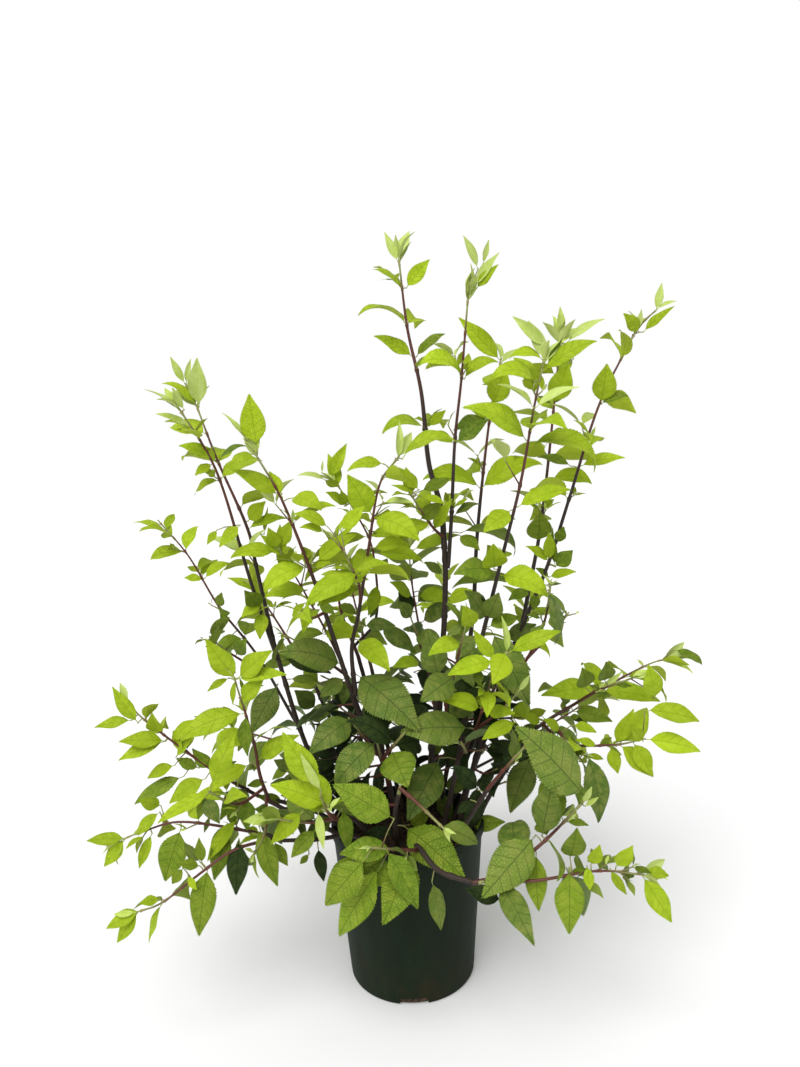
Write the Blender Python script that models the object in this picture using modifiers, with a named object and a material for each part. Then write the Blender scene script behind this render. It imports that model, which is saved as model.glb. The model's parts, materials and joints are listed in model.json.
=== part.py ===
"""A potted deutzia: a young flowering shrub of upright canes and low arching shoots in a round nursery pot.

Metres, +Z up. The origin is the centre of the pot's flat underside, and the front of the plant faces -Y.
"""
import math
import random
from collections import namedtuple

import bmesh
import bpy
from mathutils import Matrix, Vector
from mathutils.bvhtree import BVHTree

# Driving dimensions
OBJECT_NAME = "potted_deutzia"
GAP = 0.0003
MERGE = 0.00002

POT_HEIGHT = 0.196
POT_RIM_RADIUS = 0.095
POT_FOOT_RADIUS = 0.0775
POT_WALL = 0.0018
POT_FLOOR = 0.0025
POT_LIP_HEIGHT = 0.012
POT_LIP_DEPTH = 0.0015
POT_FOOT_ROUND = 0.004
POT_ROUND_MIDDLE = 0.3
POT_STEPS = 40
NOTCH_COUNT = 4
NOTCH_WIDTH = 0.034
NOTCH_HEIGHT = 0.009
NOTCH_DEPTH = 0.026

SOIL_TOP = 0.172
SOIL_SIDES = 32

LIMB_RING_SPACING = 0.050
LIMB_SIDES = 6
SHARP_ANGLE = 50
FLARE = 1.3
FOOT_RISE = 0.006
SHOOT_LEAD = 0.0035
SEAT_REACH = 0.004

SHOOT_SIDES = 3
FINE_STEPS = 8
FINE_SPACING = 0.008
BARE_SPACING = 0.045
END_BUD = 0.004
NODE_FOOT = 0.012

LEAF_WIDTH = 0.50
LEAF_THICKNESS = 0.022
LEAF_KEEL = 0.5
LEAF_SECTIONS = ((0.28, 1.0), (0.66, 0.74))
LEAF_CLEARANCE = 0.0006
LIMB_CLEARANCE = 0.0007
SHELL_SPREAD = 1.12
SAME_NODE = 0.002
LEAF_REACH = 0.6
UPRIGHT = 0.75
OUTWARD_FALL = 0.6

# A limb is one tapering stem: where it is seated, the points it passes and its radius at foot and tip
Limb = namedtuple("Limb", "name seat way foot_radius tip_radius")

# A spray is one leafy shoot: habit names its growth, phase turns its first pair of leaves
Spray = namedtuple("Spray", "name seat way habit pairs phase leaf tone")

# A leaf stands at a place on a stem that runs along a direction, and its angles are in radians
Leaf = namedtuple("Leaf", "place along azimuth opening flatten roll bend length")

# A habit gives internodes from the tip down, leaf angles from the stem, the turn from pair to pair,
# the share of vertical turn that is kept, the radius at the foot and the chance of a side twig at a node
Habit = namedtuple("Habit", "first_gap gap turn flatten foot_radius tip_radius twig_chance droop")
HABITS = {
    "cane": Habit(0.030, 0.082, 90, 1.0, 0.0027, 0.0013, 0.35, 84),
    "side": Habit(0.022, 0.043, 74, 0.55, 0.0021, 0.0011, 0.10, 92),
    "bush": Habit(0.020, 0.040, 90, 0.9, 0.0021, 0.0011, 0.10, 84),
    "old": Habit(0.022, 0.046, 84, 0.6, 0.0025, 0.0014, 0.0, 88),
}
LEAF_OPENING = (20, 42, 54, 64)
LEAF_SIZE = (0.78, 1.0, 1.06, 1.06)
LEAF_BEND = (0.30, 0.62, 0.86, 1.0)
LEAF_ROLL = (18, 52)
LEAF_SINK = 0.002
FIRST_GAPS = (0.55, 0.80)
TWIG_LEAF = 0.66
TWIG_REACH = (0.3, 0.5)
TWIG_RISE = 0.4
TWIG_FLATTEN = 0.8
TWIG_RADIUS = 0.0009
TWIG_OPENING = 42
TWIG_BEND = 34

# How much these vary from one to the next: shares of a size, and degrees either way
GAP_VARIES = (0.85, 1.15)
SIZE_VARIES = (0.88, 1.10)
BEND_VARIES = (0.80, 1.20)
TURN_VARIES = (-9, 9)
OPENING_VARIES = (-8, 8)

# Other attempts at a leaf that its neighbours leave no room for: turn, lift and size
TRIES = ((0, 0, 1.0), (14, 0, 1.0), (-14, 0, 1.0), (0, 14, 1.0), (26, 8, 0.9), (-26, 8, 0.9),
         (0, -18, 0.85), (40, 0, 0.8), (-40, 0, 0.8), (0, 26, 0.75), (20, -20, 0.68), (-20, -20, 0.68))


def soil(x, y):
    return ("soil", x, y)


def side(limb, share):
    return ("side", limb, share)


def tip(limb):
    return ("tip", limb)


def on_spray(spray, share):
    return ("spray", spray, share)


LIMBS = (
    Limb("trunk_left", soil(-0.008, -0.012),
         [(-0.026, -0.020, 0.275), (-0.051, -0.020, 0.333), (-0.076, -0.025, 0.425)],
         0.0046, 0.0030),
    Limb("trunk_right", soil(0.022, 0.010),
         [(0.036, 0.018, 0.290), (0.051, 0.020, 0.397), (0.058, 0.020, 0.487), (0.058, 0.020, 0.533)],
         0.0056, 0.0040),
    Limb("cane_left", soil(-0.050, 0.012),
         [(-0.104, 0.010, 0.250), (-0.129, 0.012, 0.310), (-0.155, 0.020, 0.411), (-0.161, 0.022, 0.442)],
         0.0040, 0.0028),
    Limb("cane_left_inner", side("trunk_left", 0.76),
         [(-0.058, -0.024, 0.420), (-0.048, -0.030, 0.462)],
         0.0027, 0.0023),
    Limb("cane_mid_right", soil(0.040, 0.045),
         [(0.082, 0.048, 0.370), (0.095, 0.051, 0.450)],
         0.0040, 0.0029),
    Limb("cane_right_front", soil(0.040, -0.018),
         [(0.066, -0.012, 0.280), (0.082, -0.012, 0.360), (0.094, -0.016, 0.414)],
         0.0040, 0.0029),
    Limb("cane_right_back", soil(0.060, 0.032),
         [(0.120, 0.044, 0.320), (0.148, 0.050, 0.400), (0.160, 0.052, 0.440)],
         0.0040, 0.0029),
    Limb("cane_right_outer", soil(0.062, 0.004),
         [(0.092, 0.008, 0.280), (0.127, 0.010, 0.375), (0.140, 0.010, 0.410)],
         0.0040, 0.0029),
    Limb("cane_back", soil(-0.016, 0.040),
         [(-0.036, 0.056, 0.300), (-0.056, 0.068, 0.385)],
         0.0036, 0.0026),
    Limb("branch_left_low", soil(-0.048, -0.036),
         [(-0.088, -0.052, 0.208), (-0.128, -0.062, 0.234), (-0.158, -0.068, 0.256)],
         0.0034, 0.0024),
    Limb("branch_left_mid", soil(-0.060, -0.012),
         [(-0.104, -0.020, 0.214), (-0.144, -0.032, 0.236), (-0.176, -0.040, 0.250)],
         0.0032, 0.0023),
    Limb("branch_left_hanging", soil(-0.038, -0.054),
         [(-0.060, -0.078, 0.214), (-0.104, -0.096, 0.222), (-0.140, -0.092, 0.220)],
         0.0030, 0.0022),
    Limb("branch_right_mid", soil(0.074, -0.012),
         [(0.104, -0.008, 0.226), (0.140, 0.006, 0.272), (0.166, 0.014, 0.300)],
         0.0034, 0.0024),
    Limb("branch_right_front", soil(0.046, -0.044),
         [(0.070, -0.070, 0.224), (0.092, -0.092, 0.272)],
         0.0032, 0.0025),
    Limb("branch_right_low", soil(0.008, -0.064),
         [(0.010, -0.100, 0.212), (0.032, -0.132, 0.200), (0.068, -0.150, 0.195)],
         0.0036, 0.0028),
    Limb("branch_front", soil(-0.012, -0.042),
         [(-0.014, -0.074, 0.232), (-0.008, -0.094, 0.272)],
         0.0032, 0.0025),
    Limb("branch_front_left", soil(-0.030, -0.036),
         [(-0.060, -0.074, 0.232), (-0.072, -0.102, 0.246)],
         0.0030, 0.0023),
    Limb("branch_back_left", soil(-0.040, 0.044),
         [(-0.082, 0.074, 0.262), (-0.118, 0.100, 0.338)],
         0.0036, 0.0026),
    Limb("branch_back_mid", soil(-0.006, 0.066),
         [(-0.026, 0.104, 0.262), (-0.042, 0.138, 0.346)],
         0.0036, 0.0026),
    Limb("branch_back_right", soil(0.028, 0.068),
         [(0.046, 0.104, 0.258), (0.056, 0.140, 0.330)],
         0.0036, 0.0026),
    Limb("branch_back_outer", soil(0.050, 0.042),
         [(0.088, 0.076, 0.252), (0.120, 0.108, 0.312)],
         0.0034, 0.0025),
)

SPRAYS = (
    Spray("foliage_cane_left", tip("cane_left"),
          [(-0.174, 0.026, 0.515), (-0.183, 0.030, 0.564), (-0.215, 0.035, 0.647), (-0.237, 0.040, 0.713)],
          "cane", 5, 70, 0.070, "young"),
    Spray("foliage_cane_left_thin", side("cane_left", 0.86),
          [(-0.178, 0.006, 0.500), (-0.197, -0.020, 0.609), (-0.211, -0.030, 0.657), (-0.236, -0.040, 0.706)],
          "cane", 3, 20, 0.056, "young"),
    Spray("foliage_left_upper", side("cane_left", 0.58),
          [(-0.180, 0.030, 0.402), (-0.224, 0.030, 0.466), (-0.255, 0.022, 0.532), (-0.287, 0.020, 0.576)],
          "side", 6, 40, 0.056, "young"),
    Spray("shoot_left_shaded", on_spray("foliage_left_upper", 0.22),
          [(-0.214, 0.004, 0.418), (-0.236, -0.016, 0.450)], "bush", 3, 30, 0.062, "mid"),
    Spray("foliage_trunk_left", tip("trunk_left"),
          [(-0.099, -0.035, 0.513), (-0.127, -0.050, 0.603), (-0.150, -0.060, 0.652)],
          "cane", 4, 130, 0.070, "young"),
    Spray("shoot_left_inner", on_spray("foliage_trunk_left", 0.18),
          [(-0.104, -0.062, 0.470), (-0.124, -0.082, 0.510)], "bush", 3, 20, 0.058, "young"),
    Spray("foliage_cane_left_inner", tip("cane_left_inner"),
          [(-0.032, -0.040, 0.543), (-0.017, -0.050, 0.614), (0.005, -0.060, 0.645)],
          "cane", 4, 65, 0.072, "young"),
    Spray("shoot_centre_left", on_spray("foliage_cane_left_inner", 0.08),
          [(-0.044, -0.064, 0.505), (-0.056, -0.088, 0.545)], "bush", 3, 80, 0.058, "young"),
    Spray("foliage_mid_left", side("trunk_left", 0.58),
          [(-0.080, 0.010, 0.410), (-0.112, 0.002, 0.483), (-0.137, 0.000, 0.533)],
          "bush", 5, 15, 0.060, "young"),
    Spray("shoot_mid_left_low", on_spray("foliage_mid_left", 0.30),
          [(-0.120, -0.020, 0.430), (-0.170, -0.044, 0.462)], "bush", 4, 50, 0.060, "mid"),
    Spray("foliage_inner_left", side("trunk_left", 0.46),
          [(-0.078, -0.060, 0.372), (-0.108, -0.086, 0.432)], "old", 4, 80, 0.086, "old"),
    Spray("foliage_inner_front", side("trunk_left", 0.30),
          [(-0.032, -0.068, 0.330), (-0.030, -0.100, 0.402)], "old", 4, 20, 0.094, "old"),
    Spray("shoot_front_low_leaves", on_spray("foliage_inner_front", 0.30),
          [(-0.012, -0.064, 0.316), (0.010, -0.092, 0.352)], "old", 3, 45, 0.084, "old"),
    Spray("foliage_top", tip("trunk_right"),
          [(0.056, 0.030, 0.580), (0.043, 0.035, 0.635), (0.037, 0.040, 0.721), (0.023, 0.050, 0.799),
           (0.016, 0.050, 0.878)], "cane", 5, 55, 0.066, "young"),
    Spray("shoot_centre_high", on_spray("foliage_top", 0.03),
          [(0.042, 0.000, 0.562), (0.018, -0.020, 0.602)], "bush", 4, 75, 0.062, "young"),
    Spray("foliage_top_right", side("trunk_right", 0.93),
          [(0.068, 0.016, 0.575), (0.074, 0.010, 0.661), (0.083, 0.000, 0.732), (0.092, -0.010, 0.820)],
          "cane", 5, 120, 0.074, "young"),
    Spray("foliage_mid_centre", side("trunk_right", 0.46),
          [(0.026, 0.050, 0.415), (0.018, 0.068, 0.474), (0.015, 0.078, 0.522)],
          "bush", 5, 60, 0.066, "mid"),
    Spray("shoot_centre_low", on_spray("foliage_mid_centre", 0.25),
          [(0.016, 0.014, 0.440), (-0.002, -0.012, 0.500)], "bush", 4, 15, 0.062, "mid"),
    Spray("foliage_inner_right", side("trunk_right", 0.40),
          [(0.052, -0.040, 0.340), (0.040, -0.084, 0.402)], "old", 4, 60, 0.084, "old"),
    Spray("shoot_inner_right", on_spray("foliage_inner_right", 0.55),
          [(0.062, -0.096, 0.424), (0.072, -0.112, 0.470)], "bush", 3, 10, 0.058, "mid"),
    Spray("foliage_cane_mid_right", tip("cane_mid_right"),
          [(0.103, 0.060, 0.545), (0.123, 0.075, 0.682), (0.140, 0.080, 0.758)],
          "cane", 5, 30, 0.076, "young"),
    Spray("foliage_cane_right_front", tip("cane_right_front"),
          [(0.104, -0.020, 0.453), (0.122, -0.030, 0.525), (0.143, -0.045, 0.612), (0.158, -0.048, 0.690),
           (0.169, -0.050, 0.740)], "cane", 5, 75, 0.078, "young"),
    Spray("foliage_centre_front", side("cane_right_front", 0.44),
          [(0.083, -0.060, 0.330), (0.096, -0.090, 0.388), (0.106, -0.100, 0.421)],
          "bush", 5, 25, 0.058, "young"),
    Spray("shoot_centre_shaded", on_spray("foliage_centre_front", 0.12),
          [(0.072, -0.052, 0.300), (0.060, -0.078, 0.332)], "old", 2, 85, 0.086, "old"),
    Spray("shoot_right_inner", on_spray("foliage_centre_front", 0.40),
          [(0.114, -0.082, 0.362), (0.140, -0.092, 0.398)], "bush", 3, 70, 0.060, "mid"),
    Spray("foliage_cane_right_back", tip("cane_right_back"),
          [(0.166, 0.053, 0.470), (0.182, 0.060, 0.540), (0.198, 0.075, 0.636), (0.215, 0.080, 0.775)],
          "cane", 5, 100, 0.068, "young"),
    Spray("foliage_cane_right_outer", tip("cane_right_outer"),
          [(0.181, 0.010, 0.503), (0.209, 0.010, 0.585), (0.246, 0.010, 0.696), (0.288, 0.010, 0.777)],
          "cane", 5, 20, 0.070, "young"),
    Spray("foliage_right_dark", side("cane_right_outer", 0.72),
          [(0.146, -0.030, 0.398), (0.166, -0.050, 0.450), (0.172, -0.058, 0.492)],
          "old", 4, 45, 0.074, "mid"),
    Spray("shoot_right_upper", on_spray("foliage_right_dark", 0.45),
          [(0.190, -0.020, 0.440), (0.214, -0.006, 0.466)], "bush", 3, 30, 0.056, "mid"),
    Spray("foliage_back_upright", tip("cane_back"),
          [(-0.078, 0.082, 0.450), (-0.081, 0.098, 0.524)], "bush", 4, 10, 0.060, "young"),
    Spray("shoot_back_inner", on_spray("foliage_back_upright", 0.10),
          [(-0.030, 0.056, 0.440), (-0.030, 0.046, 0.524), (-0.046, 0.040, 0.570), (-0.070, 0.036, 0.612)],
          "bush", 5, 50, 0.056, "young"),
    Spray("foliage_left_upright", tip("branch_left_low"),
          [(-0.166, -0.074, 0.290), (-0.170, -0.080, 0.335), (-0.184, -0.090, 0.408)],
          "bush", 4, 85, 0.062, "young"),
    Spray("shoot_left_front", on_spray("foliage_left_upright", 0.12),
          [(-0.188, -0.098, 0.268), (-0.212, -0.120, 0.293)], "bush", 4, 40, 0.072, "young"),
    Spray("shoot_left_drooping", on_spray("foliage_left_upright", 0.04),
          [(-0.158, -0.104, 0.238), (-0.172, -0.146, 0.222)], "bush", 4, 20, 0.084, "old"),
    Spray("foliage_left_middle", tip("branch_left_mid"),
          [(-0.206, -0.045, 0.272), (-0.239, -0.050, 0.299), (-0.296, -0.060, 0.355),
           (-0.313, -0.060, 0.375)],
          "side", 6, 10, 0.074, "young"),
    Spray("foliage_left_low", tip("branch_left_hanging"),
          [(-0.176, -0.078, 0.224), (-0.256, -0.080, 0.241), (-0.300, -0.080, 0.232),
           (-0.323, -0.080, 0.224)],
          "side", 6, 0, 0.072, "young"),
    Spray("shoot_left_hanging", on_spray("foliage_left_low", 0.06),
          [(-0.192, -0.112, 0.222), (-0.228, -0.122, 0.202), (-0.269, -0.134, 0.176),
           (-0.292, -0.140, 0.171)],
          "side", 5, 25, 0.074, "mid"),
    Spray("foliage_right_middle", tip("branch_right_mid"),
          [(0.190, 0.020, 0.313), (0.251, 0.030, 0.342), (0.310, 0.040, 0.367), (0.332, 0.040, 0.374)],
          "side", 6, 15, 0.074, "young"),
    Spray("shoot_right_below", on_spray("foliage_right_middle", 0.12),
          [(0.200, -0.052, 0.290), (0.216, -0.088, 0.284)], "old", 3, 30, 0.084, "mid"),
    Spray("shoot_right_side", on_spray("foliage_right_middle", 0.05),
          [(0.196, -0.020, 0.292), (0.247, -0.046, 0.299), (0.276, -0.060, 0.310)],
          "side", 5, 60, 0.074, "young"),
    Spray("shoot_right_rising", on_spray("foliage_right_middle", 0.30),
          [(0.235, -0.004, 0.350), (0.272, -0.026, 0.372)], "side", 3, 20, 0.060, "mid"),
    Spray("foliage_right_front", tip("branch_right_front"),
          [(0.108, -0.108, 0.300), (0.132, -0.122, 0.334)], "old", 3, 40, 0.104, "old"),
    Spray("foliage_right_low", tip("branch_right_low"),
          [(0.095, -0.150, 0.202), (0.140, -0.145, 0.231), (0.188, -0.130, 0.268)],
          "old", 4, 15, 0.092, "mid"),
    Spray("shoot_right_hanging", on_spray("foliage_right_low", 0.12),
          [(0.130, -0.166, 0.204), (0.196, -0.164, 0.211), (0.243, -0.160, 0.203)],
          "side", 4, 5, 0.066, "mid"),
    Spray("shoot_right_drooping", on_spray("foliage_right_low", 0.05),
          [(0.100, -0.166, 0.208), (0.126, -0.176, 0.206)], "old", 2, 50, 0.074, "mid"),
    Spray("foliage_front_low", side("branch_right_low", 0.42),
          [(-0.006, -0.134, 0.226), (-0.036, -0.160, 0.244)], "old", 3, 60, 0.092, "mid"),
    Spray("foliage_front", tip("branch_front"),
          [(-0.002, -0.118, 0.310), (0.002, -0.134, 0.342)], "old", 3, 50, 0.084, "old"),
    Spray("shoot_front_drooping", on_spray("foliage_front", 0.12),
          [(0.014, -0.116, 0.268), (0.038, -0.138, 0.252)], "old", 3, 20, 0.086, "mid"),
    Spray("foliage_front_left", tip("branch_front_left"),
          [(-0.082, -0.128, 0.264), (-0.088, -0.160, 0.302)], "bush", 4, 45, 0.080, "young"),
    Spray("shoot_front_left_side", on_spray("foliage_front_left", 0.20),
          [(-0.104, -0.128, 0.258), (-0.134, -0.146, 0.272)], "bush", 3, 75, 0.070, "mid"),
    Spray("shoot_front_left_low", on_spray("foliage_front_left", 0.06),
          [(-0.062, -0.122, 0.226), (-0.058, -0.150, 0.214)], "old", 3, 65, 0.078, "mid"),
    Spray("foliage_back_left", tip("branch_back_left"),
          [(-0.160, 0.132, 0.404), (-0.200, 0.160, 0.460)], "bush", 5, 30, 0.062, "young"),
    Spray("foliage_back_left_low", side("branch_back_left", 0.34),
          [(-0.130, 0.092, 0.244), (-0.196, 0.120, 0.262), (-0.262, 0.142, 0.270)],
          "side", 5, 10, 0.064, "mid"),
    Spray("foliage_back_mid", tip("branch_back_mid"),
          [(-0.062, 0.190, 0.418), (-0.078, 0.232, 0.478)], "bush", 5, 75, 0.064, "young"),
    Spray("foliage_back_low", side("branch_back_mid", 0.34),
          [(-0.052, 0.152, 0.238), (-0.092, 0.220, 0.262), (-0.122, 0.276, 0.272)],
          "side", 5, 35, 0.064, "mid"),
    Spray("foliage_back_right", tip("branch_back_right"),
          [(0.064, 0.196, 0.392), (0.070, 0.246, 0.446)], "bush", 5, 20, 0.064, "young"),
    Spray("foliage_back_right_low", side("branch_back_right", 0.34),
          [(0.072, 0.154, 0.232), (0.100, 0.222, 0.256), (0.124, 0.282, 0.262)],
          "side", 5, 55, 0.064, "mid"),
    Spray("foliage_back_outer", tip("branch_back_outer"),
          [(0.158, 0.150, 0.372), (0.192, 0.184, 0.424)], "bush", 5, 65, 0.062, "young"),
    Spray("foliage_right_back_low", side("branch_back_outer", 0.36),
          [(0.140, 0.092, 0.240), (0.204, 0.112, 0.268), (0.262, 0.126, 0.296)],
          "side", 5, 5, 0.064, "mid"),
)

# Colours as linear RGB, with the roughness of each finish
COLOURS = {
    "pot": ((0.010, 0.013, 0.009), 0.55),
    "soil": ((0.035, 0.022, 0.013), 0.95),
    "bark": ((0.060, 0.026, 0.018), 0.75),
    "shoot": ((0.090, 0.045, 0.022), 0.65),
    "young": ((0.290, 0.440, 0.030), 0.50),
    "mid": ((0.150, 0.300, 0.025), 0.50),
    "old": ((0.040, 0.130, 0.020), 0.50),
}


def material(name):
    colour, roughness = COLOURS[name]
    finish = bpy.data.materials.get(name) or bpy.data.materials.new(name)
    finish.use_nodes = True
    shader = finish.node_tree.nodes["Principled BSDF"]
    shader.inputs["Base Color"].default_value = (*colour, 1.0)
    shader.inputs["Roughness"].default_value = roughness
    finish.diffuse_color = (*colour, 1.0)
    return finish


def collection(name):
    folder = bpy.data.collections.new(name)
    bpy.context.scene.collection.children.link(folder)
    return folder


def mesh_object(name, verts, faces, folder, finish, edges=()):
    mesh = bpy.data.meshes.new(name)
    mesh.from_pydata([tuple(vert) for vert in verts], edges, faces)
    mesh.update()
    mesh.materials.append(material(finish))
    obj = bpy.data.objects.new(name, mesh)
    folder.objects.link(obj)
    return obj


# Pot and soil

def turned(name, profile, steps, folder, finish):
    """Turns an open profile of (radius, height) points round the Z axis."""
    verts = [(radius, 0.0, height) for radius, height in profile]
    obj = mesh_object(name, verts, [], folder, finish, [(i, i + 1) for i in range(len(verts) - 1)])
    screw = obj.modifiers.new("turn", "SCREW")
    screw.axis = "Z"
    screw.steps = steps
    screw.render_steps = steps
    screw.use_merge_vertices = True
    screw.merge_threshold = MERGE
    screw.use_smooth_shade = True
    return obj


def pot_outer_radius(height):
    return POT_FOOT_RADIUS + (POT_RIM_RADIUS - POT_LIP_DEPTH - POT_FOOT_RADIUS) * height / POT_HEIGHT


def pot_inner_radius(height):
    return pot_outer_radius(height) - POT_WALL


def make_pot(folder, cutters):
    lip_bottom = POT_HEIGHT - POT_LIP_HEIGHT
    profile = [
        (0.0, POT_FLOOR),
        (pot_inner_radius(POT_FLOOR), POT_FLOOR),
        (pot_inner_radius(POT_HEIGHT), POT_HEIGHT),
        (POT_RIM_RADIUS, POT_HEIGHT),
        (POT_RIM_RADIUS, lip_bottom),
        (pot_outer_radius(lip_bottom), lip_bottom - POT_LIP_DEPTH),
        (pot_outer_radius(POT_FOOT_ROUND), POT_FOOT_ROUND),
        (POT_FOOT_RADIUS - POT_FOOT_ROUND * POT_ROUND_MIDDLE, POT_FOOT_ROUND * POT_ROUND_MIDDLE),
        (POT_FOOT_RADIUS - POT_FOOT_ROUND, 0.0),
        (0.0, 0.0),
    ]
    pot = turned("pot", profile, POT_STEPS, folder, "pot")
    for index in range(NOTCH_COUNT):
        angle = math.radians(-90 + 360 / NOTCH_COUNT * index)
        bpy.ops.mesh.primitive_cube_add(size=1.0)
        notch = bpy.context.object
        notch.name = "notch_%d" % index
        notch.scale = (NOTCH_DEPTH, NOTCH_WIDTH, 2 * NOTCH_HEIGHT)
        notch.location = (POT_FOOT_RADIUS * math.cos(angle), POT_FOOT_RADIUS * math.sin(angle), 0.0)
        notch.rotation_euler = (0.0, 0.0, angle)
        notch.hide_render = True
        notch.display_type = "WIRE"
        for home in list(notch.users_collection):
            home.objects.unlink(notch)
        cutters.objects.link(notch)
        cut = pot.modifiers.new("drain_%d" % index, "BOOLEAN")
        cut.operation = "DIFFERENCE"
        cut.object = notch
    return pot


def make_soil(folder):
    bottom = POT_FLOOR + GAP
    top_radius = pot_inner_radius(SOIL_TOP) - GAP
    bottom_radius = pot_inner_radius(bottom) - GAP
    bpy.ops.mesh.primitive_cone_add(vertices=SOIL_SIDES, radius1=bottom_radius, radius2=top_radius,
                                    depth=SOIL_TOP - bottom, location=(0, 0, (SOIL_TOP + bottom) / 2))
    obj = bpy.context.object
    obj.name = "soil"
    obj.data.materials.append(material("soil"))
    for home in list(obj.users_collection):
        home.objects.unlink(obj)
    folder.objects.link(obj)
    return obj


# Paths of stems

def smooth_path(points, spacing):
    """Points along a smooth curve that passes the given ones, about one spacing apart."""
    ends = [points[0] * 2 - points[1]] + points + [points[-1] * 2 - points[-2]]
    fine = [points[0]]
    for before, start, end, after in zip(ends, ends[1:], ends[2:], ends[3:]):
        for step in range(1, FINE_STEPS + 1):
            t = step / FINE_STEPS
            curve = (2 * before - 5 * start + 4 * end - after) * t * t
            curve += (3 * start - before - 3 * end + after) * t ** 3
            fine.append((start * 2 + (end - before) * t + curve) * 0.5)
    length = path_length(fine)
    count = max(2, round(length / spacing))
    return [path_point(fine, length * step / count) for step in range(count + 1)]


def path_length(path):
    return sum((b - a).length for a, b in zip(path, path[1:]))


def path_point(path, distance):
    for a, b in zip(path, path[1:]):
        step = (b - a).length
        if distance <= step or b is path[-1]:
            return a.lerp(b, min(distance / step, 1.0))
        distance -= step


def stem_radius(path, radii, distance):
    """The radius of a stem at some distance along its path."""
    for index, (a, b) in enumerate(zip(path, path[1:])):
        step = (b - a).length
        if distance <= step:
            return radii[index] + (radii[index + 1] - radii[index]) * distance / step
        distance -= step
    return radii[-1]


def seat_foot(seat, first, stems):
    """Where a stem begins and which way its foot points: on the soil, or on the tip or side of another stem."""
    if seat[0] == "soil":
        return Vector((seat[1], seat[2], SOIL_TOP + GAP)), Vector((0, 0, 1))
    path, radii = stems[seat[1]]
    if seat[0] == "tip":
        along = (path[-1] - path[-2]).normalized()
        return path[-1] + along * GAP, along
    total = path_length(path)
    here = path_point(path, total * seat[2])
    if seat[0] == "spray":
        return here, None
    ahead = path_point(path, min(total * seat[2] + SEAT_REACH, total))
    behind = path_point(path, total * seat[2] - SEAT_REACH)
    along = (ahead - behind).normalized()
    out = first - here
    out = (out - along * out.dot(along)).normalized()
    return here + out * (stem_radius(path, radii, total * seat[2]) + GAP), out


def limb_path(limb, stems):
    """A limb's points and radii, with a flared foot that stands level on the soil."""
    way = [Vector(point) for point in limb.way]
    start, lead = seat_foot(limb.seat, way[0], stems)
    path = smooth_path([start] + way, LIMB_RING_SPACING)
    count = len(path) - 1
    radii = [limb.foot_radius + (limb.tip_radius - limb.foot_radius) * i / count for i in range(count + 1)]
    path.insert(1, start + lead * FOOT_RISE)
    radii.insert(1, limb.foot_radius)
    if limb.seat[0] == "soil":
        radii[0] *= FLARE
    return path, radii


def section_curve(sides):
    """The outline of a stem with so many sides, drawn at a radius of 1 m and scaled along the stem."""
    name = "section_%d" % sides
    if name in bpy.data.objects:
        return bpy.data.objects[name]
    curve = bpy.data.curves.new(name, "CURVE")
    spline = curve.splines.new("POLY")
    spline.points.add(sides - 1)
    for index, point in enumerate(spline.points):
        angle = math.tau * index / sides
        point.co = (math.cos(angle), math.sin(angle), 0.0, 1.0)
    spline.use_cyclic_u = True
    obj = bpy.data.objects.new(name, curve)
    obj.hide_render = True
    obj.display_type = "WIRE"
    bpy.data.collections["guides"].objects.link(obj)
    return obj


def stem_curve(name, path, radii, folder, sides):
    """A tapering stem as a curve with a section of so many sides and closed ends."""
    curve = bpy.data.curves.new(name, "CURVE")
    curve.dimensions = "3D"
    curve.bevel_mode = "OBJECT"
    curve.bevel_object = section_curve(sides)
    curve.use_fill_caps = True
    spline = curve.splines.new("POLY")
    spline.points.add(len(path) - 1)
    for point, place, radius in zip(spline.points, path, radii):
        point.co = (*place, 1.0)
        point.radius = radius
    obj = bpy.data.objects.new(name, curve)
    folder.objects.link(obj)
    return obj


def curves_to_meshes(curves, folder, finish):
    """Replaces curve objects by closed meshes of the same names."""
    graph = bpy.context.evaluated_depsgraph_get()
    meshes = [bpy.data.meshes.new_from_object(obj.evaluated_get(graph)) for obj in curves]
    solids = []
    for obj, mesh in zip(curves, meshes):
        name = obj.name
        data = obj.data
        bpy.data.objects.remove(obj)
        bpy.data.curves.remove(data)
        shape = bmesh.new()
        shape.from_mesh(mesh)
        bmesh.ops.remove_doubles(shape, verts=shape.verts, dist=MERGE)
        bmesh.ops.recalc_face_normals(shape, faces=shape.faces)
        shape.to_mesh(mesh)
        shape.free()
        mesh.materials.clear()
        mesh.materials.append(material(finish))
        mesh.shade_smooth()
        mesh.set_sharp_from_angle(angle=math.radians(SHARP_ANGLE))
        mesh.name = name
        solid = bpy.data.objects.new(name, mesh)
        folder.objects.link(solid)
        solids.append(solid)
    return solids


def stem_shell(path, radii):
    """An open tube round a path that leaves some room round the stem, to test what comes near."""
    verts = []
    for index, place in enumerate(path):
        along = (path[min(index + 1, len(path) - 1)] - path[max(index - 1, 0)]).normalized()
        across = along.orthogonal().normalized()
        other = along.cross(across)
        reach = radii[index] * SHELL_SPREAD + LIMB_CLEARANCE
        for side_index in range(LIMB_SIDES):
            angle = math.tau * side_index / LIMB_SIDES
            verts.append(place + (across * math.cos(angle) + other * math.sin(angle)) * reach)
    faces = []
    for ring in range(len(path) - 1):
        for side_index in range(LIMB_SIDES):
            a = ring * LIMB_SIDES + side_index
            b = ring * LIMB_SIDES + (side_index + 1) % LIMB_SIDES
            faces.append((a, b, b + LIMB_SIDES, a + LIMB_SIDES))
    return BVHTree.FromPolygons(verts, faces)


# Leaves

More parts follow.
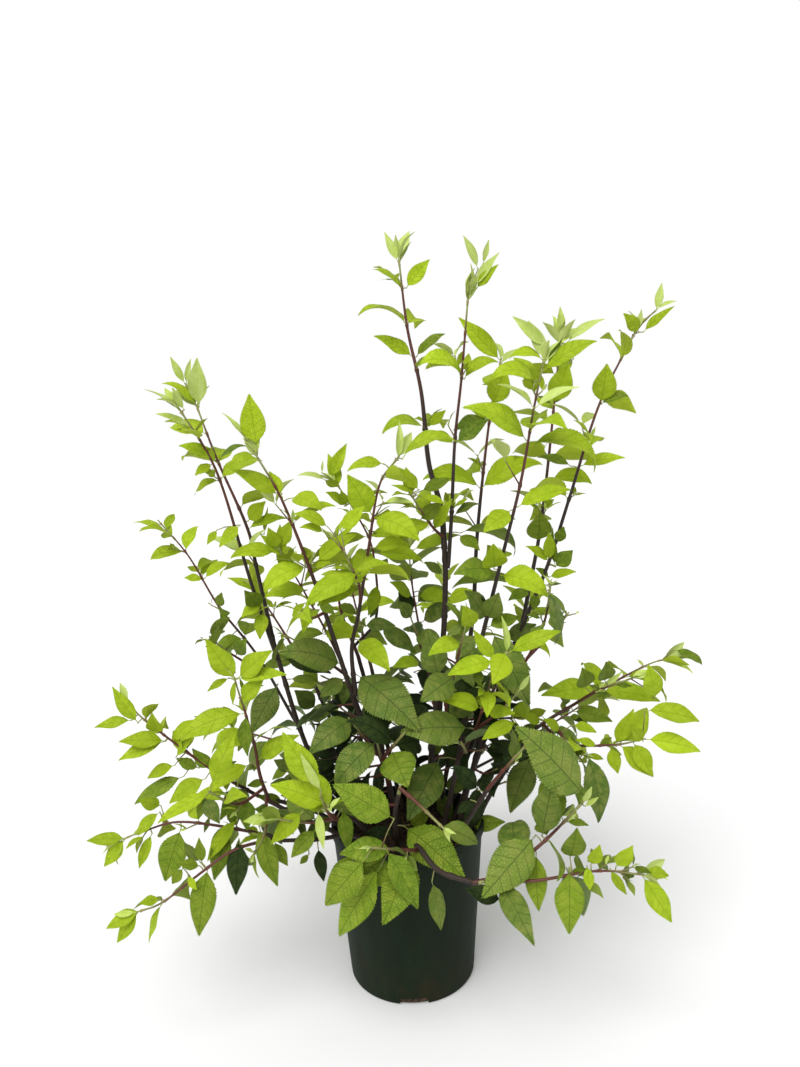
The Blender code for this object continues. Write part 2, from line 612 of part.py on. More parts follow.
def leaf_midrib(length, bend, share):
    """A point of the midrib, which is an arc in the XZ plane, and the leaf's tilt there."""
    tilt = bend * share
    radius = length / bend
    return Vector((radius * math.sin(tilt), 0, radius * (math.cos(tilt) - 1))), tilt


def leaf_shape(length, width, bend, extra=0.0):
    """A pointed oval leaf along +X that bends down: six edge points above one keel point."""
    verts = [Vector((-extra, 0, 0))]
    ribs = [leaf_midrib(length, bend, share) for share, breadth in LEAF_SECTIONS]
    for (place, tilt), (share, breadth) in zip(ribs, LEAF_SECTIONS):
        half = width / 2 * breadth + extra
        raised = place + Vector((math.sin(tilt), 0, math.cos(tilt))) * extra
        verts += [raised + Vector((0, half, 0)), raised - Vector((0, half, 0))]
    verts.append(leaf_midrib(length, bend, 1.0)[0] + Vector((extra, 0, 0)))
    low = ribs[0][0].lerp(ribs[1][0], LEAF_KEEL)
    tilt = (ribs[0][1] + ribs[1][1]) / 2
    verts.append(low - Vector((math.sin(tilt), 0, math.cos(tilt))) * (length * LEAF_THICKNESS + extra))
    top = [(0, 2, 1), (1, 2, 4, 3), (3, 4, 5)]
    under = [(6, 0, 1), (6, 1, 3), (6, 3, 5), (6, 5, 4), (6, 4, 2), (6, 2, 0)]
    return verts, top + under


def leaf_matrix(place, along, azimuth, opening, flatten, roll):
    """The frame of a leaf: X runs out along it, Z is its upper side."""
    upright = abs(along.z) > UPRIGHT
    reference = Vector((1, 0, 0)) if upright else Vector((0, 0, 1))
    first = (reference - along * reference.dot(along)).normalized()
    second = along.cross(first)
    if upright:
        out = first * math.cos(azimuth) + second * math.sin(azimuth)
    else:
        out = second * math.cos(azimuth) + first * math.sin(azimuth) * flatten
    out.normalize()
    start = (out * math.sin(opening) + along * math.cos(opening)).normalized()
    fall = out * OUTWARD_FALL - Vector((0, 0, 1))
    fall = (fall - start * fall.dot(start)).normalized()
    fall = Matrix.Rotation(roll, 3, start) @ fall
    upper = -fall
    frame = Matrix((start, upper.cross(start), upper)).transposed().to_4x4()
    frame.translation = place
    return frame


def spray_nodes(spray, habit, length, rng):
    """How far along the stem its pairs of leaves stand, from the tip down."""
    nodes = []
    back = END_BUD
    for index in range(spray.pairs):
        if length - back > NODE_FOOT:
            nodes.append(length - back)
        gap = habit.first_gap if index == 0 else habit.gap
        if 0 < index <= len(FIRST_GAPS):
            gap *= FIRST_GAPS[index - 1]
        back += gap * rng.uniform(*GAP_VARIES)
    return nodes


def spray_stem(spray, habit, nodes, fine, length, lead, stems):
    """The stem's points, one at each node and some on its bare foot, with their radii."""
    foot = min(nodes)
    bare = int(foot / BARE_SPACING)
    marks = sorted({0.0, length, *nodes, *(foot * k / (bare + 1) for k in range(1, bare + 1))})
    foot_radius = stems[spray.seat[1]][1][-1] if spray.seat[0] == "tip" else habit.foot_radius
    radii = [foot_radius + (habit.tip_radius - foot_radius) * mark / length for mark in marks]
    path = [path_point(fine, mark) for mark in marks]
    if lead:
        path.insert(1, path[0] + lead * SHOOT_LEAD)
        radii.insert(1, foot_radius)
    return path, radii


def spray_plan(spray, stems):
    """The stem of one spray, its side twigs and the leaves that it would like to have."""
    rng = random.Random(spray.name)
    habit = HABITS[spray.habit]
    way = [Vector(point) for point in spray.way]
    start, lead = seat_foot(spray.seat, way[0], stems)
    fine = smooth_path([start] + way, FINE_SPACING)
    length = path_length(fine)
    nodes = spray_nodes(spray, habit, length, rng)
    path, radii = spray_stem(spray, habit, nodes, fine, length, lead, stems)
    leaves = []
    twigs = []
    for index, distance in enumerate(nodes):
        place = path_point(fine, distance)
        ahead = path_point(fine, min(distance + END_BUD, length))
        along = (ahead - path_point(fine, distance - END_BUD)).normalized()
        level = min(index, len(LEAF_OPENING) - 1)
        azimuth = math.radians(spray.phase + habit.turn * index + rng.uniform(*TURN_VARIES))
        for half in (0, math.pi):
            size = spray.leaf * LEAF_SIZE[level] * rng.uniform(*SIZE_VARIES)
            opening = math.radians(LEAF_OPENING[level] + rng.uniform(*OPENING_VARIES))
            bend = math.radians(habit.droop * LEAF_BEND[level] * rng.uniform(*BEND_VARIES))
            roll = math.radians(rng.uniform(*LEAF_ROLL)) * rng.choice((-1, 1))
            leaves.append(Leaf(place, along, azimuth + half, opening, habit.flatten, roll, bend, size))
        if index > 0 and rng.random() < habit.twig_chance:
            twigs.append(twig_plan(spray, place, along, azimuth + rng.choice((0, math.pi)), rng, leaves))
    return path, radii, twigs, leaves


def twig_plan(spray, place, along, azimuth, rng, leaves):
    """A short side twig from a leaf's axil, which ends in a small pair of its own."""
    out = leaf_matrix(place, along, azimuth, math.radians(TWIG_OPENING), 1.0, 0.0).to_3x3().col[0]
    end = place + out * spray.leaf * rng.uniform(*TWIG_REACH)
    direction = (out + Vector((0, 0, TWIG_RISE))).normalized()
    for half in (0, math.pi):
        size = spray.leaf * TWIG_LEAF * rng.uniform(*SIZE_VARIES)
        roll = math.radians(rng.uniform(*LEAF_ROLL)) * rng.choice((-1, 1))
        leaves.append(Leaf(end - out * LEAF_SINK, direction, azimuth + half + math.pi / 2,
                           math.radians(TWIG_OPENING), TWIG_FLATTEN, roll, math.radians(TWIG_BEND), size))
    return [place, end]


def placed_leaf(leaf, attempt, extra):
    """A leaf's frame and shape at one attempt, grown by some extra on all sides."""
    turn, lift, size = attempt
    frame = leaf_matrix(leaf.place, leaf.along, leaf.azimuth + math.radians(turn),
                        leaf.opening - math.radians(lift), leaf.flatten, leaf.roll)
    length = leaf.length * size
    verts, faces = leaf_shape(length, length * LEAF_WIDTH, leaf.bend, extra)
    return frame, verts, faces


def leaf_tree(frame, verts, faces):
    return BVHTree.FromPolygons([frame @ vert for vert in verts], faces)


def grow_leaves(plans, groups, obstacles):
    """Gives each leaf a place that is clear of other limbs, other sprays and the leaves of other nodes."""
    queue = [(order, name, leaf) for name, plan in plans.items() for order, leaf in enumerate(plan[3])]
    queue.sort(key=lambda item: item[0])
    kept = {name: [] for name in plans}
    taken = []
    for _, name, leaf in queue:
        group = groups[name]
        for attempt in TRIES:
            frame, verts, faces = placed_leaf(leaf, attempt, LEAF_CLEARANCE)
            tree = leaf_tree(frame, verts, faces)
            if any(owner != group and shell.overlap(tree) for owner, shell in obstacles):
                continue
            middle = frame @ verts[-1]
            near = [other for owner, foot, centre, span, other in taken
                    if (centre - middle).length < leaf.length + span
                    and (owner != group or (foot - leaf.place).length > SAME_NODE)]
            if any(other.overlap(tree) for other in near):
                continue
            shape = placed_leaf(leaf, attempt, 0.0)
            taken.append((group, leaf.place, middle, leaf.length * LEAF_REACH, leaf_tree(*shape)))
            kept[name].append(shape)
            break
    return kept


def pot_shells():
    """The pot's outside and the top of the soil, as leaves must keep clear of them."""
    verts = []
    for height in (0.0, POT_HEIGHT + LIMB_CLEARANCE, SOIL_TOP + LIMB_CLEARANCE):
        for step in range(POT_STEPS):
            angle = math.tau * step / POT_STEPS
            reach = POT_RIM_RADIUS + LIMB_CLEARANCE
            verts.append((reach * math.cos(angle), reach * math.sin(angle), height))
    faces = [(k, (k + 1) % POT_STEPS, (k + 1) % POT_STEPS + POT_STEPS, k + POT_STEPS)
             for k in range(POT_STEPS)]
    faces.append(tuple(2 * POT_STEPS + k for k in range(POT_STEPS)))
    return BVHTree.FromPolygons(verts, faces)


def join_spray(name, base, others, folder):
    """One solid from the stems, twigs and leaves of a spray: the base takes in all the others."""
    parts = collection("%s_parts" % name)
    for obj in others:
        parts.objects.link(obj)
    union = base.modifiers.new("union", "BOOLEAN")
    union.operation = "UNION"
    union.operand_type = "COLLECTION"
    union.collection = parts
    union.solver = "MANIFOLD"
    union.material_mode = "TRANSFER"
    graph = bpy.context.evaluated_depsgraph_get()
    mesh = bpy.data.meshes.new_from_object(base.evaluated_get(graph))
    for obj in [*others, base]:
        data = obj.data
        bpy.data.objects.remove(obj)
        bpy.data.meshes.remove(data)
    bpy.data.collections.remove(parts)
    shape = bmesh.new()
    shape.from_mesh(mesh)
    keep_main_body(shape)
    shape.to_mesh(mesh)
    shape.free()
    mesh.name = name
    solid = bpy.data.objects.new(name, mesh)
    folder.objects.link(solid)
    return solid


def keep_main_body(shape):
    """Drops every scrap that shares no edge with the largest body."""
    unseen = set(shape.faces)
    bodies = []
    while unseen:
        queue = [unseen.pop()]
        body = set(queue)
        while queue:
            for edge in queue.pop().edges:
                fresh = unseen.intersection(edge.link_faces)
                unseen -= fresh
                body |= fresh
                queue += fresh
        bodies.append(body)
    bodies.sort(key=len)
    scraps = [face for body in bodies[:-1] for face in body]
    bmesh.ops.delete(shape, geom=scraps, context="FACES")


def plan_plant():
    """The paths of all stems, the plans of all sprays and the group that each spray is fused in."""
    stems = {}
    for limb in LIMBS:
        stems[limb.name] = limb_path(limb, stems)
    plans = {}
    groups = {}
    for spray in SPRAYS:
        plans[spray.name] = spray_plan(spray, stems)
        stems[spray.name] = plans[spray.name][:2]
        groups[spray.name] = groups[spray.seat[1]] if spray.seat[0] == "spray" else spray.name
    return stems, plans, groups


def make_plant(folder):
    stems, plans, groups = plan_plant()
    obstacles = [(groups.get(name, name), stem_shell(*stem)) for name, stem in stems.items()]
    for name, plan in plans.items():
        obstacles += [(groups[name], stem_shell(twig, [TWIG_RADIUS] * 2)) for twig in plan[2]]
    obstacles.append(("pot", pot_shells()))
    kept = grow_leaves(plans, groups, obstacles)
    limbs = [stem_curve(limb.name, *stems[limb.name], folder, LIMB_SIDES) for limb in LIMBS]
    curves_to_meshes(limbs, folder, "bark")
    for lead in [spray for spray in SPRAYS if groups[spray.name] == spray.name]:
        curves = []
        leaves = []
        for spray in SPRAYS:
            if groups[spray.name] != lead.name:
                continue
            path, radii, twigs, wished = plans[spray.name]
            curves.append(stem_curve("%s_stem" % spray.name, path, radii, folder, SHOOT_SIDES))
            curves += [stem_curve("%s_twig" % spray.name, twig, [TWIG_RADIUS] * 2, folder, SHOOT_SIDES)
                       for twig in twigs]
            for frame, verts, faces in kept[spray.name]:
                leaf = mesh_object("%s_leaf" % spray.name, verts, faces, folder, spray.tone)
                leaf.matrix_world = frame
                leaves.append(leaf)
        tubes = curves_to_meshes(curves, folder, "shoot")
        join_spray(lead.name, tubes[0], tubes[1:] + leaves, folder)


def main():
    for obj in list(bpy.data.objects):
        bpy.data.objects.remove(obj)
    folder = collection(OBJECT_NAME)
    cutters = collection("cutters")
    guides = collection("guides")
    make_pot(folder, cutters)
    make_soil(folder)
    make_plant(folder)
    for obj in list(guides.objects):
        bpy.data.objects.remove(obj)


main()
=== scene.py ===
"""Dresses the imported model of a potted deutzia: bark, shoots, leaves, potting soil and a nursery pot.

Metres, +Z up. The origin is the centre of the pot's flat underside, and the front of the plant faces -Y.
"""

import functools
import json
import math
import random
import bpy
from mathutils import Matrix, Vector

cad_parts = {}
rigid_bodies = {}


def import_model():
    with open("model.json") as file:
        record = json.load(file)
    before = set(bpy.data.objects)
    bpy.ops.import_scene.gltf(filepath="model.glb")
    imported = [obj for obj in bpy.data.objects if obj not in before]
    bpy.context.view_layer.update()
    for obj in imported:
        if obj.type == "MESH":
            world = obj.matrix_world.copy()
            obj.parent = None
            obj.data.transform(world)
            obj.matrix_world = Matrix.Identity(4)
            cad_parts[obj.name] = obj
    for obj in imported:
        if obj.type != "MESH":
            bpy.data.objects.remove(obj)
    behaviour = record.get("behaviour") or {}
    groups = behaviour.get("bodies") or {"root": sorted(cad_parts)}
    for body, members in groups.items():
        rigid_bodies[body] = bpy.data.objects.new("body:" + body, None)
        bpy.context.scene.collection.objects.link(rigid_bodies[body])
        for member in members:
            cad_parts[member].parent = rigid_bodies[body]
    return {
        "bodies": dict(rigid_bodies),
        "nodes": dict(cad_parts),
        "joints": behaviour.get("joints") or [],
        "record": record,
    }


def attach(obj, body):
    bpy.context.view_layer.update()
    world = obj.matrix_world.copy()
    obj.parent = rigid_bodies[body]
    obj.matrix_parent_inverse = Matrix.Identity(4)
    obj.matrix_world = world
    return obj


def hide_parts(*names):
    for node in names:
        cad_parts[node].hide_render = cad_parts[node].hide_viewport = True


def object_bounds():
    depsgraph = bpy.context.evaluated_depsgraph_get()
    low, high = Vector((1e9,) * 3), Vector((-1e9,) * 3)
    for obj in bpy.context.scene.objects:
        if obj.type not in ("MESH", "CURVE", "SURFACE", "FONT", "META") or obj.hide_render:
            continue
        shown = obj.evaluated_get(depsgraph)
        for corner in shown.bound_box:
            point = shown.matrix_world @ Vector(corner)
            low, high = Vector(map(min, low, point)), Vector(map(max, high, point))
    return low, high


bl_info = {
    "name": "Potted Deutzia",
    "version": (1, 0, 0),
    "blender": (4, 5, 0),
    "location": "3D View > Sidebar > Deutzia",
    "description": "Builds a potted deutzia shrub round its packed model",
    "category": "Object",
}

from collections import namedtuple

import bmesh
import bpy
import numpy as np
from bpy.props import FloatProperty, FloatVectorProperty, IntProperty, PointerProperty
from mathutils import Matrix, Vector, noise
from mathutils.bvhtree import BVHTree

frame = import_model()
CAD_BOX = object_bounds()

BODY = "root"

# The same dimensions as the source's: the pot, the soil and the stems
GAP = 0.0003
POT_HEIGHT = 0.196
POT_RIM_RADIUS = 0.095
POT_FOOT_RADIUS = 0.0775
POT_WALL = 0.0018
POT_FLOOR = 0.0025
POT_LIP_HEIGHT = 0.012
POT_LIP_DEPTH = 0.0015
POT_FOOT_ROUND = 0.004
POT_STEPS = 40
NOTCH_COUNT = 4
NOTCH_WIDTH = 0.034
NOTCH_HEIGHT = 0.009
NOTCH_DEPTH = 0.026
SOIL_TOP = 0.172

LIMB_RING_SPACING = 0.050
LIMB_SIDES = 6
FLARE = 1.3
FOOT_RISE = 0.006
SHOOT_LEAD = 0.0035
SEAT_REACH = 0.004
FINE_STEPS = 8
FINE_SPACING = 0.008
BARE_SPACING = 0.045
END_BUD = 0.004
NODE_FOOT = 0.012

LEAF_WIDTH = 0.50
LEAF_THICKNESS = 0.022
LEAF_KEEL = 0.5
LEAF_SECTIONS = ((0.28, 1.0), (0.66, 0.74))
LEAF_CLEARANCE = 0.0006
LIMB_CLEARANCE = 0.0007
SHELL_SPREAD = 1.12
SAME_NODE = 0.002
LEAF_REACH = 0.6
UPRIGHT = 0.75
OUTWARD_FALL = 0.6

# A limb is one tapering stem: where it is seated, the points it passes and its radius at foot and tip
Limb = namedtuple("Limb", "name seat way foot_radius tip_radius")

# A spray is one leafy shoot: habit names its growth, phase turns its first pair of leaves
Spray = namedtuple("Spray", "name seat way habit pairs phase leaf tone")

# A leaf stands at a place on a stem that runs along a direction, and its angles are in radians
Leaf = namedtuple("Leaf", "place along azimuth opening flatten roll bend length age")

# A leaf that can be told apart: base, tip, the way its upper side faces, breadth, bend in degrees and tone
Shown = namedtuple("Shown", "base tip nearer face breadth bend tone depth")

# What is planned for a spray: its coarse and fine stem, side twigs, leaves and nodes
Plan = namedtuple("Plan", "path radii twigs leaves fine nodes")

# A habit gives internodes from the tip down, leaf angles from the stem, the turn from pair to pair,
# the share of vertical turn that is kept, the radius at the foot and the chance of a side twig at a node
Habit = namedtuple("Habit", "first_gap gap turn flatten foot_radius tip_radius twig_chance droop")
HABITS = {
    "cane": Habit(0.030, 0.082, 90, 1.0, 0.0027, 0.0013, 0.35, 84),
    "side": Habit(0.022, 0.043, 74, 0.55, 0.0021, 0.0011, 0.10, 92),
    "bush": Habit(0.020, 0.040, 90, 0.9, 0.0021, 0.0011, 0.10, 84),
    "old": Habit(0.022, 0.046, 84, 0.6, 0.0025, 0.0014, 0.0, 88),
}
LEAF_OPENING = (20, 42, 54, 64)
LEAF_SIZE = (0.78, 1.0, 1.06, 1.06)
LEAF_BEND = (0.30, 0.62, 0.86, 1.0)
LEAF_ROLL = (18, 52)
LEAF_SINK = 0.002
FIRST_GAPS = (0.55, 0.80)
TWIG_LEAF = 0.66
TWIG_REACH = (0.3, 0.5)
TWIG_RISE = 0.4
TWIG_FLATTEN = 0.8
TWIG_RADIUS = 0.0009
TWIG_OPENING = 42
TWIG_BEND = 34

# How much these vary from one to the next: shares of a size, and degrees either way
GAP_VARIES = (0.85, 1.15)
SIZE_VARIES = (0.88, 1.10)
BEND_VARIES = (0.80, 1.20)
TURN_VARIES = (-9, 9)
OPENING_VARIES = (-8, 8)

# Other attempts at a leaf that its neighbours leave no room for: turn, lift and size
TRIES = ((0, 0, 1.0), (14, 0, 1.0), (-14, 0, 1.0), (0, 14, 1.0), (26, 8, 0.9), (-26, 8, 0.9),
         (0, -18, 0.85), (40, 0, 0.8), (-40, 0, 0.8), (0, 26, 0.75), (20, -20, 0.68), (-20, -20, 0.68))


def soil(x, y):
    """A seat on the soil, at a place in millimetres."""
    return ("soil", x / 1000, y / 1000)


def side(limb, share):
    return ("side", limb, share)


def tip(limb):
    return ("tip", limb)


def on_spray(spray, share):
    return ("spray", spray, share)


# Each limb's name, seat, radius at its foot and its tip, and the points that it passes, in millimetres
LIMB_ROWS = (
    ("trunk_left", soil(-8, -12), 4.6, 3, (-26, -20, 275), (-51, -20, 333), (-76, -25, 425)),
    ("trunk_right", soil(22, 10), 5.6, 4, (36, 18, 290), (51, 20, 397), (58, 20, 487), (58, 20, 533)),
    ("cane_left", soil(-50, 12), 4, 2.8, (-104, 10, 250), (-129, 12, 310), (-155, 20, 411), (-161, 22, 442)),
    ("cane_left_inner", side("trunk_left", 0.76), 2.7, 2.3, (-58, -24, 420), (-48, -30, 462)),
    ("cane_mid_right", soil(40, 45), 4, 2.9, (82, 48, 370), (95, 51, 450)),
    ("cane_right_front", soil(40, -18), 4, 2.9, (66, -12, 280), (82, -12, 360), (94, -16, 414)),
    ("cane_right_back", soil(60, 32), 4, 2.9, (120, 44, 320), (148, 50, 400), (160, 52, 440)),
    ("cane_right_outer", soil(62, 4), 4, 2.9, (92, 8, 280), (127, 10, 375), (140, 10, 410)),
    ("cane_back", soil(-16, 40), 3.6, 2.6, (-36, 56, 300), (-56, 68, 385)),
    ("branch_left_low", soil(-48, -36), 3.4, 2.4, (-88, -52, 208), (-128, -62, 234), (-158, -68, 256)),
    ("branch_left_mid", soil(-60, -12), 3.2, 2.3, (-104, -20, 214), (-144, -32, 236), (-176, -40, 250)),
    ("branch_left_hanging", soil(-38, -54), 3, 2.2, (-60, -78, 214), (-104, -96, 222), (-140, -92, 220)),
    ("branch_right_mid", soil(74, -12), 3.4, 2.4, (104, -8, 226), (140, 6, 272), (166, 14, 300)),
    ("branch_right_front", soil(46, -44), 3.2, 2.5, (70, -70, 224), (92, -92, 272)),
    ("branch_right_low", soil(8, -64), 3.6, 2.8, (10, -100, 212), (32, -132, 200), (68, -150, 195)),
    ("branch_front", soil(-12, -42), 3.2, 2.5, (-14, -74, 232), (-8, -94, 272)),
    ("branch_front_left", soil(-30, -36), 3, 2.3, (-60, -74, 232), (-72, -102, 246)),
    ("branch_back_left", soil(-40, 44), 3.6, 2.6, (-82, 74, 262), (-118, 100, 338)),
    ("branch_back_mid", soil(-6, 66), 3.6, 2.6, (-26, 104, 262), (-42, 138, 346)),
    ("branch_back_right", soil(28, 68), 3.6, 2.6, (46, 104, 258), (56, 140, 330)),
    ("branch_back_outer", soil(50, 42), 3.4, 2.5, (88, 76, 252), (120, 108, 312)),
)

# Each spray's name, seat, habit, pairs of leaves, turn of its first pair in degrees, length of its leaves,
# tone, and the points that it passes, in millimetres
SPRAY_ROWS = (
    ("foliage_cane_left", tip("cane_left"), "cane", 5, 70, 70, "young",
     (-174, 26, 515), (-183, 30, 564), (-215, 35, 647), (-237, 40, 713)),
    ("foliage_cane_left_thin", side("cane_left", 0.86), "cane", 3, 20, 56, "young",
     (-178, 6, 500), (-197, -20, 609), (-211, -30, 657), (-236, -40, 706)),
    ("foliage_left_upper", side("cane_left", 0.58), "side", 6, 40, 56, "young",
     (-180, 30, 402), (-224, 30, 466), (-255, 22, 532), (-287, 20, 576)),
    ("shoot_left_shaded", on_spray("foliage_left_upper", 0.22), "bush", 3, 30, 62, "mid",
     (-214, 4, 418), (-236, -16, 450)),
    ("foliage_trunk_left", tip("trunk_left"), "cane", 4, 130, 70, "young",
     (-99, -35, 513), (-127, -50, 603), (-150, -60, 652)),
    ("shoot_left_inner", on_spray("foliage_trunk_left", 0.18), "bush", 3, 20, 58, "young",
     (-104, -62, 470), (-124, -82, 510)),
    ("foliage_cane_left_inner", tip("cane_left_inner"), "cane", 4, 65, 72, "young",
     (-32, -40, 543), (-17, -50, 614), (5, -60, 645)),
    ("shoot_centre_left", on_spray("foliage_cane_left_inner", 0.08), "bush", 3, 80, 58, "young",
     (-44, -64, 505), (-56, -88, 545)),
    ("foliage_mid_left", side("trunk_left", 0.58), "bush", 5, 15, 60, "young",
     (-80, 10, 410), (-112, 2, 483), (-137, 0, 533)),
    ("shoot_mid_left_low", on_spray("foliage_mid_left", 0.3), "bush", 4, 50, 60, "mid",
     (-120, -20, 430), (-170, -44, 462)),
    ("foliage_inner_left", side("trunk_left", 0.46), "old", 4, 80, 86, "old",
     (-78, -60, 372), (-108, -86, 432)),
    ("foliage_inner_front", side("trunk_left", 0.3), "old", 4, 20, 94, "old",
     (-32, -68, 330), (-30, -100, 402)),
    ("shoot_front_low_leaves", on_spray("foliage_inner_front", 0.3), "old", 3, 45, 84, "old",
     (-12, -64, 316), (10, -92, 352)),
    ("foliage_top", tip("trunk_right"), "cane", 5, 55, 66, "young",
     (56, 30, 580), (43, 35, 635), (37, 40, 721), (23, 50, 799), (16, 50, 878)),
    ("shoot_centre_high", on_spray("foliage_top", 0.03), "bush", 4, 75, 62, "young",
     (42, 0, 562), (18, -20, 602)),
    ("foliage_top_right", side("trunk_right", 0.93), "cane", 5, 120, 74, "young",
     (68, 16, 575), (74, 10, 661), (83, 0, 732), (92, -10, 820)),
    ("foliage_mid_centre", side("trunk_right", 0.46), "bush", 5, 60, 66, "mid",
     (26, 50, 415), (18, 68, 474), (15, 78, 522)),
    ("shoot_centre_low", on_spray("foliage_mid_centre", 0.25), "bush", 4, 15, 62, "mid",
     (16, 14, 440), (-2, -12, 500)),
    ("foliage_inner_right", side("trunk_right", 0.4), "old", 4, 60, 84, "old",
     (52, -40, 340), (40, -84, 402)),
    ("shoot_inner_right", on_spray("foliage_inner_right", 0.55), "bush", 3, 10, 58, "mid",
     (62, -96, 424), (72, -112, 470)),
    ("foliage_cane_mid_right", tip("cane_mid_right"), "cane", 5, 30, 76, "young",
     (103, 60, 545), (123, 75, 682), (140, 80, 758)),
    ("foliage_cane_right_front", tip("cane_right_front"), "cane", 5, 75, 78, "young",
     (104, -20, 453), (122, -30, 525), (143, -45, 612), (158, -48, 690), (169, -50, 740)),
    ("foliage_centre_front", side("cane_right_front", 0.44), "bush", 5, 25, 58, "young",
     (83, -60, 330), (96, -90, 388), (106, -100, 421)),
    ("shoot_centre_shaded", on_spray("foliage_centre_front", 0.12), "old", 2, 85, 86, "old",
     (72, -52, 300), (60, -78, 332)),
    ("shoot_right_inner", on_spray("foliage_centre_front", 0.4), "bush", 3, 70, 60, "mid",
     (114, -82, 362), (140, -92, 398)),
    ("foliage_cane_right_back", tip("cane_right_back"), "cane", 5, 100, 68, "young",
     (166, 53, 470), (182, 60, 540), (198, 75, 636), (215, 80, 775)),
    ("foliage_cane_right_outer", tip("cane_right_outer"), "cane", 5, 20, 70, "young",
     (181, 10, 503), (209, 10, 585), (246, 10, 696), (288, 10, 777)),
    ("foliage_right_dark", side("cane_right_outer", 0.72), "old", 4, 45, 74, "mid",
     (146, -30, 398), (166, -50, 450), (172, -58, 492)),
    ("shoot_right_upper", on_spray("foliage_right_dark", 0.45), "bush", 3, 30, 56, "mid",
     (190, -20, 440), (214, -6, 466)),
    ("foliage_back_upright", tip("cane_back"), "bush", 4, 10, 60, "young", (-78, 82, 450), (-81, 98, 524)),
    ("shoot_back_inner", on_spray("foliage_back_upright", 0.1), "bush", 5, 50, 56, "young",
     (-30, 56, 440), (-30, 46, 524), (-46, 40, 570), (-70, 36, 612)),
    ("foliage_left_upright", tip("branch_left_low"), "bush", 4, 85, 62, "young",
     (-166, -74, 290), (-170, -80, 335), (-184, -90, 408)),
    ("shoot_left_front", on_spray("foliage_left_upright", 0.12), "bush", 4, 40, 72, "young",
     (-188, -98, 268), (-212, -120, 293)),
    ("shoot_left_drooping", on_spray("foliage_left_upright", 0.04), "bush", 4, 20, 84, "old",
     (-158, -104, 238), (-172, -146, 222)),
    ("foliage_left_middle", tip("branch_left_mid"), "side", 6, 10, 74, "young",
     (-206, -45, 272), (-239, -50, 299), (-296, -60, 355), (-313, -60, 375)),
    ("foliage_left_low", tip("branch_left_hanging"), "side", 6, 0, 72, "young",
     (-176, -78, 224), (-256, -80, 241), (-300, -80, 232), (-323, -80, 224)),
    ("shoot_left_hanging", on_spray("foliage_left_low", 0.06), "side", 5, 25, 74, "mid",
     (-192, -112, 222), (-228, -122, 202), (-269, -134, 176), (-292, -140, 171)),
    ("foliage_right_middle", tip("branch_right_mid"), "side", 6, 15, 74, "young",
     (190, 20, 313), (251, 30, 342), (310, 40, 367), (332, 40, 374)),
    ("shoot_right_below", on_spray("foliage_right_middle", 0.12), "old", 3, 30, 84, "mid",
     (200, -52, 290), (216, -88, 284)),
    ("shoot_right_side", on_spray("foliage_right_middle", 0.05), "side", 5, 60, 74, "young",
     (196, -20, 292), (247, -46, 299), (276, -60, 310)),
    ("shoot_right_rising", on_spray("foliage_right_middle", 0.3), "side", 3, 20, 60, "mid",
     (235, -4, 350), (272, -26, 372)),
    ("foliage_right_front", tip("branch_right_front"), "old", 3, 40, 104, "old",
     (108, -108, 300), (132, -122, 334)),
    ("foliage_right_low", tip("branch_right_low"), "old", 4, 15, 92, "mid",
     (95, -150, 202), (140, -145, 231), (188, -130, 268)),
    ("shoot_right_hanging", on_spray("foliage_right_low", 0.12), "side", 4, 5, 66, "mid",
     (130, -166, 204), (196, -164, 211), (243, -160, 203)),
    ("shoot_right_drooping", on_spray("foliage_right_low", 0.05), "old", 2, 50, 74, "mid",
     (100, -166, 208), (126, -176, 206)),
    ("foliage_front_low", side("branch_right_low", 0.42), "old", 3, 60, 92, "mid",
     (-6, -134, 226), (-36, -160, 244)),
    ("foliage_front", tip("branch_front"), "old", 3, 50, 84, "old", (-2, -118, 310), (2, -134, 342)),
    ("shoot_front_drooping", on_spray("foliage_front", 0.12), "old", 3, 20, 86, "mid",
     (14, -116, 268), (38, -138, 252)),
    ("foliage_front_left", tip("branch_front_left"), "bush", 4, 45, 80, "young",
     (-82, -128, 264), (-88, -160, 302)),
    ("shoot_front_left_side", on_spray("foliage_front_left", 0.2), "bush", 3, 75, 70, "mid",
     (-104, -128, 258), (-134, -146, 272)),
    ("shoot_front_left_low", on_spray("foliage_front_left", 0.06), "old", 3, 65, 78, "mid",
     (-62, -122, 226), (-58, -150, 214)),
    ("foliage_back_left", tip("branch_back_left"), "bush", 5, 30, 62, "young",
     (-160, 132, 404), (-200, 160, 460)),
    ("foliage_back_left_low", side("branch_back_left", 0.34), "side", 5, 10, 64, "mid",
     (-130, 92, 244), (-196, 120, 262), (-262, 142, 270)),
    ("foliage_back_mid", tip("branch_back_mid"), "bush", 5, 75, 64, "young",
     (-62, 190, 418), (-78, 232, 478)),
    ("foliage_back_low", side("branch_back_mid", 0.34), "side", 5, 35, 64, "mid",
     (-52, 152, 238), (-92, 220, 262), (-122, 276, 272)),
    ("foliage_back_right", tip("branch_back_right"), "bush", 5, 20, 64, "young",
     (64, 196, 392), (70, 246, 446)),
    ("foliage_back_right_low", side("branch_back_right", 0.34), "side", 5, 55, 64, "mid",
     (72, 154, 232), (100, 222, 256), (124, 282, 262)),
    ("foliage_back_outer", tip("branch_back_outer"), "bush", 5, 65, 62, "young",
     (158, 150, 372), (192, 184, 424)),
    ("foliage_right_back_low", side("branch_back_outer", 0.36), "side", 5, 5, 64, "mid",
     (140, 92, 240), (204, 112, 268), (262, 126, 296)),
)


def in_metres(points):
    return [Vector([value / 1000 for value in point]) for point in points]


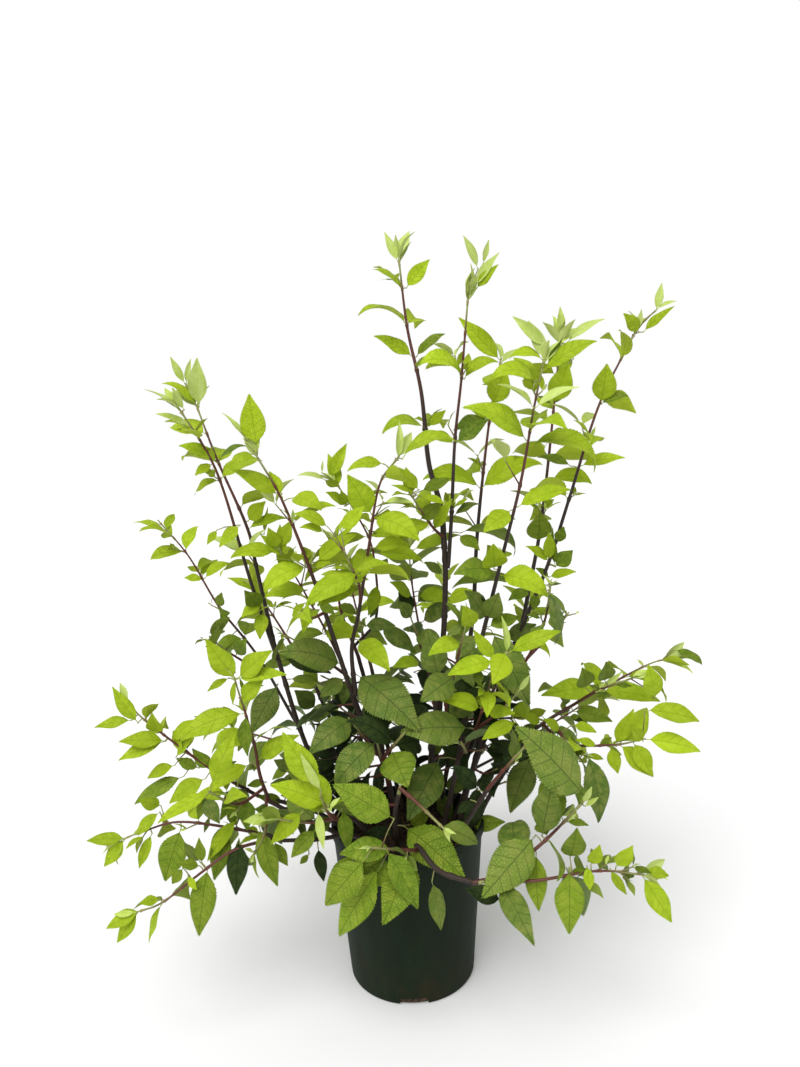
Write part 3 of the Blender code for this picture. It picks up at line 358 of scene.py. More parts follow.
LIMBS = [Limb(name, seat, in_metres(way), foot_radius / 1000, tip_radius / 1000)
         for name, seat, foot_radius, tip_radius, *way in LIMB_ROWS]
SPRAYS = [Spray(name, seat, in_metres(way), habit, pairs, phase, leaf / 1000, tone)
          for name, seat, habit, pairs, phase, leaf, tone, *way in SPRAY_ROWS]

# Which way a shown leaf faces: towards the camera, up, and to one side
FACES = {
    "front": (0.0, -0.95, 0.25),
    "raised": (0.0, -0.80, 0.50),
    "tilted": (0.0, -0.70, 0.70),
    "flat": (0.0, -0.45, 0.90),
    "left": (-0.35, -0.85, 0.35),
    "right": (0.40, -0.80, 0.40),
    "edge_left": (-0.70, -0.50, 0.30),
    "edge_right": (0.75, -0.55, 0.30),
}

# Leaves that can be told apart. A row holds base and tip, each across and down in the picture, how many
# millimetres nearer the tip is, the way the leaf faces, its breadth in hundredths of its length, its bend in
# degrees and its tone. A leaf is as far back as the stem that its base is seen on, or as a last value says
# in millimetres
# Rows of the shade tone are leaves coloured near-black, painted shade in the dark of the bush
SHOWN_ROWS = (
    # in front of the pot
    (386, 849, 418, 910, 17, "right", 40, 34, "fresh"), (366, 858, 325, 906, 2, "raised", 48, 40, "fresh"),
    (381, 866, 339, 937, -6, "left", 36, 30, "fresh", -146), (432, 881, 441, 931, 7, "right", 36, 24, "deep"),
    (500, 881, 535, 947, 62, "raised", 34, 34, "deep"), (536, 852, 539, 912, 18, "left", 40, 30, "fresh"),
    (569, 868, 569, 935, 7, "front", 42, 24, "fresh"), (536, 835, 481, 899, 30, "raised", 46, 36, "deep"),
    (427, 825, 479, 870, 21, "tilted", 52, 40, "deep"),
    (404, 826, 466, 880, 59, "tilted", 44, 40, "fresh", -69),
    (470, 826, 506, 822, 4, "tilted", 44, 30, "fresh"), (502, 900, 464, 889, 0, "tilted", 44, 20, "shade"),
    # low in the bush
    (356, 674, 421, 733, 59, "tilted", 46, 44, "deep"), (354, 719, 309, 755, 32, "tilted", 49, 62, "deep"),
    (342, 665, 277, 653, 24, "tilted", 49, 70, "deep"), (455, 676, 420, 702, 30, "raised", 60, 24, "deep"),
    (470, 728, 399, 733, 18, "tilted", 50, 40, "deep"), (391, 750, 408, 788, 40, "raised", 78, 30, "fresh"),
    (440, 758, 407, 822, 54, "raised", 46, 30, "deep", -16),
    (358, 640, 390, 672, 30, "tilted", 47, 62, "lime"), (420, 662, 392, 668, 24, "tilted", 46, 46, "lime"),
    (461, 642, 428, 656, 16, "tilted", 47, 70, "lime"), (278, 684, 251, 735, 30, "raised", 46, 30, "deep"),
    (380, 625, 416, 654, 20, "tilted", 40, 40, "deep"), (364, 626, 396, 626, 0, "tilted", 48, 40, "deep"),
    (284, 659, 332, 674, 0, "tilted", 34, 40, "shade"), (290, 679, 319, 682, 10, "flat", 42, 30, "fresh"),
    (439, 756, 430, 735, 10, "raised", 56, 20, "fresh"), (443, 787, 474, 779, 10, "tilted", 56, 30, "deep"),
    (440, 791, 450, 823, 6, "raised", 48, 24, "deep"), (471, 800, 457, 814, 4, "raised", 50, 20, "shade"),
    (409, 825, 431, 813, 4, "raised", 56, 20, "fresh"), (395, 832, 362, 834, 4, "tilted", 36, 30, "shade"),
    # on the right
    (516, 722, 482, 740, 6, "tilted", 44, 40, "lime", -90), (541, 723, 521, 716, 4, "tilted", 54, 40, "lime"),
    (560, 731, 543, 719, 4, "tilted", 56, 30, "lime"), (585, 797, 513, 725, 9, "right", 46, 26, "deep"),
    (587, 753, 598, 824, 14, "right", 40, 40, "deep", -56), (542, 836, 554, 778, 6, "left", 46, 20, "deep"),
    (532, 754, 510, 814, 20, "left", 44, 30, "deep", 0), (491, 630, 530, 707, 14, "front", 38, 30, "deep"),
    (546, 590, 553, 646, 7, "edge_right", 40, 70, "deep"),
    (509, 652, 562, 631, 10, "tilted", 34, 30, "lime", -100),
    (494, 661, 447, 676, 14, "tilted", 42, 40, "lime"), (495, 660, 473, 629, -4, "left", 36, 24, "lime"),
    (506, 652, 492, 685, 40, "front", 50, 30, "lime", -100),
    (507, 654, 501, 615, 2, "right", 26, 16, "tip", -100), (488, 690, 487, 718, 30, "raised", 46, 40, "lime"),
    (481, 708, 440, 701, 10, "tilted", 42, 62, "lime"), (486, 712, 516, 714, 16, "tilted", 46, 40, "lime"),
    (597, 689, 540, 696, 10, "tilted", 36, 40, "lime", 29),
    (601, 690, 661, 702, 20, "tilted", 38, 40, "lime", 30), (615, 744, 634, 708, 6, "front", 38, 20, "lime"),
    (610, 747, 618, 774, 10, "front", 50, 30, "lime"),
    (573, 711, 613, 722, 16, "tilted", 44, 40, "fresh", 23),
    (586, 688, 582, 667, 30, "front", 50, 20, "fresh"), (605, 681, 606, 661, 30, "front", 50, 20, "fresh"),
    (601, 689, 623, 671, 0, "front", 24, 14, "tip"), (615, 685, 632, 686, 0, "tilted", 40, 30, "fresh"),
    (655, 699, 648, 664, 10, "front", 52, 20, "lime"), (644, 666, 637, 659, 0, "front", 34, 20, "tip"),
    (645, 710, 700, 722, 0, "tilted", 38, 40, "lime"), (645, 739, 701, 752, 0, "tilted", 36, 40, "lime"),
    (633, 742, 652, 776, 10, "front", 50, 20, "lime"), (643, 741, 630, 725, 10, "front", 48, 20, "lime"),
    (573, 725, 597, 733, 10, "tilted", 48, 40, "lime"), (597, 746, 575, 740, 0, "tilted", 42, 40, "lime"),
    (568, 716, 588, 723, 0, "tilted", 34, 30, "shade"), (599, 746, 612, 737, 0, "front", 50, 20, "fresh"),
    (674, 650, 702, 666, 0, "tilted", 30, 75, "fresh"), (570, 858, 577, 827, 20, "front", 54, 20, "fresh"),
    (591, 865, 600, 844, 10, "front", 50, 20, "lime"), (587, 866, 590, 891, 10, "front", 50, 20, "lime"),
    (616, 867, 633, 845, 10, "front", 52, 20, "lime"), (610, 869, 627, 895, 0, "left", 28, 20, "lime"),
    (645, 871, 669, 876, 0, "tilted", 50, 40, "lime"), (642, 875, 672, 923, 0, "front", 34, 20, "lime"),
    (583, 803, 592, 786, 4, "front", 34, 14, "tip", -133),
    (585, 806, 599, 797, 6, "raised", 34, 20, "tip", -133),
    (478, 668, 479, 686, 10, "front", 60, 20, "fresh", -100),
    # at the front left
    (320, 787, 282, 731, -6, "left", 42, 18, "lime"), (321, 791, 300, 752, 4, "front", 22, 16, "tip"),
    (328, 804, 269, 785, 10, "tilted", 42, 34, "lime"), (318, 811, 324, 850, 22, "front", 26, 24, "tip"),
    (394, 819, 332, 784, 4, "raised", 46, 40, "fresh", -150),
    (303, 811, 271, 844, 12, "raised", 40, 30, "lime", -133),
    (342, 809, 348, 852, 14, "right", 38, 30, "fresh"), (316, 829, 291, 858, 10, "raised", 46, 30, "fresh"),
    (309, 854, 300, 864, 0, "front", 50, 30, "fresh"), (318, 847, 324, 882, 0, "front", 34, 20, "shade"),
    (283, 803, 257, 797, 10, "tilted", 42, 40, "fresh"), (292, 782, 270, 784, 0, "tilted", 42, 30, "deep"),
    (290, 766, 272, 780, 0, "tilted", 42, 30, "fresh"), (266, 782, 247, 786, 0, "tilted", 46, 30, "fresh"),
    # on the left
    (205, 578, 232, 564, 0, "tilted", 38, 75, "lime"), (203, 580, 184, 578, 0, "tilted", 50, 40, "lime"),
    (219, 607, 222, 592, 15, "front", 50, 20, "fresh"), (261, 607, 244, 590, 30, "front", 50, 20, "fresh"),
    (261, 604, 241, 618, 20, "tilted", 50, 40, "lime"), (263, 612, 260, 640, 20, "front", 50, 30, "lime"),
    (236, 679, 205, 638, 10, "front", 44, 20, "lime"), (237, 679, 288, 675, 10, "tilted", 30, 40, "lime"),
    (238, 678, 273, 650, 10, "raised", 44, 30, "lime"), (241, 700, 265, 677, 10, "front", 46, 30, "lime"),
    (229, 678, 207, 692, 10, "tilted", 36, 30, "lime"), (233, 634, 220, 652, 20, "raised", 50, 40, "fresh"),
    (236, 655, 247, 638, 20, "front", 50, 30, "fresh"), (212, 459, 178, 446, 10, "tilted", 42, 60, "lime"),
    (212, 464, 195, 476, 10, "raised", 52, 50, "lime"), (219, 460, 248, 447, 0, "flat", 36, 75, "fresh"),
    (254, 454, 230, 466, 10, "tilted", 53, 62, "lime"), (279, 496, 231, 470, 10, "tilted", 36, 40, "lime"),
    (282, 494, 269, 471, 0, "front", 50, 20, "lime"), (292, 498, 322, 511, 20, "tilted", 53, 75, "lime"),
    (248, 521, 266, 501, 10, "front", 54, 40, "lime"), (248, 529, 288, 519, 0, "tilted", 30, 62, "lime"),
    (240, 525, 219, 548, 10, "raised", 44, 30, "lime"), (217, 530, 207, 545, 10, "front", 45, 30, "lime"),
    (276, 553, 230, 559, 10, "tilted", 38, 75, "lime"), (278, 549, 268, 527, 10, "front", 54, 20, "lime"),
    (280, 548, 291, 520, 0, "front", 50, 20, "lime"), (264, 534, 268, 506, 0, "front", 18, 10, "tip"),
    (138, 723, 112, 686, 0, "front", 32, 20, "lime"), (132, 720, 94, 728, 0, "tilted", 30, 30, "lime"),
    (158, 733, 152, 712, 20, "front", 50, 20, "lime"), (166, 741, 118, 742, 10, "tilted", 38, 30, "lime"),
    (165, 741, 118, 761, 10, "tilted", 32, 30, "lime"), (246, 713, 180, 742, 10, "tilted", 32, 75, "lime"),
    (173, 741, 198, 719, 0, "tilted", 42, 40, "lime"), (176, 757, 195, 735, 0, "tilted", 28, 30, "lime"),
    (211, 786, 236, 729, 0, "front", 32, 20, "lime"), (250, 764, 207, 791, 10, "tilted", 36, 40, "lime"),
    (206, 778, 169, 804, 10, "tilted", 44, 40, "lime"), (212, 792, 157, 824, 10, "tilted", 24, 40, "lime"),
    (213, 768, 192, 748, 0, "left", 50, 30, "fresh"), (199, 768, 176, 758, 0, "left", 50, 30, "fresh"),
    (175, 765, 147, 779, 0, "tilted", 40, 40, "lime"), (184, 776, 134, 805, 0, "tilted", 28, 40, "fresh"),
    (235, 680, 233, 705, 0, "left", 28, 20, "lime"), (246, 714, 248, 757, 10, "left", 38, 20, "fresh"),
    (258, 760, 300, 735, 0, "tilted", 40, 40, "lime"), (216, 775, 237, 761, 0, "tilted", 44, 30, "fresh"),
    (161, 806, 138, 799, 20, "front", 48, 20, "lime"), (160, 812, 138, 836, 0, "tilted", 36, 62, "lime"),
    (126, 838, 86, 841, 0, "tilted", 34, 20, "lime"), (125, 839, 104, 867, 0, "front", 38, 20, "lime"),
    (152, 833, 139, 869, 0, "front", 28, 20, "lime"), (181, 828, 165, 882, 10, "front", 52, 20, "fresh"),
    (200, 866, 177, 864, 10, "tilted", 50, 30, "fresh"), (183, 868, 172, 884, 0, "front", 54, 20, "fresh"),
    (202, 863, 199, 837, 0, "front", 40, 20, "fresh"), (200, 862, 184, 842, -10, "left", 50, 20, "deep"),
    (208, 866, 199, 937, 10, "front", 36, 24, "fresh"), (188, 876, 197, 890, 10, "front", 50, 20, "lime"),
    (160, 899, 139, 904, 10, "tilted", 54, 30, "lime"), (141, 910, 106, 929, 0, "tilted", 36, 30, "lime"),
    (138, 912, 117, 943, 0, "front", 34, 20, "lime"), (162, 903, 149, 945, 0, "edge_left", 26, 20, "lime"),
    (228, 828, 214, 881, 10, "front", 38, 20, "fresh"), (238, 818, 207, 862, 10, "left", 30, 20, "lime"),
    (239, 839, 236, 896, 10, "front", 38, 14, "shade"), (205, 797, 198, 820, 0, "front", 36, 20, "fresh"),
    (204, 797, 220, 824, 10, "raised", 50, 20, "deep"), (210, 816, 204, 833, 0, "front", 28, 20, "deep"),
    (247, 797, 247, 831, 10, "front", 50, 20, "fresh"), (259, 826, 278, 887, 10, "front", 32, 30, "fresh"),
    (274, 841, 288, 866, 0, "front", 42, 30, "fresh"),
    # in the middle of the bush
    (316, 708, 294, 690, 10, "raised", 60, 30, "deep"), (345, 678, 320, 698, 10, "tilted", 56, 30, "deep"),
    (346, 682, 343, 705, 0, "front", 50, 20, "deep"), (414, 672, 442, 692, -20, "tilted", 60, 30, "shade"),
    (356, 734, 322, 748, 0, "tilted", 40, 40, "shade"), (470, 770, 440, 745, 0, "tilted", 50, 30, "shade"),
    (478, 790, 452, 765, 0, "tilted", 50, 30, "shade"), (414, 612, 398, 592, 0, "raised", 60, 30, "shade"),
    (423, 591, 450, 600, 10, "tilted", 50, 50, "lime"), (308, 567, 265, 594, 10, "tilted", 42, 100, "lime"),
    (307, 590, 264, 598, 20, "tilted", 42, 62, "lime"), (360, 573, 305, 608, 20, "tilted", 40, 62, "lime"),
    (305, 603, 292, 617, 10, "tilted", 44, 40, "lime"), (324, 632, 361, 638, 20, "tilted", 53, 62, "lime"),
    (377, 584, 368, 616, 10, "right", 40, 40, "lime"), (378, 604, 370, 618, 0, "front", 40, 30, "deep"),
    (339, 604, 357, 615, 10, "tilted", 54, 40, "fresh"), (319, 604, 335, 615, 10, "tilted", 54, 40, "fresh"),
    (339, 587, 360, 590, 10, "tilted", 50, 40, "fresh"), (315, 567, 331, 563, 10, "tilted", 54, 40, "lime"),
    (328, 527, 293, 514, 10, "tilted", 38, 62, "lime"), (324, 532, 299, 528, 10, "tilted", 40, 62, "lime"),
    (330, 478, 347, 443, 0, "front", 36, 16, "lime"), (325, 480, 297, 476, 10, "tilted", 25, 62, "tip"),
    (322, 473, 323, 460, 0, "front", 24, 10, "tip"), (345, 506, 325, 492, 10, "tilted", 48, 40, "lime"),
    (346, 506, 341, 490, 10, "front", 54, 20, "lime"), (372, 515, 347, 474, 10, "front", 54, 20, "lime"),
    (384, 464, 347, 472, 10, "tilted", 36, 75, "lime"), (341, 531, 365, 505, 0, "front", 42, 20, "lime"),
    (316, 562, 357, 534, 0, "raised", 38, 40, "lime"), (373, 548, 411, 546, 20, "tilted", 42, 40, "lime"),
    (376, 553, 423, 562, 10, "tilted", 38, 62, "lime"), (374, 517, 420, 542, 30, "tilted", 47, 62, "lime"),
    (418, 596, 451, 602, 10, "tilted", 45, 75, "lime"), (412, 597, 389, 582, 20, "tilted", 46, 40, "lime"),
    (422, 622, 457, 606, 10, "tilted", 47, 62, "deep"), (412, 618, 397, 601, 10, "raised", 56, 40, "deep"),
    (443, 575, 424, 562, -10, "tilted", 50, 40, "deep"), (450, 597, 468, 588, 0, "tilted", 46, 30, "lime"),
    (486, 619, 464, 590, 20, "tilted", 56, 30, "deep"), (487, 620, 499, 592, 10, "front", 64, 40, "deep"),
    (473, 627, 463, 605, 20, "front", 54, 30, "lime"), (488, 627, 520, 617, -10, "tilted", 50, 30, "fresh"),
    (476, 634, 455, 660, 10, "raised", 50, 30, "deep"), (505, 640, 537, 624, 0, "raised", 50, 30, "deep"),
    (486, 615, 480, 596, 6, "front", 60, 30, "shade"), (462, 625, 447, 636, 6, "raised", 56, 30, "deep"),
    # along the right canes
    (429, 426, 446, 410, 10, "front", 45, 24, "lime"), (398, 460, 399, 420, 0, "right", 24, 12, "tip"),
    (402, 459, 457, 443, 10, "flat", 40, 88, "lime"), (455, 444, 425, 433, -10, "tilted", 40, 40, "lime"),
    (456, 443, 489, 419, -10, "left", 40, 30, "fresh"), (527, 441, 461, 408, 20, "tilted", 38, 62, "lime"),
    (528, 447, 593, 474, 10, "flat", 38, 119, "lime"), (580, 466, 626, 458, 10, "tilted", 36, 30, "lime"),
    (551, 479, 592, 485, 10, "tilted", 45, 88, "lime"), (571, 466, 537, 458, -10, "tilted", 32, 62, "fresh"),
    (481, 489, 543, 465, 10, "tilted", 36, 88, "lime"), (480, 488, 422, 481, 10, "tilted", 32, 100, "lime"),
    (419, 490, 398, 467, 0, "front", 42, 16, "lime"), (417, 495, 390, 485, 0, "tilted", 24, 30, "lime"),
    (421, 491, 452, 478, -10, "right", 34, 30, "fresh"), (421, 496, 446, 505, 10, "tilted", 34, 40, "lime"),
    (433, 531, 453, 498, 10, "left", 36, 16, "lime"), (420, 520, 442, 502, 0, "right", 54, 30, "fresh"),
    (517, 507, 572, 490, 10, "tilted", 36, 46, "lime"), (511, 510, 483, 533, 20, "raised", 50, 40, "lime"),
    (454, 516, 481, 505, 0, "flat", 38, 75, "deep"), (460, 533, 513, 557, 0, "flat", 28, 125, "deep"),
    (538, 542, 540, 511, 20, "front", 70, 10, "fresh"), (557, 543, 564, 526, 10, "front", 60, 20, "fresh"),
    (549, 561, 525, 546, 10, "tilted", 40, 30, "lime"), (555, 567, 573, 550, 0, "front", 66, 20, "fresh"),
    (413, 550, 460, 535, 10, "tilted", 32, 40, "lime"), (459, 535, 480, 551, 20, "tilted", 50, 40, "fresh"),
    (494, 569, 493, 543, 30, "front", 66, 20, "lime"), (494, 571, 453, 575, 20, "tilted", 55, 62, "fresh"),
    (500, 575, 548, 598, 20, "tilted", 50, 80, "lime"), (549, 577, 577, 572, 10, "tilted", 40, 40, "lime"),
    (524, 585, 451, 590, -10, "flat", 28, 75, "fresh"), (530, 591, 508, 601, 10, "tilted", 47, 62, "fresh"),
    (546, 585, 562, 584, 0, "flat", 40, 30, "deep"), (536, 593, 533, 611, 10, "front", 62, 20, "fresh"),
    (413, 357, 373, 336, 0, "tilted", 42, 36, "lime"), (416, 357, 446, 334, 0, "tilted", 34, 60, "fresh"),
    (461, 378, 419, 368, 10, "tilted", 42, 130, "lime"), (464, 379, 499, 363, 10, "tilted", 40, 90, "lime"),
    (501, 361, 458, 317, 0, "left", 30, 30, "lime"), (493, 406, 506, 367, 10, "front", 60, 16, "lime"),
    (534, 381, 491, 382, 10, "tilted", 44, 120, "lime"), (543, 360, 509, 360, -4, "tilted", 36, 100, "lime"),
    (546, 361, 563, 337, 4, "edge_right", 26, 20, "fresh"), (545, 347, 512, 316, 0, "left", 32, 30, "tip"),
    (553, 404, 569, 363, 10, "front", 58, 16, "lime"), (552, 405, 537, 396, 4, "tilted", 40, 30, "fresh"),
    (554, 403, 566, 393, 4, "edge_right", 26, 20, "fresh"), (601, 404, 607, 363, 10, "front", 62, 16, "lime"),
    (601, 404, 629, 397, 4, "tilted", 42, 80, "fresh"), (490, 420, 453, 431, 0, "tilted", 50, 40, "fresh"),
    (549, 561, 549, 531, 10, "front", 40, 14, "lime"), (555, 566, 553, 527, 6, "edge_left", 26, 14, "fresh"),
    (549, 577, 535, 568, 0, "tilted", 54, 30, "fresh"),
    # at the tips of the canes
    (398, 262, 384, 231.5, 0, "front", 28, 14, "tip"), (401, 259, 412, 241, 0, "edge_left", 22, 14, "tip"),
    (406, 288, 430, 259, 6, "front", 44, 20, "lime"), (402, 289, 372, 270, 2, "flat", 45, 62, "lime"),
    (478, 269, 463, 235, 0, "front", 28, 26, "tip"), (483, 264, 489, 239, 4, "front", 30, 14, "tip"),
    (474, 288, 500, 252, 2, "left", 26, 20, "tip"), (476, 289, 499, 264, 8, "raised", 34, 24, "lime"),
    (656, 311, 662, 282, 0, "front", 30, 12, "tip"), (657, 309, 677, 301, 4, "tilted", 34, 20, "tip"),
    (643, 332, 675, 306, 6, "tilted", 28, 20, "lime"), (639, 332, 623, 313, 10, "left", 50, 40, "lime"),
    (561, 335, 560, 306, 0, "front", 34, 12, "tip"), (566, 343, 606, 319, 4, "tilted", 24, 40, "tip"),
    (543, 371, 598, 341, 16, "tilted", 40, 40, "lime"), (546, 360, 528, 320, 0, "front", 34, 16, "tip"),
    (185, 384, 170, 356, 0, "front", 26, 14, "tip", 40), (186, 384, 191, 358, -2, "front", 26, 12, "tip", 40),
    (199, 407, 197, 357, 6, "front", 40, 12, "tip"), (197, 406, 161, 384, 0, "flat", 36, 62, "lime"),
    (184, 410, 172, 387, 2, "front", 36, 14, "tip"), (190, 426, 155, 414, 6, "tilted", 26, 34, "tip"),
    (257, 447, 249, 393, 6, "front", 50, 12, "lime"), (246, 440, 221, 412, 0, "flat", 18, 24, "tip"),
    (246, 440, 243, 412, 4, "front", 30, 14, "tip"),
)
SHOWN = [Shown((across, down), (tip_across, tip_down), nearer / 1000, face, breadth / 100, bend, tone,
               back[0] / 1000 if back else None)
         for across, down, tip_across, tip_down, nearer, face, breadth, bend, tone, *back in SHOWN_ROWS]

# Places where the sky shows through or beside the crown: across and down in the picture, and how wide
OPEN_SKY = (
    (392, 372, 20), (435, 307, 20), (460, 280, 7), (505, 346, 7), (535, 355, 6), (582, 361, 9), (641, 343, 9),
    (642, 394, 11), (601, 432, 8), (483, 375, 6), (451, 401, 7), (391, 445, 6), (492, 458, 6), (502, 530, 5),
    (524, 515, 5), (599, 503, 18), (582, 595, 15), (652, 648, 14), (548, 670, 9), (211, 411, 10),
    (187, 485, 12), (208, 510, 16), (156, 512, 8), (266, 560, 8), (192, 619, 20), (281, 619, 9),
    (200, 660, 8), (108, 698, 7), (126, 818, 13), (97, 870, 8), (171, 914, 13), (164, 934, 12), (190, 832, 6),
    (222, 895, 9), (255, 890, 13), (287, 885, 9), (497, 805, 8), (521, 873, 8), (595, 838, 6), (607, 884, 8),
    (628, 905, 11), (640, 855, 6), (160, 684, 12), (574, 624, 9), (584, 634, 8), (568, 608, 4), (185, 648, 9),
    (119, 676, 5), (141, 686, 5), (578, 613, 6), (571, 636, 7), (567, 664, 8), (618, 658, 6), (671, 690, 5),
)

# How a pixel of the picture turns into a place
PICTURE = (800, 1067)
SENSOR_HEIGHT = 36.0
CAMERA_LENS = 27.03
CAMERA_PLACE = Vector((0.0045, -0.95, 0.67))
CAMERA_PITCH = math.radians(7)
CAMERA_ROLL = math.radians(2.2)


def camera_axes():
    """The camera's right, up and forward."""
    forward = Vector((0, math.cos(CAMERA_PITCH), -math.sin(CAMERA_PITCH)))
    level_up = Vector((0, math.sin(CAMERA_PITCH), math.cos(CAMERA_PITCH)))
    level_right = Vector((1, 0, 0))
    right = level_right * math.cos(CAMERA_ROLL) - level_up * math.sin(CAMERA_ROLL)
    up = level_up * math.cos(CAMERA_ROLL) + level_right * math.sin(CAMERA_ROLL)
    return right, up, forward


def sight_way(pixel):
    """The way from the camera to what it sees at a pixel of the picture."""
    right, up, forward = camera_axes()
    size = SENSOR_HEIGHT / (CAMERA_LENS * PICTURE[1])
    across, down = pixel[0] - PICTURE[0] / 2, pixel[1] - PICTURE[1] / 2
    return forward + right * across * size - up * down * size


def seen_place(pixel, depth):
    """The place at this depth that the camera sees at a pixel of the picture."""
    way = sight_way(pixel)
    return CAMERA_PLACE + way * ((depth - CAMERA_PLACE.y) / way.y)


# Paths of stems

def smooth_path(points, spacing):
    """Points along a smooth curve that passes the given ones, about one spacing apart."""
    ends = [points[0] * 2 - points[1]] + points + [points[-1] * 2 - points[-2]]
    fine = [points[0]]
    for before, start, end, after in zip(ends, ends[1:], ends[2:], ends[3:]):
        for step in range(1, FINE_STEPS + 1):
            t = step / FINE_STEPS
            curve = (2 * before - 5 * start + 4 * end - after) * t * t
            curve += (3 * start - before - 3 * end + after) * t ** 3
            fine.append((start * 2 + (end - before) * t + curve) * 0.5)
    length = path_length(fine)
    count = max(2, round(length / spacing))
    return [path_point(fine, length * step / count) for step in range(count + 1)]


def path_length(path):
    return sum((b - a).length for a, b in zip(path, path[1:]))


def path_point(path, distance):
    for a, b in zip(path, path[1:]):
        step = (b - a).length
        if distance <= step or b is path[-1]:
            return a.lerp(b, min(distance / step, 1.0))
        distance -= step


def stem_radius(path, radii, distance):
    """The radius of a stem at some distance along its path."""
    for index, (a, b) in enumerate(zip(path, path[1:])):
        step = (b - a).length
        if distance <= step:
            return radii[index] + (radii[index + 1] - radii[index]) * distance / step
        distance -= step
    return radii[-1]


def way_at(path, distance, reach):
    """The place at a distance along a path, and which way the path runs there."""
    ahead = path_point(path, min(distance + reach, path_length(path)))
    return path_point(path, distance), (ahead - path_point(path, distance - reach)).normalized()


def seat_foot(seat, first, stems):
    """Where a stem begins and which way its foot points: on the soil, or on the tip or side of a stem."""
    if seat[0] == "soil":
        return Vector((seat[1], seat[2], SOIL_TOP + GAP)), Vector((0, 0, 1))
    path, radii = stems[seat[1]]
    if seat[0] == "tip":
        along = (path[-1] - path[-2]).normalized()
        return path[-1] + along * GAP, along
    distance = path_length(path) * seat[2]
    here, along = way_at(path, distance, SEAT_REACH)
    if seat[0] == "spray":
        return here, None
    out = first - here
    out = (out - along * out.dot(along)).normalized()
    return here + out * (stem_radius(path, radii, distance) + GAP), out


def limb_path(limb, stems):
    """A limb's points and radii, with a flared foot that stands level on the soil."""
    start, lead = seat_foot(limb.seat, limb.way[0], stems)
    path = smooth_path([start] + limb.way, LIMB_RING_SPACING)
    count = len(path) - 1
    radii = [limb.foot_radius + (limb.tip_radius - limb.foot_radius) * i / count for i in range(count + 1)]
    path.insert(1, start + lead * FOOT_RISE)
    radii.insert(1, limb.foot_radius)
    if limb.seat[0] == "soil":
        radii[0] *= FLARE
    return path, radii


def stem_shell(path, radii):
    """An open tube round a path that leaves some room round the stem, to test what comes near."""
    verts = []
    for index, place in enumerate(path):
        along = (path[min(index + 1, len(path) - 1)] - path[max(index - 1, 0)]).normalized()
        across = along.orthogonal().normalized()
        other = along.cross(across)
        reach = radii[index] * SHELL_SPREAD + LIMB_CLEARANCE
        for side_index in range(LIMB_SIDES):
            angle = math.tau * side_index / LIMB_SIDES
            verts.append(place + (across * math.cos(angle) + other * math.sin(angle)) * reach)
    faces = []
    for ring in range(len(path) - 1):
        for side_index in range(LIMB_SIDES):
            a = ring * LIMB_SIDES + side_index
            b = ring * LIMB_SIDES + (side_index + 1) % LIMB_SIDES
            faces.append((a, b, b + LIMB_SIDES, a + LIMB_SIDES))
    return BVHTree.FromPolygons(verts, faces)


# Leaves as the solids have them

def leaf_midrib(length, bend, share):
    """A point of the midrib, which is an arc in the XZ plane, and the leaf's tilt there."""
    tilt = bend * share
    radius = length / bend
    return Vector((radius * math.sin(tilt), 0, radius * (math.cos(tilt) - 1))), tilt


def leaf_shape(length, width, bend, extra=0.0):
    """A pointed oval leaf along +X that bends down: six edge points above one keel point."""
    verts = [Vector((-extra, 0, 0))]
    ribs = [leaf_midrib(length, bend, share) for share, breadth in LEAF_SECTIONS]
    for (place, tilt), (share, breadth) in zip(ribs, LEAF_SECTIONS):
        half = width / 2 * breadth + extra
        raised = place + Vector((math.sin(tilt), 0, math.cos(tilt))) * extra
        verts += [raised + Vector((0, half, 0)), raised - Vector((0, half, 0))]
    verts.append(leaf_midrib(length, bend, 1.0)[0] + Vector((extra, 0, 0)))
    low = ribs[0][0].lerp(ribs[1][0], LEAF_KEEL)
    tilt = (ribs[0][1] + ribs[1][1]) / 2
    verts.append(low - Vector((math.sin(tilt), 0, math.cos(tilt))) * (length * LEAF_THICKNESS + extra))
    top = [(0, 2, 1), (1, 2, 4, 3), (3, 4, 5)]
    under = [(6, 0, 1), (6, 1, 3), (6, 3, 5), (6, 5, 4), (6, 4, 2), (6, 2, 0)]
    return verts, top + under


def leaf_matrix(place, along, azimuth, opening, flatten, roll):
    """The frame of a leaf: X runs out along it, Z is its upper side."""
    upright = abs(along.z) > UPRIGHT
    reference = Vector((1, 0, 0)) if upright else Vector((0, 0, 1))
    first = (reference - along * reference.dot(along)).normalized()
    second = along.cross(first)
    if upright:
        out = first * math.cos(azimuth) + second * math.sin(azimuth)
    else:
        out = second * math.cos(azimuth) + first * math.sin(azimuth) * flatten
    out.normalize()
    start = (out * math.sin(opening) + along * math.cos(opening)).normalized()
    fall = out * OUTWARD_FALL - Vector((0, 0, 1))
    fall = (fall - start * fall.dot(start)).normalized()
    fall = Matrix.Rotation(roll, 3, start) @ fall
    upper = -fall
    frame = Matrix((start, upper.cross(start), upper)).transposed().to_4x4()
    frame.translation = place
    return frame


def spray_nodes(spray, habit, length, rng):
    """How far along the stem its pairs of leaves stand, from the tip down."""
    nodes = []
    back = END_BUD
    for index in range(spray.pairs):
        if length - back > NODE_FOOT:
            nodes.append(length - back)
        gap = habit.first_gap if index == 0 else habit.gap
        if 0 < index <= len(FIRST_GAPS):
            gap *= FIRST_GAPS[index - 1]
        back += gap * rng.uniform(*GAP_VARIES)
    return nodes


def foot_width(spray, stems):
    """The radius at a spray's foot, which goes on from the tip that it sits on."""
    return stems[spray.seat[1]][1][-1] if spray.seat[0] == "tip" else HABITS[spray.habit].foot_radius


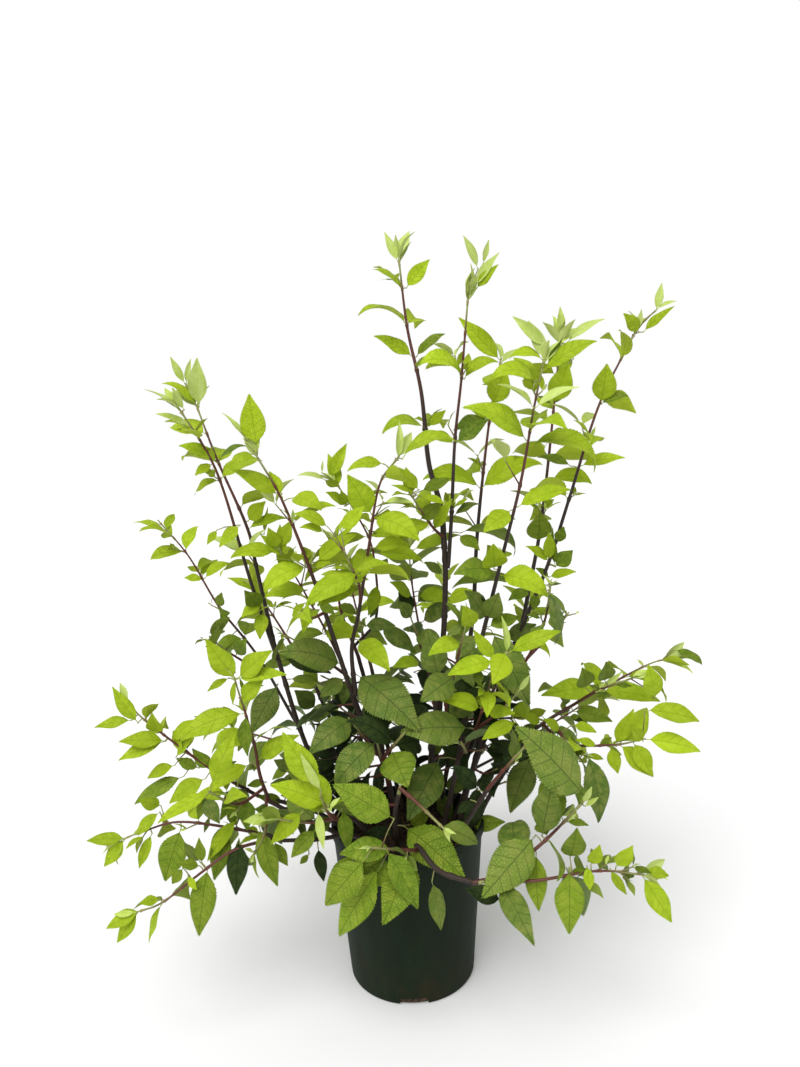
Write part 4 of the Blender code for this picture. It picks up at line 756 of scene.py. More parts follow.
def spray_stem(spray, habit, nodes, fine, length, lead, stems):
    """The stem's points, one at each node and some on its bare foot, with their radii."""
    foot = min(nodes)
    bare = int(foot / BARE_SPACING)
    marks = sorted({0.0, length, *nodes, *(foot * k / (bare + 1) for k in range(1, bare + 1))})
    foot_radius = foot_width(spray, stems)
    radii = [foot_radius + (habit.tip_radius - foot_radius) * mark / length for mark in marks]
    path = [path_point(fine, mark) for mark in marks]
    if lead:
        path.insert(1, path[0] + lead * SHOOT_LEAD)
        radii.insert(1, foot_radius)
    return path, radii


def spray_plan(spray, stems):
    """The stem of one spray, its side twigs and the leaves that it would like to have."""
    rng = random.Random(spray.name)
    habit = HABITS[spray.habit]
    start, lead = seat_foot(spray.seat, spray.way[0], stems)
    fine = smooth_path([start] + spray.way, FINE_SPACING)
    length = path_length(fine)
    nodes = spray_nodes(spray, habit, length, rng)
    path, radii = spray_stem(spray, habit, nodes, fine, length, lead, stems)
    leaves = []
    twigs = []
    for index, distance in enumerate(nodes):
        place, along = way_at(fine, distance, END_BUD)
        level = min(index, len(LEAF_OPENING) - 1)
        azimuth = math.radians(spray.phase + habit.turn * index + rng.uniform(*TURN_VARIES))
        for half in (0, math.pi):
            size = spray.leaf * LEAF_SIZE[level] * rng.uniform(*SIZE_VARIES)
            opening = math.radians(LEAF_OPENING[level] + rng.uniform(*OPENING_VARIES))
            bend = math.radians(habit.droop * LEAF_BEND[level] * rng.uniform(*BEND_VARIES))
            roll = math.radians(rng.uniform(*LEAF_ROLL)) * rng.choice((-1, 1))
            leaves.append(Leaf(place, along, azimuth + half, opening, habit.flatten, roll, bend, size, index))
        if index > 0 and rng.random() < habit.twig_chance:
            twigs.append(twig_plan(spray, place, along, azimuth + rng.choice((0, math.pi)), rng, leaves))
    return Plan(path, radii, twigs, leaves, fine, nodes)


def twig_plan(spray, place, along, azimuth, rng, leaves):
    """A short side twig from a leaf's axil, which ends in a small pair of its own."""
    out = leaf_matrix(place, along, azimuth, math.radians(TWIG_OPENING), 1.0, 0.0).to_3x3().col[0]
    end = place + out * spray.leaf * rng.uniform(*TWIG_REACH)
    direction = (out + Vector((0, 0, TWIG_RISE))).normalized()
    for half in (0, math.pi):
        size = spray.leaf * TWIG_LEAF * rng.uniform(*SIZE_VARIES)
        roll = math.radians(rng.uniform(*LEAF_ROLL)) * rng.choice((-1, 1))
        leaves.append(Leaf(end - out * LEAF_SINK, direction, azimuth + half + math.pi / 2,
                           math.radians(TWIG_OPENING), TWIG_FLATTEN, roll, math.radians(TWIG_BEND), size, 0))
    return [place, end]


def tried_pose(leaf, turn, lift):
    """A leaf's frame, turned and lifted by some degrees."""
    return leaf_matrix(leaf.place, leaf.along, leaf.azimuth + math.radians(turn),
                       leaf.opening - math.radians(lift), leaf.flatten, leaf.roll)


def placed_leaf(leaf, attempt, extra):
    """A leaf's frame and shape at one attempt, grown by some extra on all sides."""
    turn, lift, size = attempt
    length = leaf.length * size
    return tried_pose(leaf, turn, lift), *leaf_shape(length, length * LEAF_WIDTH, leaf.bend, extra)


def leaf_tree(frame, verts, faces):
    return BVHTree.FromPolygons([frame @ vert for vert in verts], faces)


def pot_shells():
    """The pot's outside and the top of the soil, as leaves must keep clear of them."""
    verts = []
    for height in (0.0, POT_HEIGHT + LIMB_CLEARANCE, SOIL_TOP + LIMB_CLEARANCE):
        for step in range(POT_STEPS):
            angle = math.tau * step / POT_STEPS
            reach = POT_RIM_RADIUS + LIMB_CLEARANCE
            verts.append((reach * math.cos(angle), reach * math.sin(angle), height))
    faces = [(k, (k + 1) % POT_STEPS, (k + 1) % POT_STEPS + POT_STEPS, k + POT_STEPS)
             for k in range(POT_STEPS)]
    faces.append(tuple(2 * POT_STEPS + k for k in range(POT_STEPS)))
    return BVHTree.FromPolygons(verts, faces)


def plan_plant():
    """The paths of all stems, the plans of all sprays and the group that each spray is fused in."""
    stems = {}
    for limb in LIMBS:
        stems[limb.name] = limb_path(limb, stems)
    plans = {}
    groups = {}
    for spray in SPRAYS:
        plans[spray.name] = spray_plan(spray, stems)
        stems[spray.name] = plans[spray.name][:2]
        groups[spray.name] = groups[spray.seat[1]] if spray.seat[0] == "spray" else spray.name
    return stems, plans, groups


# Room for leaves: what stands already, so that nothing grows through it

MOST_LEAVES = 6000
SKY_CORNERS = 8
SIGHT_STEP = 0.007
SIGHT_STEPS = 20
COVER_GAP = 0.002
COVER_REACH = 0.14


def moved_faces(faces, start):
    """Faces whose corners count on from the points that are there already."""
    return [tuple(start + corner for corner in face) for face in faces]


class Room:
    """The space that the stems and the leaves of a plant take."""

    def __init__(self, stems, plans, groups):
        self.obstacles = [(groups.get(name, name), stem_shell(*stem)) for name, stem in stems.items()]
        for name, plan in plans.items():
            self.obstacles += [(groups[name], stem_shell(twig, [TWIG_RADIUS] * 2)) for twig in plan.twigs]
        self.obstacles.append(("pot", pot_shells()))
        self.taken = []
        self.middles = np.zeros((MOST_LEAVES, 3))
        self.spans = np.zeros(MOST_LEAVES)
        self.sight_points, self.sight_faces = [], []
        self.seen_points, self.seen_faces = [], []
        self.feet = {}

    def blocked(self, tree, middle, reach, group, foot, same_node):
        """True if this shape meets another node's stem, or a leaf that isn't its own neighbour."""
        if any(owner != group and shell.overlap(tree) for owner, shell in self.obstacles):
            return True
        count = len(self.taken)
        apart = np.linalg.norm(self.middles[:count] - np.array(middle), axis=1)
        for index in np.flatnonzero(apart < reach + self.spans[:count]):
            owner, place, other = self.taken[index]
            if (owner != group or (place - foot).length > same_node) and other.overlap(tree):
                return True
        return False

    def take(self, middle, length, group, place, tree):
        """Notes the room that a leaf takes."""
        self.middles[len(self.taken)] = middle
        self.spans[len(self.taken)] = length * LEAF_REACH
        self.taken.append((group, place, tree))

    def place(self, leaf, group, tries, same_node=SAME_NODE):
        """The first attempt at a leaf that has room, which is then taken, or None."""
        for attempt in tries:
            pose, verts, faces = placed_leaf(leaf, attempt, LEAF_CLEARANCE)
            middle = pose @ verts[-1]
            tree = leaf_tree(pose, verts, faces)
            if not self.blocked(tree, middle, leaf.length, group, leaf.place, same_node):
                self.take(middle, leaf.length, group, leaf.place, leaf_tree(*placed_leaf(leaf, attempt, 0.0)))
                return attempt
        return None

    def take_shown(self, pose, length, breadth, bend, group):
        """Takes the room of a leaf without a test, and keeps the way from the camera to it free."""
        verts, faces = leaf_shape(length, length * breadth, bend)
        self.take(pose @ verts[-1], length, group, pose.translation, leaf_tree(pose, verts, faces))
        verts = [pose @ vert for vert in verts]
        self.seen_faces += moved_faces(faces, len(self.seen_points))
        self.seen_points += verts
        away = (CAMERA_PLACE - verts[-1]).length
        for step in range(1, SIGHT_STEPS + 1):
            share = SIGHT_STEP * step / away
            self.sight_faces += moved_faces(faces, len(self.sight_points))
            self.sight_points += [vert.lerp(CAMERA_PLACE, share) for vert in verts]

    def keep_sky(self, across, down, reach):
        """Keeps everything along one line of sight free, where the sky shows."""
        ring = [math.tau * corner / SKY_CORNERS for corner in range(SKY_CORNERS)]
        rim = [(across + reach * math.cos(turn), down + reach * math.sin(turn)) for turn in ring]
        for depth in np.arange(CAD_BOX[0][1], CAD_BOX[1][1], SIGHT_STEP):
            self.sight_faces += moved_faces([range(SKY_CORNERS)], len(self.sight_points))
            self.sight_points += [seen_place(pixel, depth) for pixel in rim]

    def close_sight(self):
        """Adds all that was kept free to what stands in the way of leaves."""
        self.obstacles.append(("sight", BVHTree.FromPolygons(self.sight_points, self.sight_faces)))
        self.seen_leaves = BVHTree.FromPolygons(self.seen_points, self.seen_faces)

    def covers(self, place):
        """True if this place hides a leaf that can be told apart."""
        way = (place - CAMERA_PLACE).normalized()
        return self.seen_leaves.ray_cast(place + way * COVER_GAP, way, COVER_REACH)[0] is not None

    def stem_blocked(self, path, radius, group):
        """True if a short stem would run through a leaf or another stem."""
        tree = stem_shell(path, [radius] * len(path))
        return self.blocked(tree, path[len(path) // 2], path_length(path), group, path[0], SAME_NODE)


# Growth finer than the solids have: young leaves at the tips, short shoots in the axils and weak shoots
# along the limbs

Stem = namedtuple("Stem", "path radii ages")
Blade = namedtuple("Blade", "pose length bend breadth fold curl wave twist quilt tone cell")
Bud = namedtuple("Bud", "place way size")
Grown = namedtuple("Grown", "limbs stems blades buds")

# How the leaves of each habit have grown beyond the solids' leaves, and where the dark heart of the bush is
LEAF_GROWTHS = {"cane": 1.06, "side": 0.90, "bush": 0.98, "old": 1.0}
# Leaves in the heart take the near-black shade tone, which is painted shade
HEART = (0.005, 0.005, 0.258)
HEART_REACH = (0.142, 0.118, 0.135)
# Within this depth a fresh leaf takes the darker deep tone, painted shade round the heart
HEART_EDGE = 1.35
WAVE_VARIES = (0.4, 1.3)

# Shoots as they are seen: how close their rings stand, and how much they swell at a node
STEM_STEP = 0.006
NODE_RINGS = (-0.004, -0.002, 0.0, 0.002, 0.004)
NODE_SWELL = 0.42
NODE_SPREAD = 0.0022
ROOT_SINK = 0.004
DROOP_EVEN = 0.75
DROOP_TIP = 0.45
MIDRIB_STEPS = 40

# Leaves that can be told apart: the twigs that carry them, and when a shoot is cut that hides one
STEM_POINTS = 80
FRONT_FIRST = 0.05
TWIG_SHORTEST = 0.0015
TWIG_ARCH = 0.08
STALK_SINK = 0.001
SHOWN_RADII = (0.0008, 0.0006)
SHOWN_AGE = 0.04
COVER_FROM = 0.25
COVER_SHARE = 0.5
KEPT_STEP = 0.002
KEPT_NEAR = 0.0045
BARE_END = 0.012
TIP_SLIMMER = 0.8

# The youngest pairs at a tip, and the short shoots and buds in the axils
FEW_TRIES = TRIES[:6]
TIP_SHARES = (0.62, 0.38)
TIP_LONGEST = 0.070
TIP_OLD_SHARE = 0.36
TIP_OPENINGS = (26, 14)
TIP_BENDS = (34, 20)
TIP_STEP = 0.0038
TIP_NODE = 0.016
AXIL_CHANCES = {"cane": 0.34, "side": 0.30, "bush": 0.34, "old": 0.22}
AXIL_SHARES = (0.24, 0.46)
AXIL_LENGTHS = (0.004, 0.018)
AXIL_OPENING = 38
AXIL_RADII = (0.0010, 0.0007)
AXIL_AGE = 0.06
AXIL_FLATTEN = 0.9
INNER_PAIR = 0.5
BUD_OUT = 0.0016
BUD_REACH = 0.004
BUD_SIZES = (0.0010, 0.0017)

# Weak shoots along the limbs
WEAK_FIRST = 0.045
WEAK_GAPS = (0.013, 0.025)
WEAK_LENGTHS = (0.030, 0.085)
WEAK_LEAVES = (0.044, 0.068)
WEAK_RADII = (0.0015, 0.0009)
WEAK_AGE = 0.08
WEAK_PAIRS = 4
WEAK_TRIES = 4
WEAK_SPREAD = 95
WEAK_RISES = (0.1, 0.9)
WEAK_ACROSS = 0.7
WEAK_ARCH = (-0.1, 0.25)
WEAK_EDGE = 1.2
WEAK_POT_TOP = 0.255
WEAK_POT_REACH = 0.085
WEAK_DARK_BELOW = 0.30
WEAK_TONES = (("mid", "mid", "old", "old", "young"), ("mid", "mid", "young", "old"))
WEAK_HABIT = Habit(0.021, 0.021, 84, 0.7, 0.0015, 0.0009, 0.0, 80)

# How old a stem looks at some distance from its tip: 0 is green and soft, 1 is dark wood
AGE_REACH = 0.26
LIMB_AGES = (0.86, 1.0)

# The tone of a leaf by the tone of its spray, from the youngest pair down
# The shade pairs are painted shade: near-black leaves that darken the inside of the bush
AGE_TONES = {
    "cane": ("tip", "lime", "lime", "lime", "lime", "fresh"),
    "young": ("lime", "lime", "lime", "lime", "fresh", "fresh"),
    "mid": ("fresh", "fresh", "fresh", "deep", "deep", "deep"),
    "old": ("deep", "deep", "shade", "deep", "deep", "shade"),
}

# The shape of a blade by tone: breadth, fold and curl in degrees and shares, wave, twist and pucker
TONE_SHAPES = {
    "tip": ((0.29, 0.37), (18, 38), (0.00, 0.12), 0.020, 10, 0.0008),
    "lime": ((0.35, 0.43), (8, 24), (0.06, 0.22), 0.026, 14, 0.0016),
    "fresh": ((0.40, 0.47), (6, 20), (0.08, 0.26), 0.026, 14, 0.0030),
    "deep": ((0.44, 0.50), (4, 16), (0.10, 0.28), 0.022, 12, 0.0052),
    "shade": ((0.42, 0.48), (4, 16), (0.10, 0.28), 0.022, 12, 0.0040),
}


def drawn_blade(pose, length, bend, tone, rng, breadth=None):
    """A blade whose shape is drawn by its tone. One that is given its breadth isn't twisted."""
    breadths, fold, curl, wave, twist, quilt = TONE_SHAPES[tone]
    free = breadth is None
    if free:
        breadth = rng.uniform(*breadths)
    fold = math.radians(rng.uniform(*fold))
    curl = rng.uniform(*curl)
    wave = (wave * rng.uniform(*WAVE_VARIES), rng.uniform(0, math.tau))
    twist = math.radians(rng.uniform(-twist, twist)) if free else 0.0
    cell = rng.randrange(MAP_COLUMNS * MAP_ROWS)
    return Blade(pose, length, bend, breadth, fold, curl, wave, twist, quilt, tone, cell)


def blade_of(leaf, attempt, tone, rng, growth=1.0):
    """A leaf as it is seen, from its planned place and the attempt that had room."""
    turn, lift, size = attempt
    pose = tried_pose(leaf, turn, lift)
    blade = drawn_blade(pose, leaf.length * size * growth, leaf.bend, tone, rng)
    if tone == "tip":
        return blade
    return blade._replace(tone=shaded(pose @ Vector((leaf.length / 2, 0, 0)), tone))


def drawn_leaf(rng, place, along, azimuth, opening, flatten, bend, length, age=0):
    """A leaf with its roll, opening, bend and length varied a little."""
    roll = math.radians(rng.uniform(*LEAF_ROLL)) * rng.choice((-1, 1))
    opening = math.radians(opening + rng.uniform(*OPENING_VARIES))
    bend = math.radians(bend * rng.uniform(*BEND_VARIES))
    length *= rng.uniform(*SIZE_VARIES)
    return Leaf(place, along, azimuth, opening, flatten, roll, bend, length, age)


def add_blade(blades, leaf, group, room, tone, rng, tries=TRIES, same_node=SAME_NODE, growth=1.0):
    """Adds a leaf to the blades if an attempt at it has room."""
    attempt = room.place(leaf, group, tries, same_node)
    if attempt:
        blades.append(blade_of(leaf, attempt, tone, rng, growth))


def heart_depth(place):
    """How deep in the bush a place is: less than 1 in its heart."""
    shares = [(here - heart) / reach for here, heart, reach in zip(place, HEART, HEART_REACH)]
    return math.sqrt(sum(share ** 2 for share in shares))


def shaded(middle, tone):
    """The tone that a leaf takes here, with painted shade: near-black in the heart, deep if fresh near it."""
    depth = heart_depth(middle)
    if depth < 1:
        return "shade"
    return "deep" if depth < HEART_EDGE and tone == "fresh" else tone


def stem_marks(length, nodes):
    """Where a stem has a ring: every few millimetres, and close round each node."""
    count = max(2, round(length / STEM_STEP))
    marks = {length * step / count for step in range(count)}
    marks |= {node + shift for node in nodes for shift in NODE_RINGS}
    return sorted(mark for mark in marks | {length} if 0 <= mark <= length)


def node_swelling(distance, nodes):
    return 1 + NODE_SWELL * sum(math.exp(-((distance - node) / NODE_SPREAD) ** 2) for node in nodes)


def seen_stem(fine, nodes, foot_radius, tip_radius, root=None, tip_age=0.0):
    """A shoot as it is seen: swollen at its nodes, green at its tip and darker towards its foot."""
    length = path_length(fine)
    marks = stem_marks(length, nodes)
    path = [path_point(fine, mark) for mark in marks]
    radii = [(foot_radius + (tip_radius - foot_radius) * mark / length) * node_swelling(mark, nodes)
             for mark in marks]
    ages = [min(1.0, tip_age + (length - mark) / AGE_REACH) for mark in marks]
    if root is not None:
        path.insert(0, root)
        radii.insert(0, radii[0])
        ages.insert(0, ages[0])
    return Stem(path, radii, ages)


def short_twig(start, end):
    """A straight side twig from its axil to the small leaves at its end."""
    return seen_stem([start, (start + end) / 2, end], (), *AXIL_RADII, tip_age=AXIL_AGE)


def root_point(spray, stems, start):
    """A point inside the stem that carries this one, so that the two are seen to be joined."""
    if spray.seat[0] == "spray":
        return None
    path = stems[spray.seat[1]][0]
    if spray.seat[0] == "side":
        return path_point(path, path_length(path) * spray.seat[2])
    return start - (path[-1] - path[-2]).normalized() * ROOT_SINK


def midrib_curve(bend, shares):
    """How far out and how high the midrib of a leaf one unit long is at these shares, and its tilt there."""
    steps = np.linspace(0, 1, MIDRIB_STEPS + 1)
    tilts = bend * (DROOP_EVEN * steps + DROOP_TIP * steps ** 3)
    run, fall = [np.concatenate([[0], np.cumsum((part[1:] + part[:-1]) / 2)]) / MIDRIB_STEPS
                 for part in (np.cos(tilts), np.sin(tilts))]
    return np.interp(shares, steps, run), -np.interp(shares, steps, fall), np.interp(shares, steps, tilts)


def carrier_depth(points, pixel):
    """How far back the stem is that is seen nearest to a pixel, the front one where several are."""
    apart = points - np.array(CAMERA_PLACE)
    apart = np.linalg.norm(np.cross(apart, np.array(sight_way(pixel).normalized())), axis=1)
    return points[np.argmin(apart + FRONT_FIRST * points[:, 1]), 1]


def shown_pose(shown, points):
    """The frame and the length of a leaf that bends from its base to its tip."""
    run, rise, _ = midrib_curve(math.radians(shown.bend), 1.0)
    depth = carrier_depth(points, shown.base) if shown.depth is None else shown.depth
    base = seen_place(shown.base, depth)
    chord = seen_place(shown.tip, depth - shown.nearer) - base
    ahead = chord.normalized()
    face = Vector(FACES[shown.face])
    upper = (face - ahead * face.dot(ahead)).normalized()
    drop = math.atan2(-rise, run)
    start = ahead * math.cos(drop) + upper * math.sin(drop)
    raised = upper * math.cos(drop) - ahead * math.sin(drop)
    frame = Matrix((start, raised.cross(start), raised)).transposed().to_4x4()
    frame.translation = base
    return frame, chord.length / math.hypot(run, rise)


def nearest_stem(paths, place):
    """The name of the stem that passes nearest to a place, and its nearest point."""
    found = []
    for name, path in paths.items():
        for a, b in zip(path, path[1:]):
            share = max(0.0, min(1.0, (place - a).dot(b - a) / (b - a).length_squared))
            found.append(((a.lerp(b, share) - place).length, name, a.lerp(b, share)))
    return min(found, key=lambda item: item[0])[1:]


def shown_growth(stems, plans, groups, room, rng):
    """The leaves that can be told apart, each on a stalk or a short twig from the nearest stem."""
    paths = {name: plans[name].fine if name in plans else stem[0] for name, stem in stems.items()}
    points = np.array([path_point(path, path_length(path) * step / STEM_POINTS)
                       for path in paths.values() for step in range(STEM_POINTS + 1)])
    blades, twigs = [], []
    for shown in SHOWN:
        pose, length = shown_pose(shown, points)
        bend = math.radians(shown.bend)
        base = pose.translation
        name, foot = nearest_stem(paths, base)
        room.feet.setdefault(name, []).append(foot)
        group = groups.get(name, name)
        room.take_shown(pose, length, shown.breadth, bend, group)
        blades.append(drawn_blade(pose, length, bend, shown.tone, rng, shown.breadth))
        if (base - foot).length > TWIG_SHORTEST:
            middle = foot.lerp(base, 0.5) + Vector((0, 0, TWIG_ARCH * (base - foot).length))
            path = [foot, middle, base + (base - middle).normalized() * STALK_SINK]
            twigs.append(seen_stem(path, (), *SHOWN_RADII, tip_age=SHOWN_AGE))
            room.obstacles.append((group, stem_shell(path, [SHOWN_RADII[0]] * len(path))))
    for spot in OPEN_SKY:
        room.keep_sky(*spot)
    room.close_sight()
    return blades, twigs


def grow_main(plans, groups, room, rng):
    """The leaves that the solids have, in the source's order, as blades."""
    sprays = {spray.name: spray for spray in SPRAYS}
    queue = [(order, name, leaf) for name, plan in plans.items() for order, leaf in enumerate(plan.leaves)]
    queue.sort(key=lambda item: item[0])
    blades = []
    for _, name, leaf in queue:
        spray = sprays[name]
        shades = AGE_TONES["cane" if spray.habit == "cane" else spray.tone]
        tone = shades[min(leaf.age, len(shades) - 1)]
        add_blade(blades, leaf, groups[name], room, tone, rng, growth=LEAF_GROWTHS[spray.habit])
    return blades


def tip_growth(spray, plan, room, group, rng):
    """The youngest pairs at a shoot's tip, each smaller and more upright than the one below."""
    along = (plan.fine[-1] - plan.fine[-2]).normalized()
    turn = HABITS[spray.habit].turn
    reach = min(spray.leaf, TIP_LONGEST) * (TIP_OLD_SHARE if spray.habit == "old" else 1.0)
    blades = []
    for index, share in enumerate(TIP_SHARES):
        place = plan.fine[-1] + along * TIP_STEP * index
        azimuth = math.radians(spray.phase - turn * (index + 1) + rng.uniform(*TURN_VARIES))
        for half in (0, math.pi):
            leaf = drawn_leaf(rng, place, along, azimuth + half, TIP_OPENINGS[index], 1.0, TIP_BENDS[index],
                              reach * share)
            add_blade(blades, leaf, group, room, "tip", rng, FEW_TRIES, TIP_NODE)
    return blades, plan.fine[-1] + along * TIP_STEP * (len(TIP_SHARES) - 1)


def axil_growth(spray, plan, room, group, rng):
    """Short shoots with a small pair of leaves in some of the axils below the tip, and buds in the others."""
    habit = HABITS[spray.habit]
    blades, stems, buds = [], [], []
    for index, distance in enumerate(plan.nodes):
        place, along = way_at(plan.fine, distance, END_BUD)
        azimuth = math.radians(spray.phase + habit.turn * index)
        for half in (0, math.pi):
            out = leaf_matrix(place, along, azimuth + half, math.radians(AXIL_OPENING), habit.flatten, 0.0)
            out = out.to_3x3().col[0]
            if index == 0 or rng.random() > AXIL_CHANCES[spray.habit]:
                buds.append(Bud(place + out * BUD_OUT, out, rng.uniform(*BUD_SIZES)))
                continue
            end = place + out * rng.uniform(*AXIL_LENGTHS)
            direction = (out + Vector((0, 0, TWIG_RISE))).normalized()
            grown = pair_of_leaves(end, direction, spray.leaf, room, group, rng, spray.tone)
            if grown:
                stems.append(short_twig(place, end))
                blades += grown
    return blades, stems, buds


def pair_of_leaves(end, direction, size, room, group, rng, tone):
    """A small pair with a tiny one inside it, at the end of a short shoot."""
    azimuth = rng.uniform(0, math.pi)
    size *= rng.uniform(*AXIL_SHARES)
    outer = "lime" if tone == "young" else "fresh"
    blades = []
    for index, (part, shade) in enumerate(((1.0, outer), (INNER_PAIR, "tip"))):
        for half in (0, math.pi):
            turn = azimuth + half + index * math.pi / 2
            leaf = drawn_leaf(rng, end - direction * STALK_SINK, direction, turn, TWIG_OPENING * part,
                              AXIL_FLATTEN, TWIG_BEND, size * part)
            add_blade(blades, leaf, group, room, shade, rng, FEW_TRIES, TIP_NODE)
    return blades


def weak_growth(limb, stems, room):
    """Weak shoots along a limb, which fill the lower part of the bush with leaves."""
    rng = random.Random(limb.name + " weak shoots")
    path = stems[limb.name][0]
    blades, shoots = [], []
    distance = WEAK_FIRST
    while distance < path_length(path) - NODE_FOOT:
        place, along = way_at(path, distance, SEAT_REACH)
        outward = math.atan2(place.y, place.x)
        name = "%s weak %d" % (limb.name, len(shoots))
        for _ in range(WEAK_TRIES):
            heading = outward + math.radians(rng.uniform(-WEAK_SPREAD, WEAK_SPREAD))
            way = Vector((math.cos(heading), math.sin(heading), rng.uniform(*WEAK_RISES)))
            way = (way - along * way.dot(along) * WEAK_ACROSS).normalized()
            reach = rng.uniform(*WEAK_LENGTHS)
            end = place + way * reach + Vector((0, 0, rng.uniform(*WEAK_ARCH))) * reach
            fine = smooth_path([place, place + way * reach * 0.5, end], FINE_SPACING)
            beside_pot = end.z < WEAK_POT_TOP and math.hypot(end.x, end.y) > WEAK_POT_REACH
            if beside_pot or heart_depth(end) > WEAK_EDGE:
                continue
            if room.stem_blocked(fine[1:], WEAK_RADII[0], limb.name):
                continue
            grown, nodes = weak_leaves(fine, rng, room, name, place.z)
            if grown:
                blades += grown
                shoots.append(seen_stem(fine, nodes, *WEAK_RADII, tip_age=WEAK_AGE))
                break
        distance += rng.uniform(*WEAK_GAPS)
    return blades, shoots


def weak_leaves(fine, rng, room, name, height):
    """Two to four pairs of leaves on a weak shoot, the lower ones larger and darker."""
    length = path_length(fine)
    phase = rng.uniform(0, 180)
    size = rng.uniform(*WEAK_LEAVES)
    tones = AGE_TONES[rng.choice(WEAK_TONES[height >= WEAK_DARK_BELOW])]
    blades, nodes = [], []
    back = END_BUD
    while len(nodes) < WEAK_PAIRS and length - back >= NODE_FOOT:
        level = len(nodes)
        place, along = way_at(fine, length - back, END_BUD)
        azimuth = math.radians(phase + WEAK_HABIT.turn * level + rng.uniform(*TURN_VARIES))
        for half in (0, math.pi):
            leaf = drawn_leaf(rng, place, along, azimuth + half, LEAF_OPENING[level], WEAK_HABIT.flatten,
                              WEAK_HABIT.droop * LEAF_BEND[level], size * LEAF_SIZE[level], level)
            add_blade(blades, leaf, name, room, tones[level], rng)
        nodes.append(length - back)
        back += WEAK_HABIT.gap * rng.uniform(*GAP_VARIES)
    return blades, nodes


def path_marks(fine):
    """Distances along a shoot a little apart, and the points there."""
    marks = np.arange(0.0, path_length(fine), KEPT_STEP)
    return marks, np.array([path_point(fine, mark) for mark in marks])


def open_plan(name, plans, room):
    """The plan of a shoot without the end of it that would hide a leaf that can be told apart."""
    plan = plans[name]
    length = path_length(plan.fine)
    marks, along = path_marks(plan.fine)

    def mark_of(place):
        return marks[np.argmin(np.linalg.norm(along - np.array(place), axis=1))]

    held = room.feet.get(name, []) + [plans[spray.name].fine[0] for spray in SPRAYS if spray.seat[1] == name]
    first = max([length * COVER_FROM] + [mark_of(place) + NODE_FOOT for place in held])
    hides = np.array([room.covers(Vector(place)) for place in along])
    cut = next((mark for index, mark in enumerate(marks)
                if mark > first and hides[index] and hides[index:].mean() > COVER_SHARE), None)
    if cut is None or length - cut < BARE_END:
        return plan
    fine = [path_point(plan.fine, mark) for mark in marks if mark < cut] + [path_point(plan.fine, cut)]
    return plan._replace(fine=fine, nodes=[node for node in plan.nodes if node < cut - END_BUD],
                         twigs=[twig for twig in plan.twigs if mark_of(twig[0]) < cut - END_BUD],
                         leaves=[leaf for leaf in plan.leaves if mark_of(leaf.place) < cut - END_BUD])


def kept_path(fine, places):
    """The part of a shoot up to a little beyond the last leaf or side shoot that it carries."""
    marks, along = path_marks(fine)
    near = np.linalg.norm(places[:, None] - along[None], axis=2).min(axis=0) < KEPT_NEAR
    last = marks[np.flatnonzero(near)[-1]] if near.any() else 0.0
    if path_length(fine) - last < BARE_END:
        return fine
    return [path_point(fine, mark) for mark in (*np.arange(0.0, last, KEPT_STEP), last + KEPT_STEP)]


def near_any(place, points):
    return any((place - point).length < BUD_REACH for point in points)


@functools.cache
def grown_plant():
    """The whole plant: its limbs, thin stems, leaves and buds."""
    stems, plans, groups = plan_plant()
    room = Room(stems, plans, groups)
    rng = random.Random("leaf shapes")
    blades, shoots = shown_growth(stems, plans, groups, room, random.Random("shown leaves"))
    plans = {name: open_plan(name, plans, room) for name in plans}
    blades += grow_main(plans, groups, room, rng)
    buds, tops = [], {}
    for spray in SPRAYS:
        own = random.Random(spray.name + " finer growth")
        tips, tops[spray.name] = tip_growth(spray, plans[spray.name], room, groups[spray.name], own)
        blades += tips
    for spray in SPRAYS:
        own = random.Random(spray.name + " axils")
        more, twigs, small = axil_growth(spray, plans[spray.name], room, groups[spray.name], own)
        blades += more
        shoots += twigs
        buds += small
    for limb in LIMBS:
        more, weak = weak_growth(limb, stems, room)
        blades += more
        shoots += weak
    bases = np.array([blade.pose.translation for blade in blades])
    for plan in plans.values():
        shoots += [short_twig(*twig) for twig in plan.twigs
                   if np.linalg.norm(bases - np.array(twig[1]), axis=1).min() < KEPT_NEAR]
    places = np.vstack([bases, [stem.path[0] for stem in shoots], [plan.fine[0] for plan in plans.values()]])
    bare = []
    for spray in SPRAYS:
        plan = plans[spray.name]
        fine = kept_path(plan.fine + [tops[spray.name]], places)
        length = path_length(fine)
        bare += [path_point(plan.fine, node) for node in plan.nodes if node > length]
        nodes = [node for node in plan.nodes if node < length]
        tip_radius = HABITS[spray.habit].tip_radius * TIP_SLIMMER
        root = root_point(spray, stems, plan.fine[0])
        shoots.append(seen_stem(fine, nodes, foot_width(spray, stems), tip_radius, root))
    buds = [bud for bud in buds if not near_any(bud.place, bare)]
    return Grown({limb.name: stems[limb.name] for limb in LIMBS}, shoots, blades, buds)


# Meshes from arrays

MAP_COLUMNS = 8
MAP_ROWS = 4
MAP_MARGIN = 0.02
MAP_SPAN = 1.15
MAP_FOOT = 0.08
LEAF_MAP = "LeafMap"
BAKE_MAP = "OFBake"

